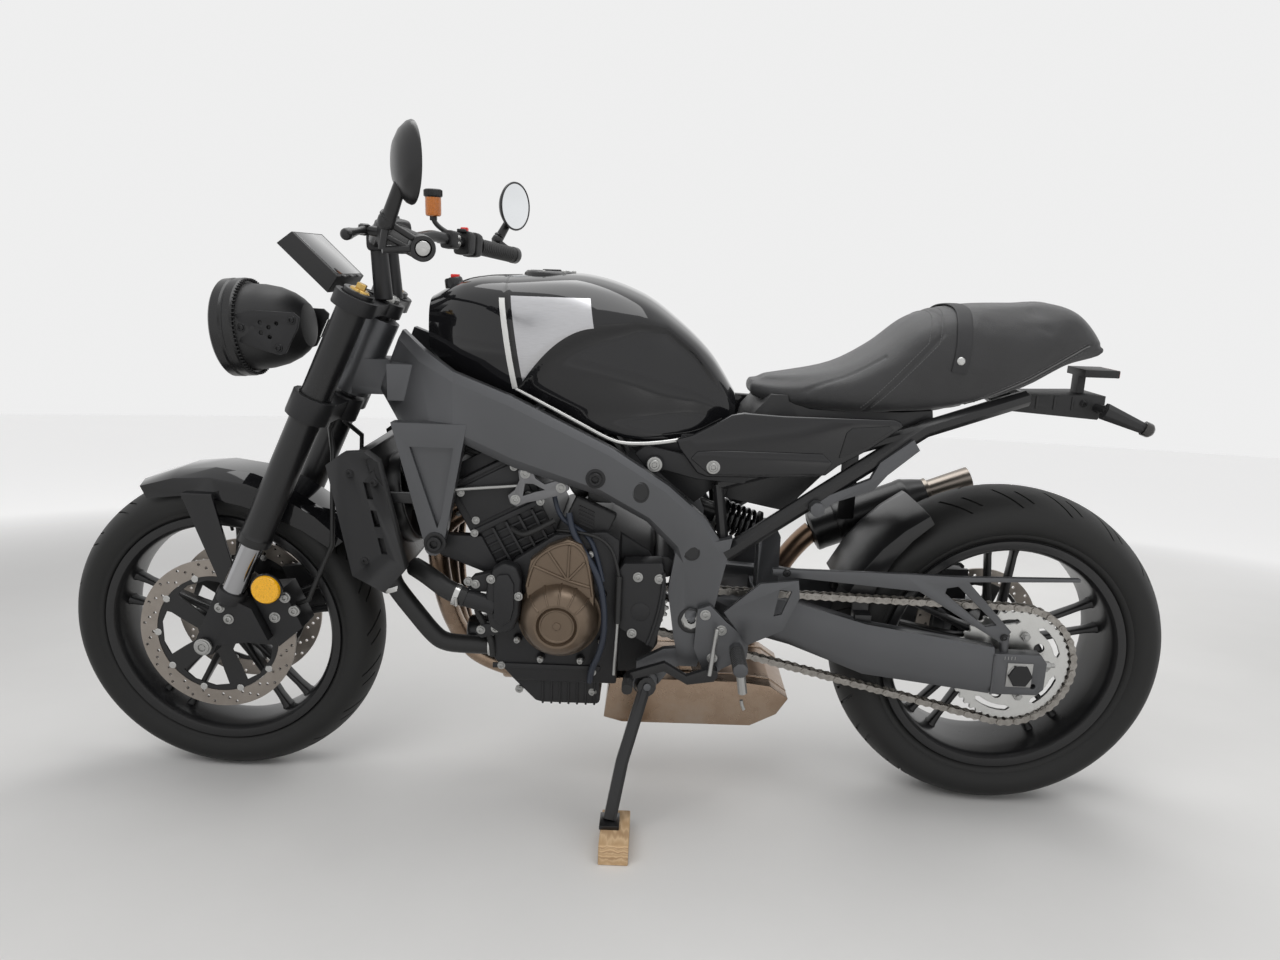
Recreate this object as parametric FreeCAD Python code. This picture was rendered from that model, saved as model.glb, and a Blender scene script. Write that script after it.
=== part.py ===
import FreeCAD, Part
import math
import os

vec = FreeCAD.Vector

# A cafe racer motorcycle, parked on its side stand with a wooden block under the foot.
# It is modelled upright: -X is the front, -Y its left side, +Z up, the ground at zero and
# zero X midway between the axles. At the end every piece is leaned over as it parks.

# The whole machine
wheelbase = 1495.0
rake = 25.0
trail = 108.0
park_lean = 6.9
floor_shift_x = -7.0
floor_shift_y = 136.0
seat_gap = 0.3
overrun = 2.0
running_gap = 0.05
front_axle_x = -wheelbase / 2
rear_axle_x = wheelbase / 2

# Wheels and tyres
front_tyre_radius = 300.0
front_tyre_width = 120.0
rear_tyre_radius = 315.0
rear_tyre_width = 180.0
front_rim_width = 89.0
rear_rim_width = 140.0
rim_flange_radius = 229.0
rim_bead_radius = 218.0
rim_flange_wall = 6.0
rim_wall = 8.0
wheel_sides = 40
spoke_pairs = 5
spoke_width = 15.0
spoke_depth = 26.0
axle_radius = 12.5
front_hub_radius = 33.0
front_hub_length = 132.0
rear_hub_radius = 42.0
rear_hub_length = 160.0
front_axle_z = front_tyre_radius
rear_axle_z = rear_tyre_radius

# Brake discs
disc_thickness = 5.0
disc_arm_count = 5
disc_arm_width = 14.0
front_disc_radius = 149.0
front_disc_band = 32.0
rear_disc_radius = 122.5
rear_disc_band = 28.0

# Chain drive
chain_y = -108.0
chain_pitch = 15.875
chain_width = 17.0
chain_plate_height = 14.4
chain_gap = 0.8
rear_sprocket_teeth = 45
front_sprocket_teeth = 16
front_sprocket_x = 75.0
front_sprocket_z = 402.0
sprocket_thickness = 6.0
lightening_holes = 5

# Fork and steering
fork_spacing = 210.0
fork_offset = 25.0
fork_tube_radius = 28.0
fork_slider_radius = 21.0
fork_top_z = 945.0
fork_tube_bottom_z = 487.0
fork_lug_top_z = 388.0
fork_lug_width = 46.0
fork_lug_thickness = 34.0
clamp_wall = 10.0
upper_clamp_z = 925.0
upper_clamp_height = 26.0
lower_clamp_z = 742.0
lower_clamp_height = 44.0
stem_radius = 16.0
head_tube_radius = 34.0
head_bottom_z = 771.0
head_top_z = 905.0
front_axle_reach = 132.0

# Engine
case_front_x = -205.0
case_length = 325.0
case_base_z = 265.0
case_height = 290.0
case_half_width = 148.0
gearbox_half_width = 94.0
gearbox_x = 20.0
engine_half_width = 135.0

# Lean as it parks
lean_turn = FreeCAD.Rotation(vec(1, 0, 0), park_lean)
parking = FreeCAD.Placement(vec(floor_shift_x, floor_shift_y, 0), lean_turn)
standing = FreeCAD.Placement(vec(0, 0, 0), lean_turn).inverse()

# Steering axis: it rises backwards from the ground point ahead of the tyre
steer_up = vec(math.sin(math.radians(rake)), 0, math.cos(math.radians(rake)))
steer_back = vec(math.cos(math.radians(rake)), 0, -math.sin(math.radians(rake)))
steer_ground = vec(front_axle_x - trail, 0, 0)


def steer_point(height, back=0.0, side=0.0):
    """A point beside the steering axis, where the axis has this height above the ground."""
    along = height / steer_up.z
    return steer_ground + steer_up * along + steer_back * back + vec(0, side, 0)


def fork_point(height, side):
    return steer_point(height, -fork_offset, side)


# Tools for making shapes


def outline(shares, x, z, length, height):
    """Places an outline given in shares of a length and a height."""
    return [(x + u * length, z + v * height) for u, v in shares]


def sized(shares, x, z, size):
    return [(x + u * size, z + v * size) for u, v in shares]


def flat_face(points):
    return Part.Face(Part.makePolygon(points + points[:1]))


def plate(points, y, thickness):
    """A side outline made solid from y towards the right by its thickness."""
    return flat_face([vec(x, y, z) for x, z in points]).extrude(vec(0, thickness, 0))


def block(low, high):
    size = high - low
    return Part.makeBox(size.x, size.y, size.z, low)


def sides_for(radius):
    """How many flats make a rod or a ring of this radius look round."""
    return 4 * math.ceil(0.55 * math.sqrt(radius))


def polygon(centre, normal, radius, sides, towards):
    """Corners of a polygon round a circle, with a flat facing the given direction."""
    across = (towards - normal * towards.dot(normal)).normalize()
    other = normal.cross(across)
    reach = radius / math.cos(math.pi / sides)
    corners = []
    for i in range(sides):
        turn = 2 * math.pi * (i + 0.5) / sides
        corners.append(centre + (across * math.cos(turn) + other * math.sin(turn)) * reach)
    return corners


def flat_faces(a, b, c, d):
    """One flat face through four corners, or two where they aren't in one plane."""
    normal = (b - a).cross(c - a).normalize()
    if abs(normal.dot(d - a)) < (c - a).Length * 1e-9:
        return [flat_face([a, b, c, d])]
    return [flat_face([a, b, c]), flat_face([a, c, d])]


def skin(rings, loop=False):
    """A solid of flat faces through rings of as many points each, closed by ends or as a loop."""
    pairs = list(zip(rings, rings[1:]))
    faces = []
    if loop:
        pairs.append((rings[-1], rings[0]))
    else:
        faces += [flat_face(rings[0]), flat_face(rings[-1])]
    for lower, upper in pairs:
        for i in range(len(lower)):
            faces += flat_faces(lower[i - 1], lower[i], upper[i], upper[i - 1])
    solid = Part.Solid(Part.makeShell(faces))
    if solid.Volume < 0:
        solid.reverse()
    return solid


def smooth_rings(rings, count):
    """More rings, on smooth curves through the given ones."""
    lines = []
    for column in zip(*rings):
        curve = Part.BSplineCurve()
        curve.interpolate(list(column))
        first = curve.FirstParameter
        span = curve.LastParameter - first
        lines.append([curve.value(first + span * i / count) for i in range(count + 1)])
    return [list(ring) for ring in zip(*lines)]


def rod(start, end, radius, end_radius=None, sides=None):
    """A round bar or cone, made with flats."""
    end_radius = radius if end_radius is None else end_radius
    sides = sides or sides_for(max(radius, end_radius))
    along = (end - start).normalize()
    towards = vec(0, 0, -1) if abs(along.y) > abs(along.z) else vec(0, -1, 0)
    ends = ((start, radius), (end, end_radius))
    return skin([polygon(point, along, size, sides, towards) for point, size in ends])


def cross_rod(x, z, y_low, y_high, radius, sides=None):
    return rod(vec(x, y_low, z), vec(x, y_high, z), radius, sides=sides)


def pin(start, end, radius, sides=12):
    """A round pin with its corners on its circle, so that it turns in a bore made with rod."""
    return rod(start, end, radius * math.cos(math.pi / sides), sides=sides)


def cross_pin(x, z, y_low, y_high, radius):
    return pin(vec(x, y_low, z), vec(x, y_high, z), radius)


def turned(profile, x, z, sides, loop=False):
    """A profile of (radius, y) turned about a cross axis, made with flats."""
    across = vec(0, 1, 0)
    down = vec(0, 0, -1)
    rings = [polygon(vec(x, y, z), across, radius, sides, down) for radius, y in profile]
    return skin(rings, loop)


def tube(points, radius, sides=8, end_radius=None):
    """A bent pipe of straight runs with mitred joints."""
    end_radius = radius if end_radius is None else end_radius
    last = len(points) - 1
    outgoing = (points[1] - points[0]).normalize()
    towards = vec(1, 0, 0) if abs(outgoing.y) > abs(outgoing.z) else vec(0, 1, 0)
    rings = [polygon(points[0], outgoing, radius, sides, towards)]
    for i in range(1, last + 1):
        point = points[i]
        incoming = (point - points[i - 1]).normalize()
        mitre = incoming
        if i < last:
            mitre = (incoming + (points[i + 1] - point).normalize()).normalize()
        growth = 1 + (end_radius / radius - 1) / last
        ring = [p + incoming * ((point - p).dot(mitre) / incoming.dot(mitre)) for p in rings[-1]]
        rings.append([point + (p - point) * growth for p in ring])
    return skin(rings)


def mirrored(shape):
    return shape.mirror(vec(0, 0, 0), vec(0, 1, 0))


def both_sides(shape):
    return [shape, mirrored(shape)]


def joined(shapes):
    solid = shapes[0].fuse(shapes[1:]) if len(shapes) > 1 else shapes[0]
    return solid.removeSplitter()


def separate(shapes):
    return Part.makeCompound(shapes)


# Tyres

crown_shares = (0.2, 0.6, 1.0)


def tyre(radius, width, rim_width, x, z):
    """A tyre with a round crown: its corners lie on one circle, out to the widest place."""
    half = width / 2
    rise = half * 0.72
    crown = (half * half + rise * rise) / (2 * rise)
    centre = radius - crown
    widest = math.asin(half / crown)
    bead = rim_width / 2 - seat_gap
    right = [(centre + crown * math.cos(widest * t), crown * math.sin(widest * t)) for t in crown_shares]
    right += [
        (rim_flange_radius + (radius - rim_flange_radius) * 0.14, bead + rim_flange_wall * 0.5),
        (rim_flange_radius, bead),
        (rim_bead_radius + seat_gap, bead),
    ]
    left = [(r, -y) for r, y in reversed(right)]
    return turned(right + left, x, z, wheel_sides, loop=True)


def front_tyre():
    return tyre(front_tyre_radius, front_tyre_width, front_rim_width, front_axle_x, front_axle_z)


def rear_tyre():
    return tyre(rear_tyre_radius, rear_tyre_width, rear_rim_width, rear_axle_x, rear_axle_z)


# Wheels

spoke_root_share = 0.8
spoke_root_angle = 16.0
spoke_tip_angle = 7.5


def rim_ring(rim_width, x, z):
    """The rim between its flanges."""
    half = rim_width / 2
    flange = half + rim_flange_wall
    barrel = rim_bead_radius - rim_wall
    right = [
        (rim_bead_radius, half),
        (rim_flange_radius, half),
        (rim_flange_radius, flange),
        (barrel, flange),
    ]
    left = [(r, -y) for r, y in reversed(right)]
    return turned(right + left, x, z, wheel_sides, loop=True)


def spoke(middle, side, hub_radius, x, z):
    """One slim spoke of a pair: it starts apart from its twin and closes on it at the rim."""
    root_turn = math.radians(middle + side * spoke_root_angle)
    tip_turn = math.radians(middle + side * spoke_tip_angle)
    root_radius = hub_radius * spoke_root_share
    tip_radius = rim_bead_radius - rim_wall * 0.5
    centre = vec(x, 0, z)
    root = centre + vec(math.sin(root_turn), 0, math.cos(root_turn)) * root_radius
    tip = centre + vec(math.sin(tip_turn), 0, math.cos(tip_turn)) * tip_radius
    along = (tip - root).normalize()
    across = vec(along.z, 0, -along.x) * (spoke_width / 2)
    depth = vec(0, spoke_depth / 2, 0)
    rings = []
    for place, share in ((root, 1.3), (tip, 0.85)):
        wide = across * share
        deep = depth * share
        rings.append([place + wide + deep, place - wide + deep, place - wide - deep, place + wide - deep])
    return skin(rings)


def wheel(rim_width, hub_radius, hub_length, x, z):
    step = 360 / spoke_pairs
    spokes = [spoke(pair * step, side, hub_radius, x, z) for pair in range(spoke_pairs) for side in (-1, 1)]
    half = hub_length / 2
    hub = cross_rod(x, z, -half, half, hub_radius)
    bore = cross_rod(x, z, -half - overrun, half + overrun, axle_radius + running_gap, 12)
    return joined([rim_ring(rim_width, x, z), hub] + spokes).cut(bore)


def front_rim():
    return wheel(front_rim_width, front_hub_radius, front_hub_length, front_axle_x, front_axle_z)


def rear_rim():
    return wheel(rear_rim_width, rear_hub_radius, rear_hub_length, rear_axle_x, rear_axle_z)


# Brake discs


def disc_on_carrier(y, radius, band, hub_radius, x, z):
    """A brake disc with its carrier, from y towards the right by its thickness."""
    high = y + disc_thickness
    inner = radius - band
    ring = cross_rod(x, z, y, high, radius)
    ring = ring.cut(cross_rod(x, z, y - overrun, high + overrun, inner, disc_arm_count * 4))
    pieces = [ring, cross_rod(x, z, y, high, hub_radius)]
    for i in range(disc_arm_count):
        turn = math.radians(360 / disc_arm_count * i)
        out = vec(math.sin(turn), 0, math.cos(turn))
        across = vec(out.z, 0, -out.x) * (disc_arm_width / 2)
        centre = vec(x, y, z) + out * axle_radius
        reach = out * (inner - axle_radius + overrun)
        corners = [centre + across, centre + across + reach, centre - across + reach, centre - across]
        pieces.append(flat_face(corners).extrude(vec(0, disc_thickness, 0)))
    bore = cross_rod(x, z, y - overrun, high + overrun, axle_radius + running_gap, 12)
    return joined(pieces).cut(bore)


def front_discs():
    right = disc_on_carrier(
        front_hub_length / 2, front_disc_radius, front_disc_band, front_hub_radius, front_axle_x, front_axle_z
    )
    return separate(both_sides(right))


def rear_disc():
    return disc_on_carrier(
        rear_hub_length / 2, rear_disc_radius, rear_disc_band, rear_hub_radius, rear_axle_x, rear_axle_z
    )


# Chain and sprockets


def pitch_radius(teeth):
    return chain_pitch / (2 * math.sin(math.pi / teeth))


def sprocket_radius(teeth):
    """Tip radius: the teeth stay inside the closed chain."""
    return pitch_radius(teeth) - chain_plate_height / 2 - chain_gap


def toothed_ring(teeth, x, z):
    """A sprocket's outline, one tooth for each link."""
    tip = sprocket_radius(teeth)
    root = tip - chain_pitch * 0.25
    points = []
    for i in range(teeth):
        for share, radius in ((0.0, root), (0.5, tip)):
            turn = 2 * math.pi * (i + share) / teeth
            points.append((x + radius * math.sin(turn), z + radius * math.cos(turn)))
    return plate(points, chain_y - sprocket_thickness / 2, sprocket_thickness)


def rear_sprocket():
    """A toothed ring with windows, and its boss that reaches in to the hub."""
    x = rear_axle_x
    z = rear_axle_z
    low = chain_y - sprocket_thickness / 2
    ring = toothed_ring(rear_sprocket_teeth, x, z)
    tip = sprocket_radius(rear_sprocket_teeth)
    windows = []
    for i in range(lightening_holes):
        turn = 2 * math.pi * (i + 0.5) / lightening_holes
        middle = tip * 0.63
        place = (x + middle * math.sin(turn), z + middle * math.cos(turn))
        windows.append(cross_rod(*place, low - overrun, low + sprocket_thickness + overrun, tip * 0.19, 8))
    hub_side = -rear_hub_length / 2 - seat_gap
    boss = cross_rod(x, z, low, hub_side, rear_hub_radius)
    bore = cross_rod(x, z, low - overrun, hub_side + overrun, axle_radius + running_gap, 12)
    return joined([ring.cut(windows), boss]).cut(bore)


def chain_pins():
    """Places and directions of the pins, evenly spaced round both sprockets."""
    small = pitch_radius(front_sprocket_teeth)
    large = pitch_radius(rear_sprocket_teeth)
    dx = rear_axle_x - front_sprocket_x
    dz = rear_axle_z - front_sprocket_z
    span = math.hypot(dx, dz)
    tilt = math.atan2(dz, dx)
    spread = math.asin((large - small) / span)
    run = span * math.cos(spread)
    upper = tilt + math.pi / 2 + spread
    lower = tilt - math.pi / 2 - spread
    large_arc = large * (math.pi + 2 * spread)
    small_arc = small * (math.pi - 2 * spread)
    total = 2 * run + large_arc + small_arc
    links = 2 * round(total / chain_pitch / 2)
    pins = []
    for i in range(links):
        along = total * i / links
        if along < run:
            centre_x = front_sprocket_x + along * math.cos(tilt + spread)
            centre_z = front_sprocket_z + along * math.sin(tilt + spread)
            angle = upper
            radius = small
        elif along < run + large_arc:
            centre_x = rear_axle_x
            centre_z = rear_axle_z
            angle = upper - (along - run) / large
            radius = large
        elif along < 2 * run + large_arc:
            back = along - run - large_arc
            centre_x = rear_axle_x - back * math.cos(tilt - spread)
            centre_z = rear_axle_z - back * math.sin(tilt - spread)
            angle = lower
            radius = large
        else:
            centre_x = front_sprocket_x
            centre_z = front_sprocket_z
            angle = lower - (along - 2 * run - large_arc) / small
            radius = small
        pins.append((centre_x + radius * math.cos(angle), centre_z + radius * math.sin(angle), angle))
    return pins


def drive_chain():
    """One closed loop of links, wider at every other pin, and the front sprocket in it."""
    outer = []
    inner = []
    for i, (x, z, angle) in enumerate(chain_pins()):
        reach = chain_plate_height / 2 * (1 - 0.22 * (i % 2))
        for side, contour in ((reach, outer), (-reach, inner)):
            contour.append((x + side * math.cos(angle), z + side * math.sin(angle)))
    y = chain_y - chain_width / 2
    band = plate(outer, y, chain_width).cut(plate(inner, y - overrun, chain_width + 2 * overrun))
    teeth = toothed_ring(front_sprocket_teeth, front_sprocket_x, front_sprocket_z)
    hub = cross_rod(front_sprocket_x, front_sprocket_z, chain_y, -gearbox_half_width, axle_radius * 1.3)
    return separate([band, joined([teeth, hub])])


# Main frame

spar_outer_y = 172.0
spar_wall = 30.0
spar_front_x = -400.0
spar_base_z = 500.0
spar_length = 620.0
spar_height = 400.0
pivot_setback = 70.0
pivot_x = spar_front_x + spar_length - pivot_setback
pivot_z = 409.0
pivot_plate_y = 150.0
pivot_plate_wall = 25.0
pivot_plate_size = 68.0
pivot_bolt_radius = 11.0
leg_wall = 26.0
leg_y = 165.0
leg_bolt_share = 0.1516
leg_bolt_x = spar_front_x + spar_length * leg_bolt_share
leg_bolt_z = 521.0
leg_bolt_radius = 15.0
cross_member_x = -365.0
cross_member_z = 800.0
cross_member_height = 64.0
rear_cross_z = 512.0
rear_cross_size = 36.0
low_cross_z = 316.0
low_cross_radius = 12.0
tank_rest_x = -130.0
tank_rest_z = 763.0
tank_rest_radius = 9.0

# each row: top (x, z), bottom (x, z), then how far out the outer face lies
spar_station_shares = [
    ((0.03, 0.97), (-0.04, 0.70), 0.34),
    ((0.11, 0.90), (0.05, 0.54), 0.67),
    ((0.21, 0.82), (0.21, 0.53), 0.94),
    ((0.37, 0.73), (0.38, 0.42), 1.0),
    ((0.65, 0.52), (0.62, 0.31), 1.0),
    ((0.81, 0.36), (0.75, 0.20), 0.97),
    ((0.92, 0.21), (0.83, 0.07), 0.92),
    ((0.985, 0.06), (0.84, 0.0), 0.872),
]
front_leg_shares = [(0.04, 0.60), (0.25, 0.60), (0.185, 0.10), (0.165, 0.02), (0.14, 0.02), (0.12, 0.10)]
pivot_plate_shares = [
    (-0.45, 1.75),
    (1.0, 2.10),
    (0.75, 0.90),
    (0.58, 0.0),
    (0.45, -0.80),
    (0.22, -1.50),
    (-0.22, -1.50),
    (-0.42, -0.70),
    (-0.52, 0.0),
    (-0.62, 0.60),
]


def spar():
    """Left spar: a box beam that bows out round the engine."""
    rings = []
    for top, bottom, reach in spar_station_shares:
        outer = -spar_outer_y * reach
        inner = outer + spar_wall
        edge = spar_wall * 0.3
        top_edge = vec(spar_front_x + top[0] * spar_length, 0, spar_base_z + top[1] * spar_height)
        low_edge = vec(spar_front_x + bottom[0] * spar_length, 0, spar_base_z + bottom[1] * spar_height)
        step = (low_edge - top_edge) * 0.14
        rings.append(
            [
                top_edge + vec(0, inner, 0),
                top_edge + vec(0, outer + edge, 0),
                top_edge + step + vec(0, outer, 0),
                low_edge - step + vec(0, outer, 0),
                low_edge + vec(0, outer + edge, 0),
                low_edge + vec(0, inner, 0),
            ]
        )
    return skin(rings)


def front_leg():
    """V-shaped leg from the spar down to the engine bolt, with its pocket."""
    points = outline(front_leg_shares, spar_front_x, spar_base_z, spar_length, spar_height)
    leg = plate(points, -leg_y, leg_wall)
    middle_x = sum(x for x, z in points[:4]) / 4
    middle_z = sum(z for x, z in points[:4]) / 4
    pocket = [(middle_x + (x - middle_x) * 0.58, middle_z + (z - middle_z) * 0.62) for x, z in points[:4]]
    leg = leg.cut(plate(pocket, -leg_y - overrun, leg_wall * 0.4 + overrun))
    boss = cross_rod(leg_bolt_x, leg_bolt_z, -leg_y - overrun, -leg_y + leg_wall + overrun, leg_bolt_radius)
    return [leg, boss]


def pivot_plate():
    points = sized(pivot_plate_shares, pivot_x, pivot_z, pivot_plate_size)
    return plate(points, -pivot_plate_y, pivot_plate_wall)


shock_setback = 2.0
shock_front_x = pivot_x + shock_setback
shock_front_z = 572.0
shock_run = 148.0
shock_rear_x = shock_front_x + shock_run
shock_rear_z = 522.0
shock_radius = 19.0
shock_eye_radius = 18.0
shock_eye_half = 20.0
spring_radius = 32.0
spring_coils = 5
ear_wall = 10.0
ear_width = 40.0


def shock_ears(x, z, base_z):
    """A pair of ears from a cross member to a shock eye."""
    half = ear_width / 2
    points = [(x - half, base_z), (x + half, base_z), (x + half, z), (x + half * 0.5, z + half)]
    points += [(x - half * 0.5, z + half), (x - half, z)]
    return both_sides(plate(points, -shock_eye_half - seat_gap - ear_wall, ear_wall))


# The side stand turns about a pin on the frame; its foot is set on the block as it parks
stand_pivot = vec(73.0, -158.0, 270.0)
stand_foot_floor = vec(20.0, -290.0, 35.0)
stand_fold_rise_share = 0.02
stand_pin_radius = 7.0
stand_hub_radius = 17.0
stand_hub_length = 26.0
stand_bracket_wall = 14.0
stand_leg_radius = 11.0
foot_pad_length = 50.0
foot_pad_width = 34.0
foot_pad_wall = 7.0
stand_bracket_length = 110.0
stand_bracket_shares = [
    (0.0, 0.0),
    (0.24, -0.16),
    (0.56, 0.30),
    (1.0, 0.52),
    (0.98, 0.72),
    (0.44, 0.66),
    (0.0, 0.42),
]


def stand_foot():
    """The middle of the foot's sole, in the upright frame."""
    return standing.multVec(stand_foot_floor)


def stand_axis():
    """The hinge's direction: turning about it swings the leg up and back along the machine."""
    down = (stand_foot() - stand_pivot).normalize()
    folded = vec(1, 0, stand_fold_rise_share).normalize()
    change = folded - down
    side = vec(0, 1, 0)
    return (side - change * (side.dot(change) / change.dot(change))).normalize()


def stand_bracket():
    """Plate from the pivot plate forward to the stand's pin, on the left."""
    left = stand_pivot.x - stand_hub_radius
    low = stand_pivot.z - stand_hub_radius * 0.4
    points = outline(stand_bracket_shares, left, low, stand_bracket_length, stand_bracket_length)
    axis = stand_axis()
    hub_end = stand_pivot + axis * (stand_hub_length / 2 + seat_gap)
    boss = rod(hub_end, hub_end + axis * stand_bracket_wall, stand_hub_radius * 1.1)
    low_end = stand_pivot - axis * (stand_hub_length / 2 + overrun)
    bolt = pin(low_end, hub_end + axis * overrun, stand_pin_radius)
    web = plate(points, hub_end.y + overrun, stand_bracket_wall)
    room = rod(stand_pivot - axis * stand_hub_length, hub_end, stand_hub_radius * 1.6)
    return [web.cut(room), boss, bolt]


def main_frame():
    left = [spar(), pivot_plate()] + front_leg()
    right = [mirrored(piece) for piece in left]
    head = rod(steer_point(head_bottom_z), steer_point(head_top_z), head_tube_radius)
    half = cross_member_height / 2
    gusset_y = spar_outer_y * 0.6
    gusset = block(
        vec(cross_member_x - half, -gusset_y, cross_member_z - half),
        vec(cross_member_x + half, gusset_y, cross_member_z + half),
    )
    throat = block(
        vec(steer_point(cross_member_z).x, -head_tube_radius, cross_member_z - half),
        vec(cross_member_x, head_tube_radius, cross_member_z + half),
    )
    side = pivot_plate_y - pivot_plate_wall / 2
    rear_half = rear_cross_size / 2
    rear_cross = block(
        vec(pivot_x - rear_half, -side, rear_cross_z - rear_half),
        vec(pivot_x + rear_half, side, rear_cross_z + rear_half),
    )
    low_cross = cross_rod(pivot_x, low_cross_z, -side, side, low_cross_radius)
    ears = shock_ears(shock_front_x, shock_front_z, rear_cross_z)
    rest_y = spar_outer_y - spar_wall / 2
    tank_rest = cross_rod(tank_rest_x, tank_rest_z, -rest_y, rest_y, tank_rest_radius)
    crosses = [gusset, throat, rear_cross, low_cross, tank_rest]
    body = joined(left + right + [head] + crosses + ears + stand_bracket())
    reach = pivot_plate_y + overrun
    bolt = cross_rod(pivot_x, pivot_z, -reach, reach, pivot_bolt_radius + seat_gap, 12)
    room = overrun * 4
    low = steer_point(head_bottom_z - room)
    stem = rod(low, steer_point(head_top_z + room), stem_radius + seat_gap, sides=12)
    return body.cut([bolt, stem])


# Subframe

subframe_radius = 14.0
subframe_y = 112.0
subframe_front_x = pivot_x + pivot_plate_size * 0.824
subframe_front_z = 519.0
subframe_joint_x = 543.0
subframe_joint_z = 751.0
subframe_tail_x = 728.0
subframe_tail_z = 806.0
subframe_upper_x = pivot_x + pivot_plate_size * 0.588
subframe_upper_z = 640.0
tail_half_width = 70.0


def subframe():
    """Two tubes a side that meet under the seat, with cross tubes between the sides."""
    joint = vec(subframe_joint_x, -subframe_y, subframe_joint_z)
    front = vec(subframe_front_x, -pivot_plate_y + pivot_plate_wall / 2, subframe_front_z)
    tail = vec(subframe_tail_x, -tail_half_width, subframe_tail_z)
    lower = tube([front, joint, tail], subframe_radius)
    upper_start = vec(subframe_upper_x, -subframe_y, subframe_upper_z)
    upper = tube([upper_start, joint], subframe_radius * 0.8)
    middle_x = (subframe_upper_x + subframe_joint_x) / 2
    middle_z = (subframe_upper_z + subframe_joint_z) / 2
    small = subframe_radius * 0.7
    crosses = [
        cross_rod(middle_x, middle_z, -subframe_y, subframe_y, small, 8),
        cross_rod(subframe_joint_x, subframe_joint_z, -subframe_y, subframe_y, small, 8),
        cross_rod(subframe_tail_x, subframe_tail_z, -tail_half_width, tail_half_width, small, 8),
    ]
    hanger = tube([upper_start, front + vec(0, subframe_radius * 0.5, 0)], small)
    body = joined(both_sides(lower) + both_sides(upper) + both_sides(hanger) + crosses)
    return body.cut(main_frame())


# Swingarm, rear axle and shock

swingarm_height = 100.0
axle_block_reach = 47.5
arm_length = rear_axle_x - pivot_x - axle_block_reach
swingarm_end_x = 795.0
swingarm_end_height = 78.0
swingarm_end_y = 152.0
swingarm_end_wall = 26.0
swingarm_pivot_radius = 32.0
swingarm_pivot_y = 94.0
arm_brace_x = shock_rear_x
arm_brace_z = 385.0
arm_brace_size = 52.0
spool_hole_x = 775.0
spool_hole_z = 293.0
spool_hole_radius = 5.0
spool_hole_depth = 18.0
rear_axle_reach = 160.0
axle_nut_radius = 19.0

# each row: x share, middle z share, height share, outer y share, wall in end walls
arm_station_shares = [
    (0.00, 0.0, 0.62, 0.60, 1.2),
    (0.34, -0.30, 0.84, 0.72, 1.35),
    (0.58, -0.62, 0.96, 0.94, 1.15),
    (1.00, -0.90, 0.90, 1.0, 1.0),
]


def swing_beam():
    """One beam: it passes inside the chain at the front and outside it at the axle."""
    rings = []
    for along, rise, height, reach, wall in arm_station_shares:
        centre = vec(pivot_x + along * arm_length, 0, pivot_z + rise * swingarm_height)
        half = swingarm_height * height / 2
        outer = -swingarm_end_y * reach
        inner = outer + swingarm_end_wall * wall
        edge = swingarm_end_wall * 0.25
        rings.append(
            [
                centre + vec(0, inner, half),
                centre + vec(0, outer + edge, half),
                centre + vec(0, outer, half * 0.6),
                centre + vec(0, outer, -half * 0.6),
                centre + vec(0, outer + edge, -half),
                centre + vec(0, inner, -half),
            ]
        )
    return skin(rings)


def axle_block():
    x = pivot_x + arm_length
    half = swingarm_end_height / 2
    z = rear_axle_z
    end = swingarm_end_x
    points = [(x, z + half), (end - half * 0.3, z + half), (end, z + half * 0.6), (end, z - half * 0.7)]
    points += [(end - half * 0.3, z - half), (x, z - half)]
    return plate(points, -swingarm_end_y, swingarm_end_wall)


def spool_hole():
    """Blind threaded hole in the left axle block, for a workshop stand's spool."""
    depth = vec(0, spool_hole_depth, 0)
    start = vec(spool_hole_x, -swingarm_end_y, spool_hole_z)
    return Part.makeCylinder(spool_hole_radius, depth.y + overrun, start - vec(0, overrun, 0), depth)


def axle_blocks():
    """The cast ends of both beams, with the axle's bore and the threaded holes."""
    reach = swingarm_end_y + overrun
    bore = cross_rod(rear_axle_x, rear_axle_z, -reach, reach, axle_radius + seat_gap, 12)
    return joined(both_sides(axle_block())).cut([bore] + both_sides(spool_hole()))


def swingarm():
    pivot = cross_rod(pivot_x, pivot_z, -swingarm_pivot_y, swingarm_pivot_y, swingarm_pivot_radius)
    half = arm_brace_size / 2
    brace_y = swingarm_end_y * 0.6
    brace = block(
        vec(arm_brace_x - half, -brace_y, arm_brace_z - half), vec(arm_brace_x + half, brace_y, arm_brace_z + half)
    )
    reach = pivot_plate_y + overrun * 3
    bolt = cross_pin(pivot_x, pivot_z, -reach, reach, pivot_bolt_radius)
    ears = shock_ears(shock_rear_x, shock_rear_z, arm_brace_z)
    return joined(both_sides(swing_beam()) + [pivot, brace, bolt] + ears)


def rear_axle():
    """Axle through both arms, with its end nuts and the spacers beside the wheel."""
    x = rear_axle_x
    z = rear_axle_z
    reach = rear_axle_reach
    axle = cross_pin(x, z, -reach, reach, axle_radius)
    nut = cross_rod(x, z, -reach, -swingarm_end_y - seat_gap, axle_nut_radius, 6)
    inner = swingarm_end_y - swingarm_end_wall - seat_gap
    left_end = chain_y - sprocket_thickness / 2 - overrun
    right_start = rear_hub_length / 2 + disc_thickness + overrun
    left_spacer = cross_rod(x, z, -inner, left_end, axle_nut_radius)
    right_spacer = cross_rod(x, z, right_start, inner, axle_nut_radius)
    return joined([axle, left_spacer, right_spacer] + both_sides(nut))


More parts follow.
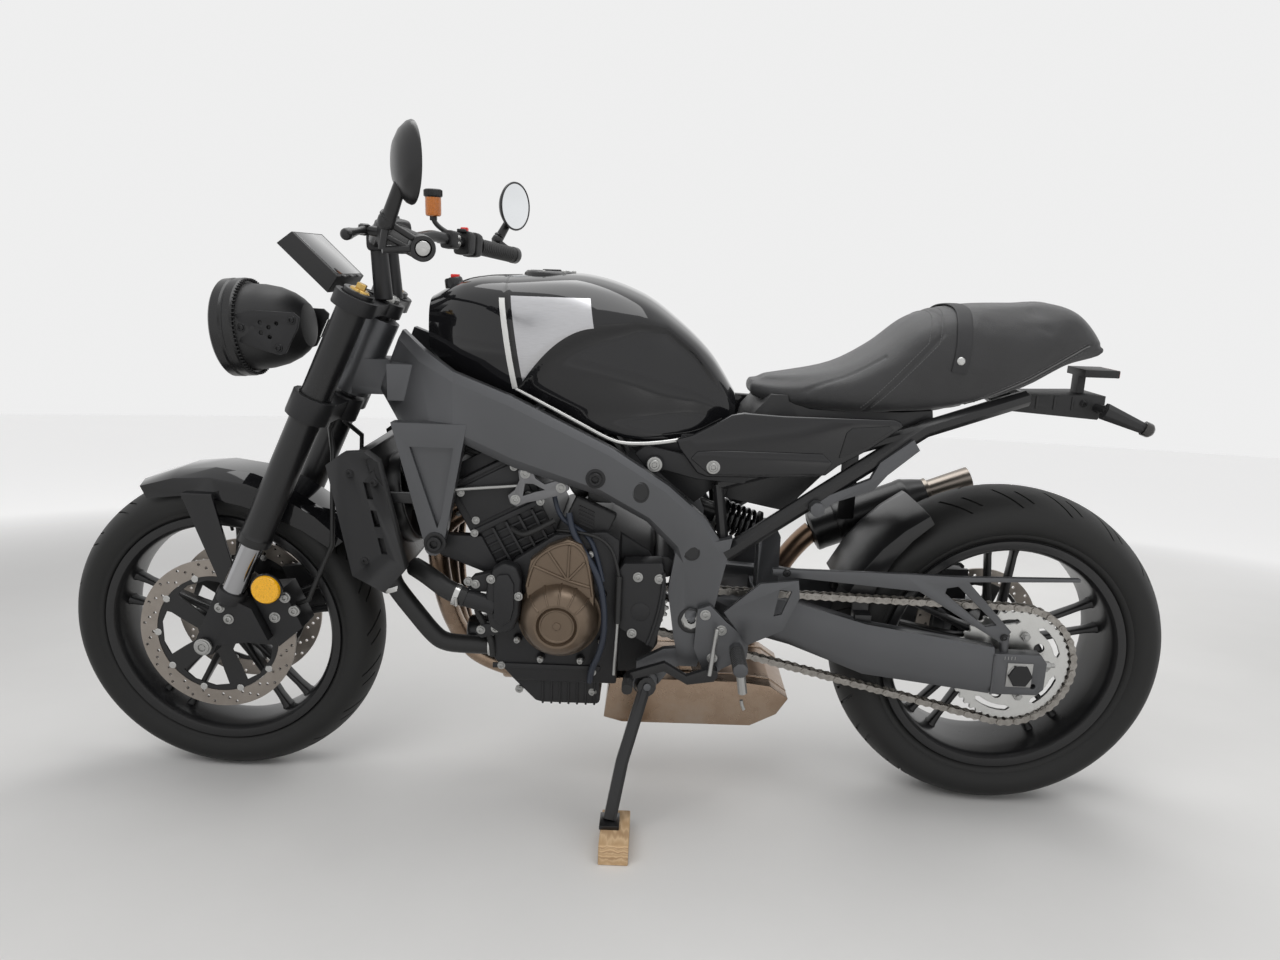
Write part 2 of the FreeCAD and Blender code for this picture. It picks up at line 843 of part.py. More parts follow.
def rear_shock():
    """Damper with a coil drawn as separate turns round it, and an eye at each end."""
    start = vec(shock_front_x, 0, shock_front_z)
    end = vec(shock_rear_x, 0, shock_rear_z)
    along = (end - start).normalize()
    length = (end - start).Length
    wire = length / (3 * spring_coils)
    rings = []
    for i in range(1, spring_coils):
        place = start + along * (length * (i + 0.6) / (spring_coils + 1))
        rings.append(rod(place - along * (wire / 2), place + along * (wire / 2), spring_radius, sides=10))
    eyes = [cross_rod(p.x, p.z, -shock_eye_half, shock_eye_half, shock_eye_radius, 10) for p in (start, end)]
    return joined([rod(start, end, shock_radius, sides=10)] + rings + eyes)


# Engine

case_shares = [
    (0.0, 0.15),
    (0.0, 0.62),
    (0.12, 0.80),
    (0.34, 0.97),
    (0.62, 1.0),
    (0.86, 0.83),
    (0.92, 0.70),
    (0.92, 0.20),
    (0.80, 0.0),
    (0.12, 0.0),
]
rear_mount_x = 102.0
rear_mount_z = 486.0
rear_mount_radius = 20.0
bank_tilt = 28.0
bank_base_x = -126.0
bank_base_z = 470.0
bank_length = 212.0
bank_depth = 146.0
cam_cover_height = 26.0
cam_cover_depth = 104.0
lug_wall = 22.0


def engine_case():
    """Crankcase with the narrower gearbox behind it, where the chain leaves."""
    points = outline(case_shares, case_front_x, case_base_z, case_length, case_height)
    case = plate(points, -case_half_width, 2 * case_half_width)
    top = case_base_z + case_height + overrun
    recess = block(
        vec(gearbox_x, -case_half_width - overrun, case_base_z - overrun),
        vec(case_front_x + case_length, -gearbox_half_width, top),
    )
    reach = pivot_plate_y - pivot_plate_wall - seat_gap
    mount = cross_rod(rear_mount_x, rear_mount_z, -reach, reach, rear_mount_radius, 12)
    return joined([case.cut([recess, mirrored(recess)]), mount])


def tilted(points):
    """Points measured across and along the cylinder bank."""
    lean = math.radians(bank_tilt)
    placed = []
    for across, along in points:
        x = bank_base_x + across * math.cos(lean) - along * math.sin(lean)
        z = bank_base_z + across * math.sin(lean) + along * math.cos(lean)
        placed.append((x, z))
    return placed


def cylinder_bank():
    """Barrels, wider head, cam cover and the lugs of the front mounting."""
    half = bank_depth / 2
    joint = bank_length * 0.55
    top = bank_length + cam_cover_height
    lower = [(-half * 0.86, 0), (half * 0.86, 0), (half * 0.86, joint), (-half * 0.86, joint)]
    head = [(-half, joint), (half, joint), (half, bank_length), (-half, bank_length)]
    cover_half = cam_cover_depth / 2
    cover = [(-cover_half, bank_length), (cover_half, bank_length), (cover_half * 0.86, top), (-cover_half * 0.86, top)]
    width = engine_half_width
    pieces = [
        plate(tilted(lower), -width * 0.94, 2 * width * 0.94),
        plate(tilted(head), -width, 2 * width),
        plate(tilted(cover), -width * 0.9, 2 * width * 0.9),
    ]
    root_low, root_high = tilted([(-half * 0.8, joint * 0.1), (-half * 0.8, joint * 0.9)])
    tip = leg_bolt_radius
    lug = [root_low, root_high, (leg_bolt_x - tip, leg_bolt_z + tip), (leg_bolt_x - tip, leg_bolt_z - tip)]
    lug_face = -leg_y + leg_wall + overrun + seat_gap
    pieces += both_sides(plate(lug, lug_face, lug_wall))
    return joined(pieces).cut(engine_case())


round_cover_x = -84.0
round_cover_z = 398.0
round_cover_radius = 74.0
round_cover_depth = 64.0
clutch_cover_x = 6.0
clutch_cover_z = 400.0
clutch_cover_radius = 82.0
clutch_cover_depth = 50.0
lobe_height = 150.0
lobe_shares = [(-0.30, 0.0), (-0.36, 0.42), (-0.12, 0.92), (0.16, 1.0), (0.40, 0.72), (0.42, 0.0)]
cover_profile_shares = [(1.0, 0.0), (1.0, 0.34), (0.84, 0.90), (0.72, 1.0)]


def stepped_cover(x, z, radius, depth, side):
    """A domed cover standing out from the crankcase."""
    profile = [(radius * r, side * (case_half_width + depth * d)) for r, d in cover_profile_shares]
    return turned(profile, x, z, 20)


def engine_covers():
    dome = stepped_cover(round_cover_x, round_cover_z, round_cover_radius, round_cover_depth, -1)
    points = sized(lobe_shares, round_cover_x, round_cover_z, lobe_height)
    lobe_wall = round_cover_depth * 0.42
    lobe = plate(points, -case_half_width - lobe_wall, lobe_wall)
    right = stepped_cover(clutch_cover_x, clutch_cover_z, clutch_cover_radius, clutch_cover_depth, 1)
    return separate([joined([dome, lobe]), right])


pan_front_x = -176.0
pan_length = 166.0
pan_depth = 50.0
pan_left_y = 132.0
pan_right_y = 18.0
pan_shares = [(0.0, 1.0), (0.28, 0.06), (0.36, 0.0), (0.97, 0.0), (1.0, 0.10), (1.0, 1.0)]


def oil_pan():
    points = outline(pan_shares, pan_front_x, case_base_z - pan_depth, pan_length, pan_depth)
    return plate(points, -pan_left_y, pan_left_y + pan_right_y).cut(engine_case())


sprocket_cover_wall = 42.0
sprocket_cover_width = 86.0
sprocket_cover_base_z = 345.0
sprocket_cover_height = 160.0
sprocket_cover_shares = [
    (0.0, 0.24),
    (0.0, 0.90),
    (0.10, 0.98),
    (0.88, 1.0),
    (0.98, 0.72),
    (0.96, 0.42),
    (0.76, 0.0),
]


def sprocket_cover():
    front = gearbox_x + seat_gap
    points = outline(sprocket_cover_shares, front, sprocket_cover_base_z, sprocket_cover_width, sprocket_cover_height)
    face_y = chain_y - chain_width / 2 - chain_gap * 4
    return plate(points, face_y - sprocket_cover_wall, sprocket_cover_wall).cut(engine_case())


# Cooling

radiator_tilt = 12.0
radiator_x = -416.0
radiator_z = 563.0
radiator_height = 236.0
radiator_wall = 30.0
radiator_half_width = 162.0
radiator_tab_z = 600.0
radiator_tab_size = 22.0
fan_radius = 88.0
fan_depth = 24.0
radiator_cover_wall = 26.0
radiator_cover_height = 250.0
radiator_cover_length = 100.0
radiator_cover_shares = [
    (-0.42, 0.46),
    (-0.10, 0.52),
    (0.28, 0.50),
    (0.46, 0.42),
    (0.48, -0.36),
    (0.02, -0.50),
    (-0.46, -0.34),
]
vent_shares = [(0.14, -0.06), (0.24, -0.07), (0.24, 0.05), (0.14, 0.06)]
vent_count = 3


def radiator_place(points):
    """Points measured across and up the tilted radiator."""
    lean = math.radians(radiator_tilt)
    placed = []
    for across, up in points:
        x = radiator_x + across * math.cos(lean) - up * math.sin(lean)
        z = radiator_z + across * math.sin(lean) + up * math.cos(lean)
        placed.append((x, z))
    return placed


def radiator():
    """Core with its fan behind, held by two tabs on the frame's front legs."""
    half = radiator_wall / 2
    tall = radiator_height / 2
    corners = [(-half, -tall), (half, -tall), (half, tall), (-half, tall)]
    core = plate(radiator_place(corners), -radiator_half_width, 2 * radiator_half_width)
    near, far = radiator_place([(half, 0), (half + fan_depth, 0)])
    fan = rod(vec(near[0], 0, near[1]), vec(far[0], 0, far[1]), fan_radius, sides=24)
    tab_y = leg_y - leg_wall * 0.2
    size = radiator_tab_size
    tab = block(vec(radiator_x, -tab_y, radiator_tab_z), vec(leg_bolt_x - size, -tab_y + size, radiator_tab_z + size))
    return joined([core, fan] + both_sides(tab)).cut(main_frame())


def radiator_covers():
    places = [(u * radiator_cover_length, v * radiator_cover_height) for u, v in radiator_cover_shares]
    outer = -radiator_half_width - radiator_cover_wall
    left = plate(radiator_place(places), outer, radiator_cover_wall - seat_gap)
    vents = []
    for i in range(vent_count):
        middle = radiator_cover_height * (0.24 - 0.20 * i)
        corners = [(u * radiator_cover_length, middle + v * radiator_cover_height) for u, v in vent_shares]
        vents.append(plate(radiator_place(corners), outer - overrun, radiator_cover_wall * 0.4 + overrun))
    return separate(both_sides(left.cut(vents)))


hose_radius = 17.0
hose_y = 130.0


def coolant_hoses():
    """Lower hose from the radiator's foot back to the engine."""
    x, z = radiator_place([(0, -radiator_height / 2)])[0]
    r = hose_radius
    route = [
        vec(x, -hose_y, z + r * 0.2),
        vec(x + r, -hose_y, z - r * 1.8),
        vec(x + r * 4.2, -hose_y, z - r * 6.0),
        vec(x + r * 6.2, -hose_y, z - r * 7.2),
        vec(case_front_x - seat_gap, -hose_y, z - r * 7.2),
    ]
    return tube(route, r, 12).cut([radiator(), main_frame()])


# Exhaust

header_radius = 19.0
header_spacing = 86.0
header_front_x = -322.0
collector_y = 62.0
collector_radius = 30.0
collector_z = 202.0
muffler_front_x = -4.0
muffler_length = 350.0
muffler_base_z = 160.0
muffler_height = 92.0
muffler_left_y = 92.0
muffler_right_y = 118.0
muffler_hanger_y = 50.0
muffler_hanger_wall = 8.0
muffler_shares = [
    (0.0, 0.10),
    (0.03, 0.98),
    (0.10, 1.0),
    (0.72, 1.0),
    (0.90, 0.92),
    (1.0, 0.66),
    (0.94, 0.30),
    (0.80, 0.02),
    (0.10, 0.0),
]


def exhaust_headers():
    """Three pipes from the head, down the front of the engine and into one collector."""
    r = header_radius
    port_x, port_z = tilted([(-bank_depth / 2, bank_length * 0.74)])[0]
    pipes = []
    for i in (-1, 0, 1):
        y = i * header_spacing
        merged_y = collector_y + i * r * 0.8
        route = [
            vec(port_x + overrun * 4, y, port_z),
            vec(port_x - r * 1.2, y, port_z - r * 0.8),
            vec(header_front_x, y, port_z - r * 3.0),
            vec(header_front_x, (y + merged_y) / 2, (port_z + collector_z) / 2 - r),
            vec(header_front_x + r, merged_y, collector_z + r * 3.2),
            vec(header_front_x + r * 3.0, merged_y, collector_z + r * 0.9),
            vec(header_front_x + r * 6.0, merged_y, collector_z),
        ]
        pipes.append(tube(route, r, 8))
    start = header_front_x + r * 5.4
    end = muffler_front_x + muffler_length * 0.03
    collector = rod(vec(start, collector_y, collector_z), vec(end, collector_y, collector_z), collector_radius)
    return joined(pipes + [collector]).cut([cylinder_bank(), muffler_box()])


def muffler_box():
    """Silencing chamber under the engine, hung from the frame's low cross tube."""
    points = outline(muffler_shares, muffler_front_x, muffler_base_z, muffler_length, muffler_height)
    body = plate(points, -muffler_left_y, muffler_left_y + muffler_right_y)
    half = low_cross_radius
    hanger = block(
        vec(pivot_x - half, -muffler_hanger_y, muffler_base_z + muffler_height - overrun),
        vec(pivot_x + half, -muffler_hanger_y + muffler_hanger_wall, low_cross_z - half * 0.8),
    )
    return joined([body] + both_sides(hanger)).cut(main_frame())


silencer_y = 192.0
silencer_radius = 44.0
silencer_front_x = 418.0
silencer_front_z = 472.0
silencer_length = 210.0
silencer_rise = 22.0
silencer_tip_length = 92.0
silencer_tip_radius = 23.0
link_radius = 22.0
strap_wall = 18.0


def silencer():
    """Link pipe, round can, tapered cap and open tip on the right, hung by a strap."""
    r = link_radius
    lean = math.radians(silencer_rise)
    along = vec(math.cos(lean), 0, math.sin(lean))
    front = vec(silencer_front_x, silencer_y, silencer_front_z)
    can_end = front + along * silencer_length
    cap_end = can_end + along * silencer_radius
    tip_end = cap_end + along * silencer_tip_length
    outlet_x = muffler_front_x + muffler_length * 0.82
    outlet = vec(outlet_x, muffler_right_y + seat_gap, muffler_base_z + muffler_height * 0.55)
    route = [
        outlet,
        outlet + vec(0, r * 1.6, 0),
        outlet + vec(r * 0.4, r * 3.2, r * 2.2),
        front - along * (r * 2.4) - vec(0, 0, r),
        front + along * overrun,
    ]
    sides = sides_for(silencer_radius)
    tip_sides = sides_for(silencer_tip_radius)
    pieces = [
        tube(route, r, 12),
        rod(front, can_end, silencer_radius),
        rod(can_end, cap_end, silencer_radius, silencer_tip_radius * 1.2, sides),
        rod(cap_end - along * overrun, tip_end, silencer_tip_radius),
    ]
    strap_foot = front + along * (silencer_length * 0.3)
    top = subframe_joint_z - silencer_radius * 1.6
    face = subframe_y + subframe_radius + hanger_wall + seat_gap
    wide = silencer_radius * 0.4
    strap = block(
        vec(strap_foot.x - wide, face, strap_foot.z), vec(strap_foot.x + wide, face + strap_wall, top)
    )
    hollow = rod(cap_end, tip_end + along * overrun, silencer_tip_radius * 0.85, sides=tip_sides)
    return joined(pieces + [strap]).cut(hollow)


# Body panels

tank_front_x = -333.0
tank_length = 550.0
tank_base_z = 712.0
tank_height = 283.0
tank_half_width = 156.0

# each row: x share, top share, bottom share, half width share
tank_station_shares = [
    (0.0, 0.84, 0.50, 0.36),
    (0.12, 0.955, 0.36, 0.66),
    (0.28, 0.985, 0.26, 0.90),
    (0.50, 1.0, 0.11, 1.0),
    (0.68, 0.90, 0.02, 0.92),
    (0.81, 0.73, 0.0, 0.72),
    (0.92, 0.53, 0.02, 0.56),
    (1.0, 0.30, 0.06, 0.40),
]
tank_section_shares = [(0.84, 0.0), (0.97, 0.18), (1.0, 0.44), (0.90, 0.74), (0.66, 0.91), (0.34, 0.98)]
tank_rings = 14


def crowned_ring(x, low, high, half, shares):
    """A closed cross-section, flat below and curved over the top."""
    right = [vec(x, half * u, low + (high - low) * v) for u, v in shares]
    left = [vec(p.x, -p.y, p.z) for p in right]
    return right + [vec(x, 0, high)] + left[::-1]


def crowned_body(stations, shares, x, length, z, height, half_width, count):
    rings = []
    for along, top, bottom, width in stations:
        low = z + bottom * height
        high = z + top * height
        rings.append(crowned_ring(x + along * length, low, high, half_width * width, shares))
    return skin(smooth_rings(rings, count))


def fuel_tank():
    body = crowned_body(
        tank_station_shares,
        tank_section_shares,
        tank_front_x,
        tank_length,
        tank_base_z,
        tank_height,
        tank_half_width,
        tank_rings,
    )
    return body.cut(main_frame())


tank_seat_gap = 22.0
seat_front_x = tank_front_x + tank_length + tank_seat_gap
seat_length = 620.0
seat_base_z = 770.0
seat_height = 200.0
seat_half_width = 130.0
seat_station_shares = [
    (0.0, 0.26, 0.12, 0.36),
    (0.10, 0.27, 0.05, 0.70),
    (0.26, 0.37, 0.03, 0.95),
    (0.38, 0.58, 0.03, 1.0),
    (0.48, 0.84, 0.045, 0.97),
    (0.60, 0.95, 0.105, 0.94),
    (0.76, 0.98, 0.27, 0.90),
    (0.90, 0.98, 0.50, 0.80),
    (1.0, 0.66, 0.60, 0.62),
]
seat_section_shares = [(0.84, 0.0), (0.98, 0.22), (1.0, 0.52), (0.90, 0.82), (0.56, 0.96)]
seat_rings = 14


def seat():
    body = crowned_body(
        seat_station_shares,
        seat_section_shares,
        seat_front_x,
        seat_length,
        seat_base_z,
        seat_height,
        seat_half_width,
        seat_rings,
    )
    return body.cut(subframe())


side_cover_front_x = 150.0
side_cover_length = 350.0
side_cover_base_z = 660.0
side_cover_height = 112.0
side_cover_wall = 12.0
side_cover_shares = [
    (0.01, 0.66),
    (0.07, 0.10),
    (0.30, 0.0),
    (0.66, 0.05),
    (1.0, 0.86),
    (0.96, 0.97),
    (0.42, 0.97),
    (0.22, 1.0),
    (0.14, 0.92),
]


def side_covers():
    points = outline(side_cover_shares, side_cover_front_x, side_cover_base_z, side_cover_length, side_cover_height)
    inner = -subframe_y - subframe_radius * 0.8 - seat_gap
    left = plate(points, inner - side_cover_wall, side_cover_wall)
    others = [fuel_tank(), main_frame(), subframe(), seat()]
    return separate([piece.cut(others) for piece in both_sides(left)])


tray_half_width = 92.0
tray_front_x = 205.0
tray_length = 360.0
tray_base_z = 590.0
tray_height = 210.0
tray_shares = [(0.0, 0.10), (0.10, 0.80), (0.20, 1.0), (0.98, 1.0), (1.0, 0.76), (0.55, 0.46), (0.30, 0.0)]


def under_seat_box():
    """Closed box under the seat, shaped to the seat's base and round the frame tubes."""
    points = outline(tray_shares, tray_front_x, tray_base_z, tray_length, tray_height)
    body = plate(points, -tray_half_width, 2 * tray_half_width)
    base = seat()
    base.translate(vec(0, 0, -seat_gap))
    above = base.copy()
    above.translate(vec(0, 0, seat_height * 0.1))
    return body.cut([base, above, subframe(), fuel_tank(), main_frame()])


def arch_ring(angle, radius, half, wall, skirt, x, z):
    """A U-shaped section of a mudguard, across the wheel at this angle."""
    out = vec(math.cos(math.radians(angle)), 0, math.sin(math.radians(angle)))
    centre = vec(x, 0, z)
    edge = radius - skirt
    shoulder = radius - skirt * 0.25
    bend = shoulder - wall * 0.4
    small = half - wall
    outer = [(edge, half), (shoulder, half), (radius, half * 0.6)]
    inner = [(edge, small), (bend, small), (radius - wall, half * 0.58)]
    places = outer + [(r, -y) for r, y in reversed(outer)] + [(r, -y) for r, y in inner] + inner[::-1]
    return [centre + out * r + vec(0, y, 0) for r, y in places]


hugger_radius = 331.0
hugger_nose_radius = 345.0
hugger_wall = 4.0
hugger_half_width = 98.0
hugger_top_angle = 122.0
hugger_low_angle = 158.0
hugger_skirt = 58.0
hugger_steps = 4
hugger_foot_width = 30.0
hugger_foot_top = 450.0
hugger_foot_base = 380.0
hugger_foot_height = 28.0
hugger_foot_reach = 125.0


def rear_hugger():
    """Short mudguard ahead of the rear tyre, on feet that stand on the swingarm under the chain."""
    rings = []
    for i in range(hugger_steps + 1):
        share = i / hugger_steps
        angle = hugger_top_angle + (hugger_low_angle - hugger_top_angle) * share
        radius = hugger_radius + (hugger_nose_radius - hugger_radius) * share
        skirt = hugger_skirt * (0.4 + 0.6 * share)
        rings.append(
            arch_ring(angle, radius, hugger_half_width, hugger_wall, skirt, rear_axle_x, rear_axle_z)
        )
    low_x = rear_axle_x - hugger_nose_radius * 0.82 - hugger_foot_width / 2
    high_x = low_x + hugger_foot_width
    inner = -hugger_half_width + hugger_wall * 1.5
    stem = block(vec(low_x, -hugger_half_width, hugger_foot_base), vec(high_x, inner, hugger_foot_top))
    foot = block(
        vec(low_x, -hugger_foot_reach, hugger_foot_base), vec(high_x, inner, hugger_foot_base + hugger_foot_height)
    )
    return joined([skin(rings)] + both_sides(stem) + both_sides(foot)).cut(swingarm())


guard_front_x = 290.0
guard_length = 550.0
guard_z = 466.0
guard_height = 26.0
guard_wall = 12.0
guard_y = 142.0
guard_shares = [
    (0.0, 0.1),
    (0.0, 1.0),
    (1.0, 0.92),
    (1.0, 0.70),
    (0.73, 0.45),
    (0.74, -4.4),
    (0.69, -4.4),
    (0.64, 0.30),
]


def chain_guard():
    points = outline(guard_shares, guard_front_x, guard_z, guard_length, guard_height)
    return plate(points, -guard_y, guard_wall).cut(swingarm())


tail_front_x = 690.0
tail_length = 190.0
tail_base_z = 768.0
tail_height = 44.0
tail_plate_half = 46.0
lamp_half_width = 88.0
lamp_length = 40.0
tail_shares = [(0.0, 0.55), (0.10, 0.25), (0.95, 0.0), (1.0, 0.30), (1.0, 0.98), (0.86, 1.0), (0.30, 0.92)]


def tail_bracket():
    """Bracket behind the seat with the tail lamp and the two turn lamps."""
    points = outline(tail_shares, tail_front_x, tail_base_z, tail_length, tail_height)
    body = plate(points, -tail_plate_half, 2 * tail_plate_half)
    end_x = tail_front_x + tail_length
    cross_z = tail_base_z + tail_height * 0.5
    bar = cross_rod(end_x - tail_height * 0.3, cross_z, -lamp_half_width, lamp_half_width, tail_height * 0.18, 8)
    lamps = []
    for side in (-1, 1):
        start = vec(end_x - lamp_length * 0.5, side * lamp_half_width, cross_z)
        end = start + vec(lamp_length * 1.9, side * lamp_length * 0.3, -lamp_length * 0.75)
        lamps.append(rod(start, end, tail_height * 0.34, tail_height * 0.2, 8))
    tab_x = tail_front_x + tail_length * 0.80
    tab_top = tail_base_z + tail_height * 2.0
    half_tab = tail_height * 0.3
    post = block(vec(tab_x, -half_tab, tail_base_z + tail_height * 0.8), vec(tab_x + half_tab, half_tab, tab_top))
    lamp = block(
        vec(tab_x, -tail_plate_half * 0.8, tab_top - half_tab),
        vec(tab_x + tail_height * 1.4, tail_plate_half * 0.8, tab_top),
    )
    return joined([body, bar, post, lamp] + lamps).cut([subframe(), seat()])


# Footrests and foot levers

hanger_wall = 12.0
hanger_size = 100.0
peg_x = 234.0
peg_z = 350.0
peg_radius = 12.0
peg_length = 92.0
hanger_shares = [
    (-0.72, 0.72),
    (-0.50, 0.80),
    (-0.20, 0.50),
    (0.22, 0.16),
    (0.20, -0.16),
    (-0.24, -0.40),
    (-0.40, -0.56),
    (-0.56, -0.50),
    (-0.76, -0.02),
]
heel_shares = [(-0.26, 0.70), (0.36, 1.26), (1.02, 1.34), (1.06, 1.02), (0.80, 0.40), (0.20, 0.10)]
heel_slot_shares = [(0.70, 1.16), (0.92, 1.14), (0.76, 0.70), (0.62, 0.66)]
passenger_x = 360.0
passenger_z = 612.0
passenger_shares = [
    (-0.12, -0.06),
    (0.0, -0.16),
    (0.36, 0.10),
    (0.98, 0.32),
    (1.20, 0.60),
    (1.72, 1.06),
    (1.60, 1.24),
    (1.06, 0.82),
    (0.92, 0.52),
    (0.02, 0.12),
]


def foot_rests():
    """Hangers with the rider's pegs and heel plates, and the passenger's brackets."""
    y = -pivot_plate_y - hanger_wall - seat_gap
    hanger = plate(sized(hanger_shares, peg_x, peg_z, hanger_size), y, hanger_wall)
    peg = cross_rod(peg_x, peg_z, y - peg_length, y + overrun, peg_radius)
    wall = hanger_wall * 0.4
    heel = plate(sized(heel_shares, peg_x, peg_z, hanger_size), y - wall, wall + overrun)
    slot = plate(sized(heel_slot_shares, peg_x, peg_z, hanger_size), y - wall - overrun, wall + 3 * overrun)
    rider = joined([hanger, peg, heel.cut(slot)])
    arm_y = -subframe_y - subframe_radius - hanger_wall
    arm = plate(sized(passenger_shares, passenger_x, passenger_z, hanger_size), arm_y, hanger_wall)
    folded = cross_rod(passenger_x, passenger_z, arm_y - peg_radius * 2, arm_y + overrun, peg_radius)
    tubes = subframe()
    passengers = [piece.cut(tubes) for piece in both_sides(joined([arm, folded]))]
    return separate(both_sides(rider) + passengers)


pedal_wall = 12.0
pedal_x = 192.0
pedal_z = 308.0
pedal_shares = [
    (0.08, 0.08),
    (0.04, -0.12),
    (-0.44, -0.20),
    (-0.86, 0.04),
    (-1.50, -0.16),
    (-1.54, -0.04),
    (-0.86, 0.20),
    (-0.46, -0.04),
    (-0.10, 0.10),
]


def foot_controls():
    """Shift lever on the left and brake pedal on the right, each with its toe piece."""
    inner = -pivot_plate_y - hanger_wall - 2 * seat_gap
    y = inner - hanger_wall - pedal_wall
    lever = plate(sized(pedal_shares, pedal_x, pedal_z, hanger_size), y, pedal_wall)
    toe_x = pedal_x - 1.50 * hanger_size
    toe_z = pedal_z - 0.10 * hanger_size
    toe = cross_rod(toe_x, toe_z, y - hanger_size * 0.4, y + overrun, pedal_wall * 0.7)
    boss = cross_rod(pedal_x, pedal_z, y, inner, pedal_wall * 0.8)
    return separate(both_sides(joined([lever, toe, boss])))


caliper_x = 684.0
caliper_z = 408.0
rear_caliper_size = 62.0
caliper_slot = 16.0


def rear_caliper():
    """Caliper over the rear disc, with a bracket that stands on the right arm."""
    disc_y = rear_hub_length / 2 + disc_thickness / 2
    half = rear_caliper_size / 2
    body = block(
        vec(caliper_x - half, disc_y - half * 0.55, caliper_z - half),
        vec(caliper_x + half, disc_y + half * 0.95, caliper_z + half),
    )
    bracket = block(
        vec(caliper_x - half * 0.7, disc_y + half * 0.7, pivot_z - swingarm_height * 0.6),
        vec(caliper_x + half * 0.7, swingarm_end_y - swingarm_end_wall * 0.4, caliper_z + half * 0.2),
    )
    slot = cross_rod(
        rear_axle_x,
        rear_axle_z,
        disc_y - caliper_slot / 2,
        disc_y + caliper_slot / 2,
        rear_disc_radius + caliper_slot * 0.5,
    )
    return joined([body, bracket]).cut([slot, swingarm(), axle_blocks()])


# Side stand and its block

block_width = 50.0
block_length = 126.0
block_height = 35.0
block_x = 30.0
block_y = -303.0


def side_stand():
    """Hub on the bracket's pin, bent leg, and a foot that lies level when it parks."""
    foot = stand_foot()
    axis = stand_axis()
    reach = stand_hub_length / 2
    hub = rod(stand_pivot - axis * reach, stand_pivot + axis * reach, stand_hub_radius)
    knee = stand_pivot + (foot - stand_pivot) * 0.55 - vec(stand_leg_radius, stand_leg_radius, 0) * 0.6
    leg = tube([stand_pivot - axis * (reach * 0.2), knee, foot + vec(0, 0, foot_pad_wall)], stand_leg_radius)
    half = vec(foot_pad_width / 2, foot_pad_length / 2, 0)
    sole = vec(0, 0, seat_gap)
    pad = block(stand_foot_floor - half + sole, stand_foot_floor + half + vec(0, 0, foot_pad_wall))
    below = block(stand_foot_floor - half * 2 - vec(0, 0, foot_pad_wall * 4), stand_foot_floor + half * 2 + sole)
    pad.Placement = standing.multiply(pad.Placement)
    below.Placement = standing.multiply(below.Placement)
    ends = axis * (reach * 2)
    bore = rod(stand_pivot - ends, stand_pivot + ends, stand_pin_radius + running_gap, sides=12)
    return joined([hub, leg, pad]).cut([below, bore])


def wood_block():
    half = vec(block_width / 2, block_length / 2, 0)
    centre = vec(block_x, block_y, 0)
    body = block(centre - half, centre + half + vec(0, 0, block_height))
    body.Placement = standing.multiply(body.Placement)
    return body


# Steering pieces


def along_steering(height, back, side, lift):
    """A point beside the steering axis, lifted along it from the given height."""
    return steer_point(height, back, side) + steer_up * lift


def clamp(height, thickness):
    """A triple clamp: two fork rings joined to the stem's boss."""
    half = thickness / 2
    pieces = []
    for side in (-1, 1):
        low = along_steering(height, -fork_offset, side * fork_spacing / 2, -half)
        pieces.append(rod(low, low + steer_up * thickness, fork_tube_radius + clamp_wall))
    low = along_steering(height, 0, 0, -half)
    pieces.append(rod(low, low + steer_up * thickness, stem_radius + clamp_wall * 1.4))
    side = fork_spacing / 2
    front = -fork_offset - fork_tube_radius * 0.7
    back = clamp_wall * 1.2
    places = ((front, -side), (front, side), (back, side), (back, -side))
    corners = [along_steering(height, reach, y, -half * 0.8) for reach, y in places]
    bridge = flat_face(corners).extrude(steer_up * (thickness * 0.8))
    return joined(pieces + [bridge])


def triple_clamps():
    stem = pin(steer_point(lower_clamp_z), steer_point(upper_clamp_z), stem_radius)
    legs = []
    for side in (-1, 1):
        y = side * fork_spacing / 2
        low = along_steering(lower_clamp_z, -fork_offset, y, -lower_clamp_height)
        high = along_steering(upper_clamp_z, -fork_offset, y, upper_clamp_height)
        legs.append(rod(low, high, fork_tube_radius + seat_gap, sides=12))
    clamps = [clamp(upper_clamp_z, upper_clamp_height), clamp(lower_clamp_z, lower_clamp_height)]
    return joined(clamps + [stem]).cut(legs)


caliper_length = 118.0
caliper_height = 66.0
caliper_width = 62.0
caliper_angle = 24.0
caliper_ear_shares = ((42.0, 0.80), (6.0, 0.80))


def front_polar(angle, radius):
    """A side place at this angle and distance from the front axle."""
    turn = math.radians(angle)
    return (front_axle_x + radius * math.cos(turn), front_axle_z + radius * math.sin(turn))


def fork_leg(side):
    """Upper tube, slider and the axle lug with its caliper ear, of one side."""
    y = side * fork_spacing / 2
    joint = fork_point(fork_tube_bottom_z, y)
    lug_top = fork_point(fork_lug_top_z, y)
    across = steer_back * (fork_lug_width / 2)
    reach = fork_lug_width / 2
    x = front_axle_x
    z = front_axle_z
    lug = [((lug_top - across).x, (lug_top - across).z), ((lug_top + across).x, (lug_top + across).z)]
    lug += [front_polar(angle, front_disc_radius * share) for angle, share in caliper_ear_shares]
    lug += [
        (x + reach * 0.95, z),
        (x + reach * 0.5, z - reach * 0.85),
        (x - reach * 0.5, z - reach * 0.85),
        (x - reach * 0.95, z),
    ]
    return [
        rod(joint, fork_point(fork_top_z, y), fork_tube_radius, sides=12),
        rod(lug_top - steer_up * reach, joint + steer_up * overrun, fork_slider_radius),
        plate(lug, y - fork_lug_thickness / 2, fork_lug_thickness),
    ]


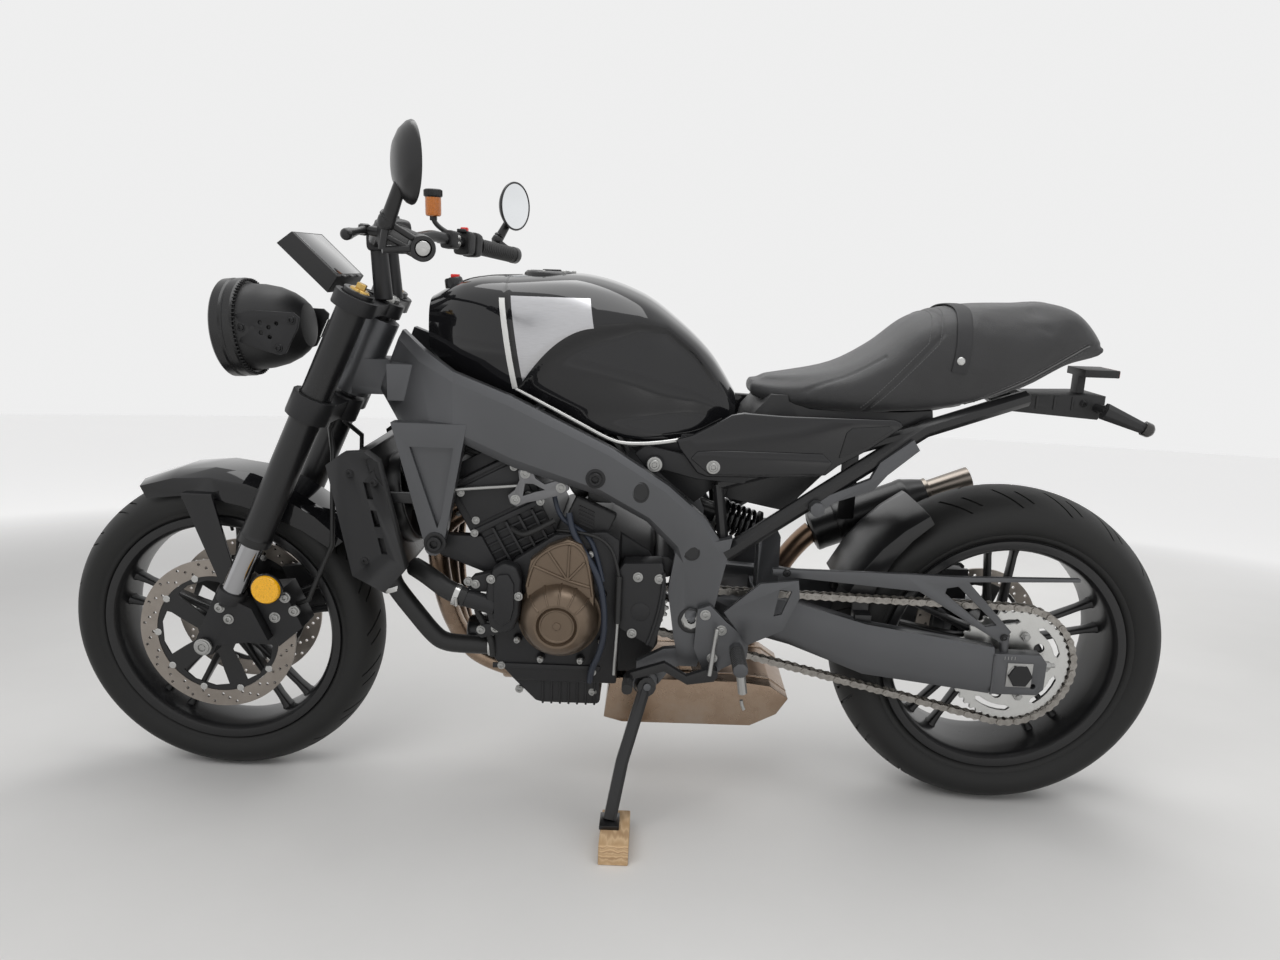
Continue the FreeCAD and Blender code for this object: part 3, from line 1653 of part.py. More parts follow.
def fork_legs():
    """Both legs, with the front axle through their lugs."""
    x = front_axle_x
    z = front_axle_z
    axle = cross_pin(x, z, -front_axle_reach, front_axle_reach, axle_radius)
    inner = fork_spacing / 2 - fork_lug_thickness / 2 + overrun
    spacer_end = front_hub_length / 2 + disc_thickness + overrun
    spacer = cross_rod(x, z, -inner, -spacer_end, axle_radius * 1.4)
    return joined(fork_leg(-1) + fork_leg(1) + [axle] + both_sides(spacer))


bar_end_x = -257.0
bar_end_y = 396.0
bar_end_z = 1027.0
bar_clamp_x = -424.0
bar_clamp_z = 1040.0
bar_bend_y = 92.0
bar_radius = 11.0
grip_radius = 17.0
grip_length = 118.0


def bar_points(side):
    """The bar's run on one side, from the middle to the end."""
    return [
        vec(bar_clamp_x, 0, bar_clamp_z),
        vec(bar_clamp_x, side * bar_bend_y * 0.6, bar_clamp_z),
        vec(bar_clamp_x + (bar_end_x - bar_clamp_x) * 0.26, side * bar_bend_y * 1.9, bar_clamp_z + bar_radius * 1.6),
        vec(bar_end_x, side * bar_end_y, bar_end_z),
    ]


def handlebar():
    """Bent bar with its risers on the upper clamp."""
    left = bar_points(-1)
    right = bar_points(1)
    pieces = [tube([left[2], left[1], right[1], right[2]], bar_radius)]
    for points in (left, right):
        outward = (points[3] - points[2]).normalize()
        pieces.append(rod(points[2] - outward * overrun, points[3], bar_radius, sides=8))
    for side in (-1, 1):
        y = side * bar_bend_y * 0.36
        pieces.append(rod(steer_point(upper_clamp_z, 0, y), vec(bar_clamp_x, y, bar_clamp_z), bar_radius * 1.5))
    return joined(pieces).cut(triple_clamps())


def bar_span(side, start_share, end_share):
    """Two points on the bar's outer run, by shares from its bend to its end."""
    points = bar_points(side)
    run = points[3] - points[2]
    return points[2] + run * start_share, points[2] + run * end_share


def bar_controls():
    """Grips, switch housings, perches and hand levers on both sides."""
    pieces = []
    for side in (-1, 1):
        points = bar_points(side)
        run = points[3] - points[2]
        grip_share = 1 - grip_length / run.Length
        start, end = bar_span(side, grip_share, 1.0)
        grip = rod(start, end, grip_radius, sides=12)
        low, high = bar_span(side, grip_share - 0.20, grip_share)
        housing = rod(low, high, grip_radius * 1.45, sides=8)
        low, high = bar_span(side, grip_share - 0.40, grip_share - 0.19)
        perch = rod(low, high, grip_radius * 1.1, sides=8)
        ahead = vec(-1, 0, 0.12)
        middle = (low + high) * 0.5
        root = middle + ahead * (grip_radius * 2.4)
        arm = rod(middle, root, grip_radius * 0.6, sides=8)
        elbow = start + ahead * (grip_radius * 3.0)
        tip = end + ahead * (grip_radius * 3.4) - (end - start) * 0.18
        lever = tube([root, elbow, tip], grip_radius * 0.36, 6)
        bore = rod(points[2] - run * 0.1, points[3] + run * 0.1, bar_radius + seat_gap, sides=8)
        pieces.append(joined([grip, housing, perch, arm, lever]).cut(bore))
    return separate(pieces)


mirror_x = -259.0
mirror_y = 442.0
mirror_z = 1133.0
mirror_radius = 53.0
mirror_wall = 20.0
mirror_turn = 14.0
mirror_arm_radius = 8.0
mirror_ring_radius = 18.0


def mirrors():
    """Bar-end mirrors: ring on the bar's end, arm, stem and a round head."""
    start, end = bar_span(-1, 0.9, 1.0)
    along = (end - start).normalize()
    ring_start = end + along * seat_gap
    r = mirror_ring_radius
    ring = rod(ring_start, ring_start + along * (r * 0.8), r, sides=12)
    foot = ring_start + along * (r * 0.5)
    ahead = vec(-1, 0, 0)
    ahead = (ahead - along * ahead.dot(along)).normalize()
    low = foot + ahead * (r * 3.0)
    ball = foot + ahead * (r * 2.6) + vec(0, 0, r * 2.0)
    arm = tube([foot, low, ball], mirror_arm_radius * 0.7, 6)
    centre = vec(mirror_x, -mirror_y, mirror_z)
    turn = math.radians(mirror_turn)
    facing = vec(math.cos(turn), math.sin(turn), 0)
    stem_top = centre - vec(0, 0, mirror_radius * 0.5) - facing * (mirror_wall * 0.5)
    stem = tube([ball - vec(0, 0, overrun), stem_top], mirror_arm_radius, 8, mirror_arm_radius * 0.8)
    shell = rod(centre - facing * mirror_wall, centre, mirror_radius * 0.6, mirror_radius, 16)
    lip = rod(centre, centre + facing * (mirror_wall * 0.3), mirror_radius, sides=16)
    return separate(both_sides(joined([ring, arm, stem, shell, lip])))


lamp_radius = 89.0
lamp_front_x = -713.0
lamp_z = 877.0
lamp_rim_depth = 42.0
lamp_body_depth = 104.0
lamp_tilt = 4.0
lamp_bracket_wall = 7.0


def headlight():
    """Round lamp: rim, tapered bowl and the side plates that hold it to the fork tubes."""
    lean = math.radians(lamp_tilt)
    back = vec(math.cos(lean), 0, math.sin(lean))
    front = vec(lamp_front_x, 0, lamp_z)
    rim_end = front + back * lamp_rim_depth
    sides = sides_for(lamp_radius)
    rim = rod(front, rim_end, lamp_radius)
    bowl = rod(rim_end, rim_end + back * lamp_body_depth, lamp_radius * 0.9, lamp_radius * 0.52, sides)
    recess = rod(front - back * overrun, front + back * (lamp_rim_depth * 0.3), lamp_radius * 0.88, sides=sides)
    face = fork_spacing / 2 - fork_tube_radius - seat_gap
    leg = fork_point(lamp_z, 0)
    near = rim_end.x - overrun
    high = lamp_z + lamp_radius * 0.40
    low = lamp_z - lamp_radius * 0.34
    points = [(near, low), (near, high), (leg.x + fork_tube_radius * 0.5, high), (leg.x - fork_tube_radius * 0.4, low)]
    bracket = plate(points, -face, lamp_bracket_wall)
    return joined([rim.cut(recess), bowl] + both_sides(bracket))


display_x = -536.0
display_z = 1002.0
display_length = 118.0
display_wall = 34.0
display_half_width = 72.0
display_lean = 44.0
display_arm_half = 14.0


def display():
    """The display, facing the rider, with its arm down to the upper clamp."""
    half = display_length / 2
    wall = display_wall / 2
    lean = math.radians(display_lean)
    placed = []
    for along, out in ((-half, -wall), (half, -wall), (half * 0.9, wall), (-half * 0.9, wall)):
        x = display_x + along * math.cos(lean) + out * math.sin(lean)
        z = display_z - along * math.sin(lean) + out * math.cos(lean)
        placed.append((x, z))
    case = plate(placed, -display_half_width, 2 * display_half_width)
    foot = along_steering(upper_clamp_z, -fork_offset, 0, 0)
    arm_points = [
        (display_x - wall * 0.4, display_z - wall),
        (display_x + wall, display_z - wall * 2),
        (foot.x + wall, foot.z + wall * 0.6),
        (foot.x + wall * 0.4, foot.z - wall * 0.4),
    ]
    arm = plate(arm_points, -display_arm_half, 2 * display_arm_half)
    return joined([case, arm]).cut(triple_clamps())


fender_radius = 322.0
fender_half_width = 72.0
fender_wall = 4.0
fender_front_angle = 114.0
fender_rear_angle = 38.0
fender_skirt = 58.0
fender_steps = 6
fender_stay_width = 28.0


def front_fender():
    """Arched front mudguard with stays down to the fork lugs."""
    rings = []
    for i in range(fender_steps + 1):
        share = i / fender_steps
        angle = fender_rear_angle + (fender_front_angle - fender_rear_angle) * share
        skirt = fender_skirt * (0.45 + 0.55 * math.sin(math.pi * (0.12 + 0.80 * share)))
        half = fender_half_width * (0.90 + 0.10 * math.sin(math.pi * share))
        rings.append(arch_ring(angle, fender_radius, half, fender_wall, skirt, front_axle_x, front_axle_z))
    face = fork_spacing / 2 - fork_lug_thickness / 2 - seat_gap
    wall = fender_wall * 1.5
    high = front_axle_z + fender_radius - fender_skirt * 0.8
    lug = fork_point(fork_lug_top_z, 0)
    wide = fender_stay_width
    top_x = front_axle_x - wide * 0.4
    points = [
        (top_x - wide, high),
        (top_x + wide, high),
        (lug.x + wide * 0.2, lug.z),
        (lug.x - wide * 0.6, lug.z - wide),
    ]
    stay = plate(points, -face, wall)
    inner = -fender_half_width + fender_wall * 1.2
    tie = block(vec(top_x - wide, -face, high - wall), vec(top_x + wide, inner, high + wall))
    return joined([skin(rings)] + both_sides(stay) + both_sides(tie)).cut(fork_legs())


def front_calipers():
    """Calipers behind the fork lugs, each with a slot for its disc."""
    disc_y = front_hub_length / 2 + disc_thickness / 2
    angle = math.radians(caliper_angle)
    out = vec(math.cos(angle), 0, math.sin(angle))
    tangent = vec(-out.z, 0, out.x)
    centre = vec(front_axle_x, 0, front_axle_z) + out * (front_disc_radius - caliper_height * 0.1)
    corners = []
    for u, v in ((-1, -0.8), (-0.7, 1), (0.7, 1), (1, -0.8)):
        point = centre + tangent * (caliper_length / 2 * u) + out * (caliper_height / 2 * v)
        corners.append((point.x, point.z))
    body = plate(corners, -disc_y - caliper_width * 0.56, caliper_width)
    half_slot = caliper_slot / 2
    room = front_disc_radius + caliper_slot * 0.5
    slot = cross_rod(front_axle_x, front_axle_z, -disc_y - half_slot, -disc_y + half_slot, room)
    return separate(both_sides(body.cut([slot, fork_legs()])))


reservoir_radius = 16.0
reservoir_height = 38.0
reservoir_x = -388.0
reservoir_y = 222.0
reservoir_z = 1096.0


def brake_reservoir():
    """Fluid cup with its cap, on a stalk from the right perch."""
    base = vec(reservoir_x, reservoir_y, reservoir_z)
    top = base + vec(0, 0, reservoir_height)
    cup = rod(base, top, reservoir_radius, sides=16)
    cap = rod(top, top + vec(0, 0, reservoir_height * 0.4), reservoir_radius * 1.12, sides=16)
    points = bar_points(1)
    run = points[3] - points[2]
    perch = points[2] + run * ((reservoir_y - points[2].y) / run.y)
    stalk = rod(base + vec(0, 0, overrun), perch, reservoir_radius * 0.4, sides=8)
    room = rod(points[2], points[3], bar_radius + seat_gap * 2, sides=8)
    return joined([cup, cap, stalk]).cut([bar_controls(), room])


brake_hose_radius = 4.0


def brake_hoses():
    """Hoses from the lower clamp down behind the fork tubes to the calipers."""
    r = brake_hose_radius
    side = fork_spacing / 2 - fork_tube_radius + r * 1.2
    start = along_steering(lower_clamp_z, r, -side * 0.5, -lower_clamp_height * 0.4 - seat_gap)
    angle = math.radians(caliper_angle)
    out = vec(math.cos(angle), 0, math.sin(angle))
    reach = front_disc_radius + caliper_height * 0.4 + seat_gap
    end = vec(front_axle_x, -side, front_axle_z) + out * reach
    route = [
        start,
        start - steer_up * (r * 6),
        vec(start.x + r * 2, -side, start.z - r * 14),
        vec(end.x + r * 18, -side, end.z + r * 30),
        end + out * (r * 6),
        end,
    ]
    return separate(both_sides(tube(route, r, 6)))


parts = {
    "front_tyre": front_tyre,
    "front_rim": front_rim,
    "front_discs": front_discs,
    "rear_tyre": rear_tyre,
    "rear_rim": rear_rim,
    "rear_sprocket": rear_sprocket,
    "rear_disc": rear_disc,
    "drive_chain": drive_chain,
    "main_frame": main_frame,
    "subframe": subframe,
    "swingarm": swingarm,
    "axle_blocks": axle_blocks,
    "rear_axle": rear_axle,
    "rear_shock": rear_shock,
    "engine_case": engine_case,
    "cylinder_bank": cylinder_bank,
    "engine_covers": engine_covers,
    "oil_pan": oil_pan,
    "sprocket_cover": sprocket_cover,
    "radiator": radiator,
    "radiator_covers": radiator_covers,
    "coolant_hoses": coolant_hoses,
    "exhaust_headers": exhaust_headers,
    "muffler_box": muffler_box,
    "silencer": silencer,
    "fuel_tank": fuel_tank,
    "seat": seat,
    "side_covers": side_covers,
    "under_seat_box": under_seat_box,
    "rear_hugger": rear_hugger,
    "chain_guard": chain_guard,
    "tail_bracket": tail_bracket,
    "foot_rests": foot_rests,
    "foot_controls": foot_controls,
    "rear_caliper": rear_caliper,
    "side_stand": side_stand,
    "wood_block": wood_block,
    "triple_clamps": triple_clamps,
    "fork_legs": fork_legs,
    "handlebar": handlebar,
    "bar_controls": bar_controls,
    "mirrors": mirrors,
    "headlight": headlight,
    "display": display,
    "front_fender": front_fender,
    "front_calipers": front_calipers,
    "brake_reservoir": brake_reservoir,
    "brake_hoses": brake_hoses,
}

os.makedirs("parts", exist_ok=True)
for name, make in parts.items():
    shape = make()
    shape.Placement = parking.multiply(shape.Placement)
    shape.exportStep(f"parts/{name}.step")
    print(name, len(shape.Solids), shape.isValid(), round(shape.Volume / 1e3))
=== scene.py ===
# %% [markdown]
# Cafe racer motorcycle, leaning on its side stand.
# The solids of the machine are loaded first and stay where they are. This lesson then gives each
# of them the look of the real thing: some get a finish, others are replaced by a finer mesh.

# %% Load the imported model
import bmesh
import bpy
from functools import partial
from math import asin, atan2, copysign, cos, hypot, pi, radians, sin
from mathutils import Matrix, Vector
from mathutils.bvhtree import BVHTree


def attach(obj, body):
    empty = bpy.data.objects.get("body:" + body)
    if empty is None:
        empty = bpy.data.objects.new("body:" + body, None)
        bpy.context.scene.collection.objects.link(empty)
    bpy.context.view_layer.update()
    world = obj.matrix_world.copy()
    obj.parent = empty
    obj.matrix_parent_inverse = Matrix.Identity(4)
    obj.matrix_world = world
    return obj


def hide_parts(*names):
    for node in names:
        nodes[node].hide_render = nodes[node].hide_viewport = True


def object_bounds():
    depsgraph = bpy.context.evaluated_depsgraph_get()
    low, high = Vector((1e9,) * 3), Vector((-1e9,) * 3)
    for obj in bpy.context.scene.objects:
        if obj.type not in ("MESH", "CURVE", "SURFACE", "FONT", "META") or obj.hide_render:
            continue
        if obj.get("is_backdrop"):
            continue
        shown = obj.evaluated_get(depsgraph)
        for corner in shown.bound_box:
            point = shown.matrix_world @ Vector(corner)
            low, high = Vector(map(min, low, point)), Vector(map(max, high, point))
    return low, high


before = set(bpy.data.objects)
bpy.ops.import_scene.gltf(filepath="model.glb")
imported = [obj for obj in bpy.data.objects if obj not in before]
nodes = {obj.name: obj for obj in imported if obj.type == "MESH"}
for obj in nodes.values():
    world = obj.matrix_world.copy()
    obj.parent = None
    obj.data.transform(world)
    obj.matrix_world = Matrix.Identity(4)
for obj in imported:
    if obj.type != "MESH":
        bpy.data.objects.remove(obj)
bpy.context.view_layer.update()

# %% [markdown]
# The machine is drawn upright, in millimetres, with zero X midway between its axles and zero Z on
# the floor. One matrix then leans every finished mesh over and turns it into metres, so all the
# numbers below can be read like those of a workshop drawing.

# %% The upright drawing frame
MM = 0.001
LEAN = radians(6.9)
FLOOR_SHIFT = Vector((-0.007, 0.136, 0))
PARKING = Matrix.Translation(FLOOR_SHIFT) @ Matrix.Rotation(LEAN, 4, "X") @ Matrix.Scale(MM, 4)
FULL_TURN = 2 * pi
front_axle = Vector((-747.5, 0, 300))
rear_axle = Vector((747.5, 0, 315))
rake = radians(25)
steer_up = Vector((sin(rake), 0, cos(rake)))
steer_back = Vector((cos(rake), 0, -sin(rake)))
steer_ground = Vector((-855.5, 0, 0))
ACROSS = Vector((0, 1, 0))


def steer_point(height, back=0, side=0):
    """A point at this height on the steering axis, moved back and to the side."""
    return steer_ground + steer_up * (height / steer_up.z) + steer_back * back + ACROSS * side


print("steering axis at the lower clamp:", [round(v) for v in steer_point(742)])

# %% [markdown]
# Every piece starts as a bmesh. These few helpers cover most of a motorcycle: things turned on a
# lathe, flat plates with holes, tubes, blocks with soft edges, and copies placed in a row.

# %% Helpers that shape a mesh
def lathe(profile, steps=48, loop=False):
    """Turns (radius, height) points round Z. A loop closes on itself, as a ring does."""
    bm = bmesh.new()
    verts = [bm.verts.new((radius, 0, height)) for radius, height in profile]
    pairs = list(zip(verts, verts[1:]))
    if loop:
        pairs.append((verts[-1], verts[0]))
    edges = [bm.edges.new(pair) for pair in pairs]
    bmesh.ops.spin(
        bm, geom=verts + edges, cent=(0, 0, 0), axis=(0, 0, 1), angle=FULL_TURN, steps=steps, use_merge=True
    )
    bmesh.ops.remove_doubles(bm, verts=bm.verts, dist=0.001)
    bmesh.ops.recalc_face_normals(bm, faces=bm.faces)
    return bm


def placed(bm, origin, axis):
    """Moves a shape made along Z so that it stands at origin and points along axis."""
    aim = Vector(axis).to_track_quat("Z", "Y").to_matrix().to_4x4()
    bm.transform(Matrix.Translation(origin) @ aim)
    return bm


def turned(profile, steps, origin, axis, loop=False):
    return placed(lathe(profile, steps, loop), origin, axis)


def gathered(*parts):
    """Joins shapes in one bmesh."""
    whole = bmesh.new()
    for part in parts:
        mesh = bpy.data.meshes.new("part")
        part.to_mesh(mesh)
        part.free()
        whole.from_mesh(mesh)
        bpy.data.meshes.remove(mesh)
    return whole


def repeated(part, matrices):
    """One copy of a shape for each matrix."""
    mesh = bpy.data.meshes.new("part")
    part.to_mesh(mesh)
    part.free()
    whole = bmesh.new()
    for matrix in matrices:
        first = len(whole.verts)
        whole.from_mesh(mesh)
        whole.verts.ensure_lookup_table()
        bmesh.ops.transform(whole, matrix=matrix, verts=whole.verts[first:])
    bpy.data.meshes.remove(mesh)
    return whole


def mirrored(bm):
    """The same shape on the other side of the machine."""
    copy = bm.copy()
    copy.transform(Matrix.Scale(-1, 4, ACROSS))
    bmesh.ops.reverse_faces(copy, faces=copy.faces)
    return copy


def both_sides(bm):
    return gathered(mirrored(bm), bm)


def rounded(bm, width, segments=2, least=28):
    """Rounds every edge that is sharper than the least angle, in degrees."""
    sharp = [e for e in bm.edges if len(e.link_faces) == 2 and e.calc_face_angle(0) > radians(least)]
    bmesh.ops.bevel(
        bm, geom=sharp, offset=width, offset_type="OFFSET", affect="EDGES", segments=segments,
        profile=0.5, material=-1, clamp_overlap=True,
    )
    return bm


def slab(outline, y, thickness, holes=(), edge=1.5, segments=2):
    """A plate in the side view, from y towards the right, with holes cut through it."""
    bm = bmesh.new()
    for ring in (outline, *holes):
        verts = [bm.verts.new((x, y, z)) for x, z in ring]
        for pair in zip(verts, verts[1:] + verts[:1]):
            bm.edges.new(pair)
    bmesh.ops.triangle_fill(bm, edges=bm.edges[:], use_beauty=True, use_dissolve=False)
    bmesh.ops.dissolve_limit(bm, angle_limit=0.01, verts=bm.verts[:], edges=bm.edges[:], delimit={"NORMAL"})
    grown = bmesh.ops.extrude_face_region(bm, geom=bm.faces[:], use_keep_orig=True)
    moved = [item for item in grown["geom"] if isinstance(item, bmesh.types.BMVert)]
    bmesh.ops.translate(bm, vec=(0, thickness, 0), verts=moved)
    bmesh.ops.recalc_face_normals(bm, faces=bm.faces)
    return rounded(bm, edge, segments, 50) if edge else bm


def circle(x, z, radius, count=20):
    steps = [FULL_TURN * i / count for i in range(count)]
    return [(x + radius * cos(a), z + radius * sin(a)) for a in steps]


def brick(low, high, edge=2, segments=2):
    """A block between two corners, with soft edges."""
    low = Vector(low)
    size = Vector(high) - low
    bm = bmesh.new()
    bmesh.ops.create_cube(bm, size=1)
    bm.transform(Matrix.Translation(low + size / 2) @ Matrix.Diagonal((*size, 1)))
    return rounded(bm, edge, segments)


def bar(start, end, radius, end_radius=None, edge=1, steps=24):
    """A round bar with broken edges."""
    start = Vector(start)
    along = Vector(end) - start
    far = radius if end_radius is None else end_radius
    reach = along.length
    profile = [(0, 0), (radius - edge, 0), (radius, edge), (far, reach - edge), (far - edge, reach),
               (0, reach)]
    return turned(profile, steps, start, along)


def pipe(points, radius, order=3, sides=6, smooth=8):
    """A round tube on one smooth curve near the given points, closed at both ends."""
    curve = bpy.data.curves.new("pipe", "CURVE")
    curve.dimensions = "3D"
    curve.bevel_depth = radius
    curve.bevel_resolution = sides
    curve.resolution_u = smooth
    curve.use_fill_caps = True
    spline = curve.splines.new("NURBS")
    spline.points.add(len(points) - 1)
    for point, place in zip(spline.points, points):
        point.co = (*place, 1)
    spline.order_u = order
    spline.use_endpoint_u = True
    carrier = bpy.data.objects.new("pipe", curve)
    mesh = bpy.data.meshes.new_from_object(carrier)
    bm = bmesh.new()
    bm.from_mesh(mesh)
    bpy.data.objects.remove(carrier)
    bpy.data.curves.remove(curve)
    bpy.data.meshes.remove(mesh)
    bmesh.ops.remove_doubles(bm, verts=bm.verts, dist=0.01)
    bmesh.ops.recalc_face_normals(bm, faces=bm.faces)
    return bm


def oval(half_wide, half_deep, power, count):
    """Points of a rounded rectangle about zero; a higher power is squarer."""
    ring = []
    for i in range(count):
        turn = FULL_TURN * (i + 0.5) / count
        c, s = cos(turn), sin(turn)
        wide = copysign(abs(c) ** (2 / power), c)
        deep = copysign(abs(s) ** (2 / power), s)
        ring.append((half_wide * wide, half_deep * deep))
    return ring


def loft(rings):
    """Bridges rings of points, one after the other, and closes both ends."""
    bm = bmesh.new()
    loops = []
    before = None
    for ring in rings:
        verts = [bm.verts.new(p) for p in ring]
        edges = [bm.edges.new(pair) for pair in zip(verts, verts[1:] + verts[:1])]
        if before:
            bmesh.ops.bridge_loops(bm, edges=before + edges)
        loops.append(verts)
        before = edges
    for verts in (loops[0], loops[-1]):
        bm.faces.new(verts)
    bmesh.ops.recalc_face_normals(bm, faces=bm.faces)
    return bm


def hoop(inner, outer, wide, chamfer, steps=40):
    """A band with its outer edges broken, such as a hose clip."""
    outside = [(outer - chamfer, 0), (outer, 1), (outer, wide - 1), (outer - chamfer, wide)]
    return lathe([(inner, 0), *outside, (inner, wide)], steps, loop=True)


def bolt_head(place, radius, height=5, out=(0, -1, 0), washer=1.5):
    """Socket screw: a round head with a hexagon hole, on a washer."""
    profile = [(0, -4), (radius * washer, -4), (radius * washer, 0.6), (radius * (washer - 0.1), 1.2)]
    profile += [(radius, 1.2), (radius, height - 1), (radius - 1, height), (radius * 0.55, height)]
    hole = lathe([(radius * 0.55, height), (radius * 0.55, height * 0.45), (0, height * 0.45)], 6)
    return placed(gathered(lathe(profile, 20), hole), place, out)


def heads_at(spots, radius, height, sides=(-1, 1), washer=1.5):
    """Screws that face outwards; a spot is (x, distance from the middle, z)."""
    return [bolt_head((x, side * y, z), radius, height, (0, side, 0), washer)
            for side in sides for x, y, z in spots]


print("shape helpers ready")

# %% [markdown]
# A finished shape becomes an object at the origin, with its place in its mesh, rides on the body
# that carries it, and hides the plain solid that it stands for.

# %% Helpers that finish a piece
def finished(shape, name, slot, finish, stands_for=(), crease=35, body="chassis"):
    """Makes a piece of one shape, or of a list of shapes."""
    bm = gathered(*shape) if isinstance(shape, list) else shape
    bm.transform(PARKING)
    mesh = bpy.data.meshes.new(name)
    bm.to_mesh(mesh)
    bm.free()
    mesh.shade_smooth()
    mesh.set_sharp_from_angle(angle=radians(crease))
    mesh.materials.append(finish)
    piece = bpy.data.objects.new(name, mesh)
    bpy.context.scene.collection.objects.link(piece)
    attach(piece, body)
    if stands_for:
        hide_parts(*stands_for)
    made.append((name, len(mesh.polygons)))
    return piece


def steered(*piece):
    """A piece of the front end, which turns with the handlebar."""
    return finished(*piece, body="steering")


def softened(node, width, segments=2, least=28):
    """A copy of a solid with its edges rounded, back in the upright frame."""
    bm = bmesh.new()
    bm.from_mesh(nodes[node].data)
    bm.transform(PARKING.inverted())
    bmesh.ops.remove_doubles(bm, verts=bm.verts, dist=0.02)
    bmesh.ops.dissolve_degenerate(bm, dist=0.02, edges=bm.edges)
    bmesh.ops.dissolve_limit(bm, angle_limit=radians(1.5), verts=bm.verts, edges=bm.edges)
    return rounded(bm, width, segments, least)


made = []
print("finishing helpers ready")

# %% [markdown]
# Finishes are written as sums. A Value wraps one socket of the material, and adding or multiplying
# Values adds the Math nodes. A Skin is the material being written, and its node method adds to it.

# %% Values and skins
class Value:
    """One socket, with Python's operators on it."""

    def __init__(self, skin, socket):
        self.skin = skin
        self.socket = socket

    def math(self, operation, first, second=None):
        inputs = {0: first} if second is None else {0: first, 1: second}
        return self.skin.node("ShaderNodeMath", {"operation": operation}, inputs)

    def __add__(self, other):
        return self.math("ADD", self, other)

    def __sub__(self, other):
        return self.math("SUBTRACT", self, other)

    def __rsub__(self, other):
        return self.math("SUBTRACT", other, self)

    def __mul__(self, other):
        return self.math("MULTIPLY", self, other)

    def above(self, edge):
        return self.math("GREATER_THAN", self, edge)

    def clamped(self):
        return self.math("MINIMUM", self.math("MAXIMUM", self, 0), 1)

    def between(self, low, high):
        return self.above(low) * (1 - self.above(high))


class Skin:
    """A material with one shader; its values change over the surface."""

    def __init__(self, name, **shader):
        self.material = bpy.data.materials.new(name)
        self.material.use_nodes = True
        self.tree = self.material.node_tree
        self.tree.nodes.clear()
        self.shader = self.tree.nodes.new("ShaderNodeBsdfPrincipled")
        end = self.tree.nodes.new("ShaderNodeOutputMaterial")
        self.tree.links.new(self.shader.outputs[0], end.inputs[0])
        self.place = self.node("ShaderNodeTexCoord", out="Object")
        for key, value in shader.items():
            self.set(key.replace("_", " ").title().replace("Ior", "IOR"), value)

    def node(self, kind, settings=None, inputs=None, out=0):
        made_node = self.tree.nodes.new(kind)
        for key, value in (settings or {}).items():
            if key == "stops":
                ramp = made_node.color_ramp.elements
                while len(ramp) < len(value):
                    ramp.new(0.5)
                for element, (position, colour) in zip(ramp, value):
                    element.position = position
                    element.color = (*colour, 1)
            else:
                setattr(made_node, key, value)
        for key, value in (inputs or {}).items():
            self.feed(made_node.inputs[key], value)
        return Value(self, made_node.outputs[out])

    def feed(self, socket, value):
        if isinstance(value, Value):
            self.tree.links.new(value.socket, socket)
        elif isinstance(value, tuple) and len(value) == 3 and socket.type == "RGBA":
            socket.default_value = (*value, 1)
        else:
            socket.default_value = value

    def set(self, key, value):
        self.feed(self.shader.inputs[key], value)

    def noise(self, scale, detail=3, roughness=0.5, place=None):
        inputs = {"Vector": place or self.place, "Scale": scale, "Detail": detail, "Roughness": roughness}
        return self.node("ShaderNodeTexNoise", {}, inputs)

    def cells(self, scale, feature="F1", place=None):
        inputs = {"Vector": place or self.place, "Scale": scale}
        return self.node("ShaderNodeTexVoronoi", {"feature": feature}, inputs)

    def blend(self, factor, first, second):
        inputs = {0: factor, 6: first, 7: second}
        return self.node("ShaderNodeMix", {"data_type": "RGBA"}, inputs, out=2)

    def upright(self, centre=(0, 0, 0)):
        """Coordinates of the upright drawing, in metres, about a centre in millimetres."""
        back = Matrix.Rotation(-LEAN, 3, "X")
        shift = -(back @ FLOOR_SHIFT) - Vector(centre) * MM
        inputs = {"Vector": self.place, "Location": tuple(shift), "Rotation": (-LEAN, 0, 0)}
        moved = self.node("ShaderNodeMapping", {}, inputs)
        split = self.tree.nodes.new("ShaderNodeSeparateXYZ")
        self.tree.links.new(moved.socket, split.inputs[0])
        return [Value(self, split.outputs[i]) for i in range(3)]

    def bump(self, height, distance, strength=1):
        inputs = {"Height": height, "Distance": distance, "Strength": strength}
        self.set("Normal", self.node("ShaderNodeBump", {}, inputs))


def paint(name, colour, roughness, grain=0, grain_scale=900, variation=0.12, **shader):
    """A coat of colour: it varies softly, and its roughness does too."""
    skin = Skin(name, **shader)
    wide = skin.noise(7, 4)
    fine = skin.noise(grain_scale, 2)
    darker = tuple(c * (1 - variation) for c in colour)
    lighter = tuple(min(1, c * (1 + variation)) for c in colour)
    skin.set("Base Color", skin.blend(wide, darker, lighter))
    skin.set("Roughness", (wide * 0.16 + fine * 0.06 + (roughness - 0.11)).clamped())
    if grain:
        skin.bump(fine, grain)
    return skin.material


print("values and skins ready")

# %% [markdown]
# Most of this machine is black, and it reads only because its blacks differ: deep gloss on the
# bodywork, powder coat on the frame, fine-grained plastic on the covers, rubber on the tyres.

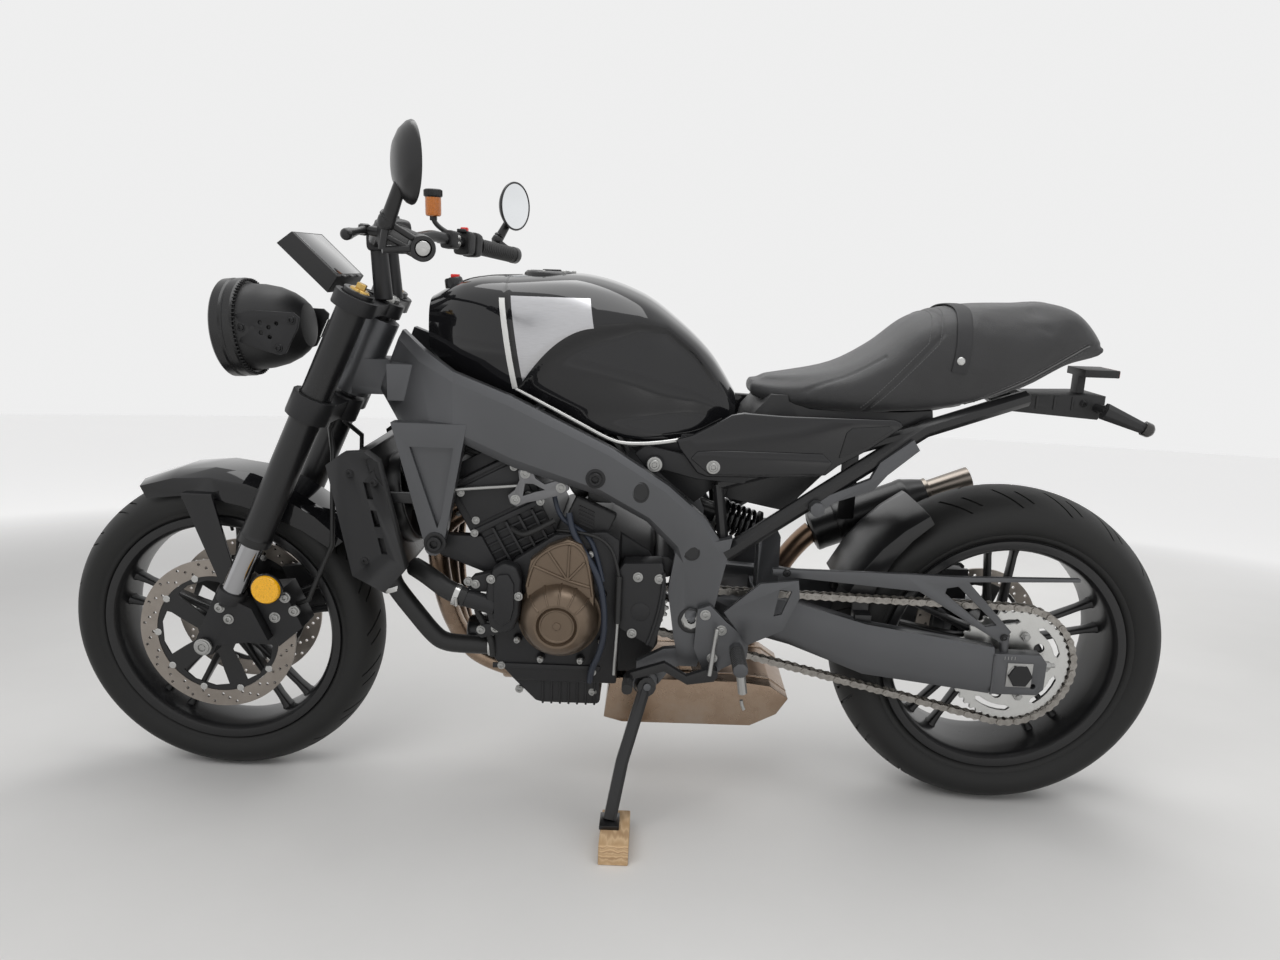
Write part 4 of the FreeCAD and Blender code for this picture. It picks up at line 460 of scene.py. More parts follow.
# %% Plain finishes
gloss_black = paint("gloss_black", (0.008, 0.008, 0.009), 0.1, specular_ior_level=0.1, coat_weight=0.85,
                    coat_roughness=0.03)
frame_grey = paint("frame_grey", (0.105, 0.107, 0.112), 0.38, 0.00006, 1400, metallic=0.7)
satin_black = paint("satin_black", (0.009, 0.009, 0.0095), 0.3, 0.00004, 1600)
cast_black = paint("cast_black", (0.017, 0.017, 0.018), 0.44, 0.00014, 700, metallic=0.3)
grain_plastic = paint("grain_plastic", (0.012, 0.012, 0.0125), 0.5, 0.00012, 1100)
hose_rubber = paint("hose_rubber", (0.01, 0.01, 0.01), 0.46, 0.00008, 500)
bare_steel = paint("bare_steel", (0.55, 0.55, 0.54), 0.24, 0.00002, 900, metallic=1)
zinc_steel = paint("zinc_steel", (0.42, 0.42, 0.41), 0.36, 0.00003, 900, metallic=1)
cast_alloy = paint("cast_alloy", (0.19, 0.19, 0.195), 0.42, 0.0001, 700, metallic=0.9)
tip_steel = paint("tip_steel", (0.27, 0.24, 0.21), 0.3, 0.00003, 900, metallic=1)
dark_bolt = paint("dark_bolt", (0.03, 0.03, 0.031), 0.3, 0.00003, 900, metallic=0.7)
gold_anodized = paint("gold_anodized", (0.6, 0.4, 0.13), 0.25, 0.00002, 900, metallic=1)
red_plastic = paint("red_plastic", (0.55, 0.02, 0.015), 0.35)
blue_hose = paint("blue_hose", (0.015, 0.02, 0.032), 0.45)
wire_wrap = paint("wire_wrap", (0.012, 0.012, 0.012), 0.6, 0.0001, 400)
stanchion = paint("stanchion", (0.4, 0.4, 0.41), 0.12, metallic=1)
mirror_glass = paint("mirror_glass", (0.86, 0.88, 0.9), 0.14, metallic=1)
strap_web = paint("strap_web", (0.018, 0.018, 0.019), 0.6, 0.0002, 1800)
thread_grey = paint("thread_grey", (0.11, 0.11, 0.11), 0.6)
white_line = paint("white_line", (0.8, 0.8, 0.78), 0.25, coat_weight=0.6)
print("plain finishes:", len(bpy.data.materials))

# %% [markdown]
# Amber, red and clear lenses let light through. A lens here is coloured and glossy with some
# transmission, which is a constant of the shader.

# %% Lenses and screens
def lens(name, colour, transmission):
    skin = Skin(name, transmission_weight=transmission, ior=1.49, coat_weight=0.5)
    ribs = skin.cells(420)
    skin.set("Base Color", skin.blend(ribs, colour, tuple(c * 0.7 for c in colour)))
    skin.set("Roughness", ribs * 0.08 + 0.06)
    skin.bump(ribs, 0.0004)
    return skin.material


amber_lens = lens("amber_lens", (0.6, 0.17, 0.008), 0.15)
smoke_lens = lens("smoke_lens", (0.022, 0.02, 0.018), 0.1)
red_lens = lens("red_lens", (0.35, 0.006, 0.006), 0.2)
reflector_amber = lens("reflector_amber", (1, 0.5, 0.01), 0.05)


def clouded(name, noise, first, second, span, least, **shader):
    """A skin whose colour and roughness follow one noise."""
    skin = Skin(name, **shader)
    cloud = skin.noise(*noise)
    skin.set("Base Color", skin.blend(cloud, first, second))
    skin.set("Roughness", cloud * span + least)
    return skin.material


clear_glass = clouded("clear_lens", (60, 2), (0.95, 0.96, 0.97), (0.9, 0.92, 0.94), 0.04, 0.01,
                      transmission_weight=0.95, ior=1.45, coat_weight=0.3)
display_glass = clouded("screen_glass", (30, 3), (0.01, 0.011, 0.013), (0.016, 0.017, 0.02), 0.1, 0.05,
                        coat_weight=1, coat_roughness=0.02)
print("lenses made")

# %% [markdown]
# Some surfaces carry the marks of how they were made or used: a disc is ground round and round, a
# header pipe goes brown and straw with heat, a tyre is dull and a little dusty.

# %% Worked and worn metals, rubber
def ring_ground(name, centre, colour, dark, roughness):
    """Steel ground in circles about a wheel's axle."""
    skin = Skin(name, metallic=1)
    x, _, z = skin.upright(centre)
    radius = skin.node("ShaderNodeMath", {"operation": "SQRT"}, {0: x * x + z * z})
    lines = skin.node("ShaderNodeTexNoise", {"noise_dimensions": "1D"}, {"W": radius * 1600, "Detail": 2})
    cloud = skin.noise(28, 4)
    mix = (lines * 0.55 + cloud * 0.5).clamped()
    skin.set("Base Color", skin.blend(mix, dark, colour))
    skin.set("Roughness", lines * 0.12 + cloud * 0.12 + (roughness - 0.12))
    skin.bump(lines, 0.00003)
    return skin.material


disc_look = ((0.46, 0.42, 0.38), (0.22, 0.19, 0.165), 0.34)
front_disc_steel = ring_ground("front_disc_steel", front_axle, *disc_look)
rear_disc_steel = ring_ground("rear_disc_steel", rear_axle, *disc_look)
sprocket_steel = ring_ground("sprocket_steel", rear_axle, (0.74, 0.74, 0.72), (0.5, 0.5, 0.49), 0.3)


def heated_steel():
    """Stainless pipe, straw to brown with heat, with a dull bloom on it."""
    skin = Skin("heated_steel", metallic=1)
    height = skin.upright()[2]
    cloud = skin.noise(9, 5, 0.6)
    heat = (cloud * 0.75 + height * 0.45).clamped()
    stops = [(0.15, (0.42, 0.37, 0.32)), (0.4, (0.36, 0.27, 0.2)), (0.62, (0.24, 0.16, 0.11))]
    stops.append((0.85, (0.16, 0.12, 0.11)))
    skin.set("Base Color", skin.node("ShaderNodeValToRGB", {"stops": stops}, {0: heat}))
    skin.set("Roughness", cloud * 0.25 + 0.16)
    skin.bump(skin.noise(300, 2), 0.00004)
    return skin.material


def bronze_paint():
    skin = Skin("bronze_cover", metallic=0.75, coat_weight=0.25, coat_roughness=0.25)
    cloud = skin.noise(24, 3)
    flake = skin.cells(2600)
    speckle = flake * 0.6 + cloud * 0.4
    skin.set("Base Color", skin.blend(speckle, (0.115, 0.082, 0.056), (0.185, 0.138, 0.098)))
    skin.set("Roughness", cloud * 0.1 + 0.28)
    skin.bump(flake, 0.00003)
    return skin.material


def tyre_rubber():
    """Dull rubber, a little dusty, with fine moulding grain."""
    skin = Skin("tyre_rubber", specular_ior_level=0.35)
    dust = skin.noise(11, 5, 0.62)
    grain = skin.noise(1500, 2)
    skin.set("Base Color", skin.blend(dust, (0.007, 0.007, 0.007), (0.017, 0.017, 0.0165)))
    skin.set("Roughness", dust * 0.22 + grain * 0.08 + 0.42)
    skin.bump(grain, 0.00012)
    return skin.material


def seat_vinyl():
    """Black seat cover: pebbled grain, a little greyer where it has been sat on."""
    skin = Skin("seat_vinyl", sheen_weight=0.15)
    pebble = skin.cells(950, "SMOOTH_F1")
    soft = skin.noise(14, 4)
    skin.set("Base Color", skin.blend(soft, (0.012, 0.012, 0.0125), (0.024, 0.024, 0.025)))
    skin.set("Roughness", soft * 0.14 + 0.42)
    skin.bump(pebble, 0.0006, 0.7)
    return skin.material


def sawn_wood():
    """Softwood: rings stretched along the grain, darker in the late wood."""
    skin = Skin("sawn_wood", specular_ior_level=0.3)
    long_way = skin.node("ShaderNodeMapping", {}, {"Vector": skin.place, "Scale": (26, 3, 26)})
    warp = skin.noise(2, 4, 0.6, long_way)
    wave_inputs = {"Vector": long_way, "Scale": 2.2, "Distortion": 5, "Detail": 3}
    rings = skin.node("ShaderNodeTexWave", {"wave_type": "RINGS"}, wave_inputs, out="Fac")
    stops = [(0, (0.42, 0.27, 0.14)), (0.55, (0.6, 0.43, 0.26)), (1, (0.3, 0.18, 0.09))]
    skin.set("Base Color", skin.node("ShaderNodeValToRGB", {"stops": stops}, {0: rings * 0.7 + warp * 0.3}))
    skin.set("Roughness", warp * 0.2 + 0.62)
    skin.bump(rings, 0.0006)
    return skin.material


exhaust_brown = heated_steel()
bronze_cover = bronze_paint()
rubber_tyre = tyre_rubber()
oiled_chain = clouded("chain_steel", (90, 4, 0.6), (0.16, 0.145, 0.13), (0.5, 0.48, 0.45), 0.3, 0.22,
                      metallic=1)
black_vinyl = seat_vinyl()
pine = sawn_wood()
print("finishes in all:", len(bpy.data.materials))

# %% [markdown]
# A tyre is turned from half a section. Its grooves sweep back from the middle of the tread, so the
# rings of faces are first twisted by how far out they lie; a groove is then one straight row of
# faces, which is inset and pushed in.

# %% Tyres
TREAD_STEPS = 360
GROOVE_EVERY = 18
# shares of the section's height above the bead, and of the half width
section_shares = [
    (0.00, 0.74), (0.1, 0.76), (0.16, 0.83), (0.2, 0.87), (0.24, 0.875), (0.27, 0.91), (0.38, 0.975),
    (0.5, 1), (0.6, 0.985), (0.68, 0.93), (0.76, 0.84), (0.83, 0.72), (0.89, 0.59), (0.935, 0.46),
    (0.965, 0.33), (0.986, 0.2), (0.997, 0.09), (1, 0),
]


def tyre(name, axle, radius, width, bead_half, body, node):
    bead = 219
    right = [(bead + (radius - bead) * up, width / 2 * out) for up, out in section_shares]
    right[0] = (bead, bead_half)
    right[1] = (230, bead_half)
    left = [(r, -h) for r, h in reversed(right[:-1])]
    bm = lathe(right + left, TREAD_STEPS, loop=True)
    sweep = radians(11)
    for vert in bm.verts:
        share = abs(vert.co.z) / (width / 2)
        vert.co.rotate(Matrix.Rotation(sweep * share ** 1.4, 3, "Z"))
    grooves = []
    for face in bm.faces:
        centre = face.calc_center_median()
        share = centre.z / (width / 2)
        if centre.xy.length < radius - (radius - bead) * 0.3 or not 0.1 < abs(share) < 0.88:
            continue
        turn = atan2(centre.y, centre.x) - sweep * abs(share) ** 1.4
        step = int(turn / FULL_TURN * TREAD_STEPS + TREAD_STEPS) % GROOVE_EVERY
        if step == (0 if share > 0 else GROOVE_EVERY // 2) and abs(share) > 0.16:
            grooves.append(face)
        elif step == (6 if share > 0 else GROOVE_EVERY // 2 + 6) and 0.34 < abs(share) < 0.7:
            grooves.append(face)
    bmesh.ops.inset_region(bm, faces=grooves, thickness=0.6, depth=-3.2, use_even_offset=True)
    finished(placed(bm, axle, ACROSS), name, "tyre_rubber", rubber_tyre, [node], 40, body)


tyre("front_tyre_treaded", front_axle, 300, 120, 43.8, "front_wheel", "front_tyre")
tyre("rear_tyre_treaded", rear_axle, 315, 180, 69.2, "rear_wheel", "rear_tyre")
print("tyres:", made[-2:])

# %% [markdown]
# The wheels are cast: a rim ring, a hub and five pairs of slim spokes. A spoke is wide where it
# leaves the hub, thin along its run, and wide again where it meets the rim, so it is a loft of
# rounded sections.

# %% Cast wheels
SPOKE_PAIRS = 5


def rim(half):
    outer = [
        (218, half - 9), (218, half), (228.6, half + 0.4), (229.4, half + 2.5), (228, half + 6),
        (222, half + 6.4), (214, half + 4.6), (209, half - 1), (206.5, half - 9), (205, half * 0.45),
        (204, 0),
    ]
    other = [(r, -h) for r, h in reversed(outer[:-1])]
    bed = [(214, -half * 0.6), (205.5 + 2, -half * 0.3), (205.5 + 2, half * 0.3), (214, half * 0.6)]
    return lathe(outer + other + bed, 120, loop=True)


def spoke(angle, side, hub_radius):
    root_turn = radians(angle + side * 16)
    tip_turn = radians(angle + side * 7.5)
    root = Vector((sin(root_turn), cos(root_turn), 0)) * (hub_radius * 0.8)
    tip = Vector((sin(tip_turn), cos(tip_turn), 0)) * 212
    along = (tip - root).normalized()
    across = Vector((along.y, -along.x, 0))
    rings = []
    sections = ((0, 15, 20), (0.1, 9.5, 17.5), (0.25, 7, 15), (0.55, 5.6, 12.5), (0.82, 5.6, 11.5),
                (0.93, 7.5, 13), (1, 12, 17))
    for share, wide, deep in sections:
        middle = root.lerp(tip, share)
        rings.append([middle + across * u + Vector((0, 0, v)) for u, v in oval(wide, deep, 3.4, 16)])
    return loft(rings)


def wheel(name, axle, half, hub_radius, hub_half, body, node):
    spokes = [spoke(360 / SPOKE_PAIRS * i, side, hub_radius) for i in range(SPOKE_PAIRS) for side in (-1, 1)]
    r = hub_radius
    half_hub = [(13, hub_half), (r * 0.62, hub_half), (r * 0.7, hub_half - 3), (r * 0.74, hub_half - 10)]
    half_hub += [(r * 0.98, hub_half - 14), (r, hub_half - 20), (r * 0.94, 8), (r * 0.92, 0)]
    hub = lathe(half_hub + [(a, -b) for a, b in reversed(half_hub[:-1])], 48, loop=True)
    valve = placed(bar((0, 0, 0), (0, 0, 26), 3.2), (0, 0, 0), (0, -1, 0.3))
    valve.transform(Matrix.Translation((0, 206, 10)))
    parts = [rim(half), hub, valve, *spokes]
    finished(placed(gathered(*parts), axle, ACROSS), name, "black_metal", satin_black, [node], 35, body)


wheel("front_wheel_cast", front_axle, 44.5, 33, 66, "front_wheel", "front_rim")
wheel("rear_wheel_cast", rear_axle, 70, 42, 80, "rear_wheel", "rear_rim")
print("wheels:", made[-2:])

# %% [markdown]
# A floating brake disc is a drilled steel band on a dark carrier, joined by short pins. The bands
# are flat plates with real holes: an outline and its holes are filled, then thickened.

# %% Brake discs
def drilled_band(axle, y, radius, band, groups, thickness=5):
    x, z = axle.x, axle.z
    inner = radius - band
    holes = [circle(x, z, inner, 96)]
    for i in range(groups):
        for row, share in enumerate((0.24, 0.5, 0.76)):
            turn = FULL_TURN * (i + row * 0.3) / groups
            out = inner + band * share
            holes.append(circle(x + out * cos(turn), z + out * sin(turn), 3.1, 10))
    return slab(circle(x, z, radius, 120), y, thickness, holes, edge=0.5, segments=1)


def carrier(axle, y, inner, hub_radius, arms, thickness=5):
    """A star of arms with a window between each pair."""
    x, z = axle.x, axle.z
    windows = [circle(x, z, 13, 24)]
    for i in range(arms):
        middle = FULL_TURN * (i + 0.5) / arms
        spread = pi / arms
        window = [(inner * 0.9, -spread * 0.72), (inner * 0.93, -spread * 0.3), (inner * 0.93, spread * 0.3)]
        window += [(inner * 0.9, spread * 0.72), (inner * 0.62, spread * 0.62),
                   (hub_radius * 1.22, spread * 0.42)]
        window += [(hub_radius * 1.12, 0), (hub_radius * 1.22, -spread * 0.42),
                   (inner * 0.62, -spread * 0.62)]
        windows.append([(x + r * cos(middle + a), z + r * sin(middle + a)) for r, a in window])
    return slab(circle(x, z, inner - 0.6, 96), y + 0.8, thickness - 1.6, windows, edge=0.6, segments=1)


def disc_pins(axle, y, radius, count):
    return gathered(*[bar((x, y - 1.6, z), (x, y + 6.6, z), 7, edge=0.8, steps=16)
                      for x, z in circle(axle.x, axle.z, radius, count)])


# Front and rear discs
slot = "disc_steel"
y = 66
bands = both_sides(drilled_band(front_axle, y, 149, 32, 20))
finished(bands, "front_disc_bands", slot, front_disc_steel, ["front_discs"], 30, "front_wheel")
stars = both_sides(carrier(front_axle, y, 117, 33, 5))
finished(stars, "front_disc_carriers", slot, satin_black, (), 30, "front_wheel")
pins = both_sides(disc_pins(front_axle, y, 115.5, 10))
finished(pins, "front_disc_pins", slot, bare_steel, (), 30, "front_wheel")
y = 80
band = drilled_band(rear_axle, y, 122.5, 28, 16)
finished(band, "rear_disc_band", slot, rear_disc_steel, ["rear_disc"], 30, "rear_wheel")
star = carrier(rear_axle, y, 94.5, 42, 5)
finished(star, "rear_disc_carrier", slot, satin_black, (), 30, "rear_wheel")
print("discs:", made[-5:])

# %% [markdown]
# The chain has over a hundred links. Wide and narrow links take turns along two arcs and two
# straight runs; a link is two waisted plates with a pin or a roller, kept to few faces.

# %% Chain and sprockets
PITCH = 15.875
CHAIN_Y = -108
front_sprocket = Vector((75, 0, 402))


def pitch_radius(teeth):
    return PITCH / (2 * sin(pi / teeth))


def chain_places():
    """Each pin's place, evenly spaced along the loop."""
    small, large = pitch_radius(16), pitch_radius(45)
    gap = rear_axle - front_sprocket
    span, tilt = hypot(gap.x, gap.z), atan2(gap.z, gap.x)
    spread = asin((large - small) / span)
    run = span * cos(spread)
    upper, lower = tilt + pi / 2 + spread, tilt - pi / 2 - spread
    large_arc, small_arc = large * (pi + 2 * spread), small * (pi - 2 * spread)
    total = 2 * run + large_arc + small_arc
    links = 2 * round(total / PITCH / 2)
    places = []
    for i in range(links):
        along = total * i / links
        if along < run:
            start, angle, radius, slide, way = front_sprocket, upper, small, along, tilt + spread
        elif along < run + large_arc:
            start, angle, radius, slide, way = rear_axle, upper - (along - run) / large, large, 0, 0
        elif along < 2 * run + large_arc:
            start, angle, radius = rear_axle, lower, large
            slide, way = along - run - large_arc, tilt - spread + pi
        else:
            start, angle, radius = front_sprocket, lower - (along - 2 * run - large_arc) / small, small
            slide, way = 0, 0
        out = Vector((cos(angle), 0, sin(angle))) * radius
        places.append(start + out + Vector((cos(way), 0, sin(way))) * slide)
    return places


def link_plate(y, thickness):
    outline = []
    for side in (-1, 1):
        for turn in (-100, -50, 0, 50, 100):
            a = radians(turn) + (0 if side > 0 else pi)
            outline.append((side * PITCH / 2 + 6.6 * cos(a), 6.6 * sin(a)))
        outline.append((0, side * 4.6))
    return slab(outline, y, thickness, edge=0)


def link(wide):
    face = 6.4 if wide else 4.4
    parts = [link_plate(face, 1.8), link_plate(-face - 1.8, 1.8)]
    reach, radius = (9, 2.5) if wide else (4.4, 5)
    for x in (-PITCH / 2, PITCH / 2):
        parts.append(bar((x, -reach, 0), (x, reach, 0), radius, edge=0.5, steps=8))
    return gathered(*parts)


def sprocket_outline(teeth, axle):
    tip = pitch_radius(teeth) - 3.2
    points = []
    for i in range(teeth):
        for share, drop in ((-0.3, 5.2), (-0.12, 0.6), (0.12, 0.6), (0.3, 5.2), (0.5, 6.6)):
            a = FULL_TURN * (i + share) / teeth
            points.append((axle.x + (tip - drop) * sin(a), axle.z + (tip - drop) * cos(a)))
    return points


# Chain
places = chain_places()
matrices = {True: [], False: []}
for i, place in enumerate(places):
    after = places[(i + 1) % len(places)]
    middle = (place + after) / 2 + ACROSS * CHAIN_Y
    way = after - place
    turn = Matrix.Rotation(-atan2(way.z, way.x), 4, "Y")
    matrices[i % 2 == 0].append(Matrix.Translation(middle) @ turn)
links = [repeated(link(wide), matrices[wide]) for wide in (True, False)]
finished(links, "chain_links", "chain_steel", oiled_chain, ["drive_chain"], 40)

# Rear sprocket
x, z = rear_axle.x, rear_axle.z
tip = pitch_radius(45)
holes = [circle(x, z, 30, 40)]
for i in range(5):
    middle = FULL_TURN * (i + 0.5) / 5
    slot = [(a, tip * 0.8) for a in (-0.34, -0.17, 0, 0.17, 0.34)] + [(0.42, tip * 0.755)]
    slot += [(a, tip * 0.71) for a in (0.34, 0.17, 0, -0.17, -0.34)] + [(-0.42, tip * 0.755)]
    holes.append([(x + r * cos(middle + a), z + r * sin(middle + a)) for a, r in slot])
    out = tip * 0.52
    holes.append(circle(x + out * cos(middle), z + out * sin(middle), tip * 0.085, 20))
ring = slab(sprocket_outline(45, rear_axle), CHAIN_Y - 3, 6, holes, edge=0.6, segments=1)
finished(ring, "rear_sprocket_ring", "sprocket_steel", sprocket_steel, ["rear_sprocket"], 30, "rear_wheel")
profile = [(13, -3), (33, -3), (40, 2), (62, 4), (66, 8), (62, 14), (44, 22), (42, 27.7), (13, 27.7)]
hub = turned(profile, 60, (x, CHAIN_Y, z), ACROSS, loop=True)
finished(hub, "sprocket_carrier", "black_metal", satin_black, (), 30, "rear_wheel")
nuts = []
for px, pz in circle(x, z, tip * 0.545, 5):
    nuts.append(bar((px, CHAIN_Y - 11, pz), (px, CHAIN_Y - 3, pz), 8.5, steps=6))
    nuts.append(bar((px, CHAIN_Y - 14, pz), (px, CHAIN_Y + 5, pz), 5, edge=0.8, steps=12))
finished(nuts, "sprocket_nuts", "sprocket_steel", zinc_steel, (), 30, "rear_wheel")
teeth = slab(sprocket_outline(16, front_sprocket), CHAIN_Y - 3, 6, [circle(75, 402, 12)], edge=0.6,
             segments=1)
shaft = bar((75, CHAIN_Y - 8, 402), (75, -94, 402), 16)
finished([teeth, shaft], "front_sprocket_ring", "chain_steel", zinc_steel)
print("chain and sprockets:", made[-5:])

# %% [markdown]
# The tank and the seat are blown shapes. A few stations along the machine and one half section are
# enough: a curve through them gives the many rings that the surface is bridged from.

# %% Helpers for blown shapes
def through(rows, count):
    """A smooth run of tuples through the given ones."""
    ends = [rows[0], *rows, rows[-1]]
    out = []
    for i in range(count):
        place = (len(rows) - 1) * i / (count - 1)
        step = min(int(place), len(rows) - 2)
        t = place - step
        a, b, c, d = ends[step:step + 4]
        cube = []
        for p0, p1, p2, p3 in zip(a, b, c, d):
            bend = (2 * p0 - 5 * p1 + 4 * p2 - p3) * t ** 2 + (3 * p1 - p0 - 3 * p2 + p3) * t ** 3
            cube.append(0.5 * (2 * p1 + (p2 - p0) * t + bend))
        out.append(tuple(cube))
    return out


def blown(stations, section, start, length, base, height, half, across, along):
    """Bridges rings: a station is (along, top, bottom, half) in shares, a section (out, up)."""
    half_section = through(section, across)
    rings = []
    for share, top, bottom, wide in through(stations, along):
        low, high = base + height * bottom, base + height * top
        right = [(half * wide * u, low + (high - low) * v) for u, v in half_section]
        left = [(-y, z) for y, z in reversed(right)]
        if abs(right[-1][0]) < 0.01:
            left = left[1:]
        rings.append([Vector((start + length * share, y, z)) for y, z in right + left])
    return loft(rings)


def eased(value):
    value = min(max(value, 0), 1)
    return value * value * (3 - 2 * value)


def along_line(points, x):
    """Height of a broken line at x."""
    for (x0, z0), (x1, z1) in zip(points, points[1:]):
        if x <= x1:
            return z0 + (z1 - z0) * (x - x0) / (x1 - x0)
    return points[-1][1]


print("blown shapes ready")

# %% [markdown]
# The tank is gloss black, with a brushed silver panel ahead of the knee and a pale strip. Beside the strip
# runs a seam groove, really there, whose near-black colour is painted shade. These are masks in the upright
# coordinates; the knee scallop is really there.

# %% Fuel tank
tank_stations = [
    (0, 0.84, 0.5, 0.36), (0.12, 0.955, 0.36, 0.66), (0.28, 0.985, 0.26, 0.9), (0.5, 1, 0.11, 1),
    (0.68, 0.9, 0.02, 0.92), (0.81, 0.73, 0, 0.72), (0.92, 0.53, 0.02, 0.56), (1, 0.3, 0.06, 0.4),
]
tank_section = [
    (0, 0), (0.6, 0), (0.84, 0), (0.97, 0.18), (1, 0.44), (0.9, 0.74), (0.66, 0.91), (0.34, 0.98), (0, 1)
]
scallop_top = [(-190, 720), (-165, 780), (-153, 813), (-130, 846), (-101, 874), (-66, 894), (-30, 908),
               (43, 921), (90, 912), (140, 872), (200, 800)]


def tank_paint():
    skin = Skin("tank_paint", specular_ior_level=0.1, coat_weight=0.85, coat_roughness=0.03)
    x, y, z = skin.upright()
    wide = skin.noise(6, 4)
    brushed = skin.node("ShaderNodeMapping", {}, {"Vector": skin.place, "Scale": (60, 60, 1400)})
    streak = skin.noise(1, 2, 0.5, brushed)
    out = skin.node("ShaderNodeMath", {"operation": "ABSOLUTE"}, {0: y}).above(0.052)
    slant = x + (z - 0.956) * 0.17
    ahead = x + 0.153
    arc = ahead * 1.481 - ahead * ahead * 5.92 + 0.815
    above_arc = (z - arc).above(0)
    panel = slant.between(-0.178, -0.042) * (1 - z.above(0.956)) * above_arc * out
    strip = slant.between(-0.199, -0.189) * z.between(0.8, 0.952) * out
    # the seam: a real groove, painted near black as painted shade in the gap between two tank parts
    seam = slant.between(-0.1885, -0.184)
    black = skin.blend(wide, (0.007, 0.007, 0.008), (0.01, 0.01, 0.011))
    silver = skin.blend(streak, (0.42, 0.42, 0.43), (0.58, 0.58, 0.6))
    painted = skin.blend(panel, black, silver)
    striped = skin.blend(strip, painted, (0.62, 0.62, 0.6))
    skin.set("Base Color", skin.blend(seam, striped, (0.002, 0.002, 0.002)))
    skin.set("Metallic", panel * 0.85)
    skin.set("Roughness", panel * 0.22 + wide * 0.05 + seam * 0.4 + 0.06)
    return skin.material


# Shell of the tank
bm = blown(tank_stations, tank_section, -333, 550, 712, 283, 156, 84, 150)
lip = []
for vert in bm.verts:
    x, y, z = vert.co
    if abs(y) < 30:
        continue
    inside = along_line(scallop_top, x) - z
    if -12 < inside < 28:
        lip.append(vert)
    deep = 20 * eased(inside / 17) * eased((z - 706) / 60) * eased((x + 185) / 25) * eased((215 - x) / 90)
    vert.co.y -= copysign(deep, y)
    groove = eased(1 - abs(x + (z - 956) * 0.17 + 186) / 3.2)
    vert.co.y -= copysign(2 * groove, y)
for _ in range(5):
    bmesh.ops.smooth_vert(bm, verts=lip, factor=0.5, use_axis_x=False, use_axis_y=True, use_axis_z=False)
finished(bm, "fuel_tank_shell", "black_paint", tank_paint(), ["fuel_tank"], 50)

# Silver strip along the tank's lower edge, on both sides
path = [(-166, -133, 800), (-120, -138, 778), (-60, -141, 748), (0, -138, 716), (30, -134, 711),
        (80, -128, 713), (140, -114, 722), (178, -98, 732), (204, -84, 745)]
finished(both_sides(pipe(path, 4)), "tank_trim", "black_paint", bare_steel)

# Filler cap with its ring of screws, and the ignition lock ahead of the tank
profile = [(0, 3), (26, 3), (30, 5), (33, 9), (38, 10.5), (44, 9), (48, 5), (50, -4)]
cap = turned(profile, 48, (-122, 0, 988), (0.02, 0, 1))
finished(cap, "filler_cap", "black_paint", satin_black)
screws = []
for x, y in circle(-122, 0, 41, 7):
    screws.append(bolt_head((x, y, 997.5), 2.6, 2, (0, 0, 1)))
finished(screws, "filler_cap_screws", "black_paint", zinc_steel)
flap = brick((-138, -5, 992), (-104, 5, 1001), 2)
finished(flap, "filler_cap_lever", "black_paint", satin_black)
lock = turned([(0, 12), (7, 12), (8, 11), (14, 11), (16, 8), (17, -8)], 32, (-296, -12, 970), (-0.2, 0, 1))
finished(lock, "tank_breather", "black_paint", satin_black)
tab = brick((-301, -20, 981), (-286, -8, 987), 1.5)
finished(tab, "tank_breather_tab", "black_paint", red_plastic)
print("tank:", made[-6:])

# %% [markdown]
# The seat is padded: the shape is drawn a little slack, blown up by a short cloth simulation that
# may move no point far, and then its seams are pressed in and its piping laid over them.

# %% Seat
seat_stations = [
    (0, 0.26, 0.12, 0.36), (0.1, 0.27, 0.05, 0.7), (0.26, 0.37, 0.03, 0.95), (0.38, 0.58, 0.03, 1),
    (0.48, 0.84, 0.045, 0.97), (0.6, 0.95, 0.105, 0.94), (0.76, 0.98, 0.27, 0.9), (0.9, 0.98, 0.5, 0.8),
    (1, 0.66, 0.6, 0.62),
]
seat_section = [(0, 0), (0.5, 0), (0.84, 0), (0.98, 0.22), (1, 0.52), (0.9, 0.82), (0.56, 0.96), (0, 1)]
# x of the cover's cross seam at its foot and at its crest
SEAM_FOOT, SEAM_CREST = 439, 560
tail_seam = [(626, 796), (717, 842), (815, 902)]
# height where the seat's side turns over to its top
SEAT_EDGE = 900


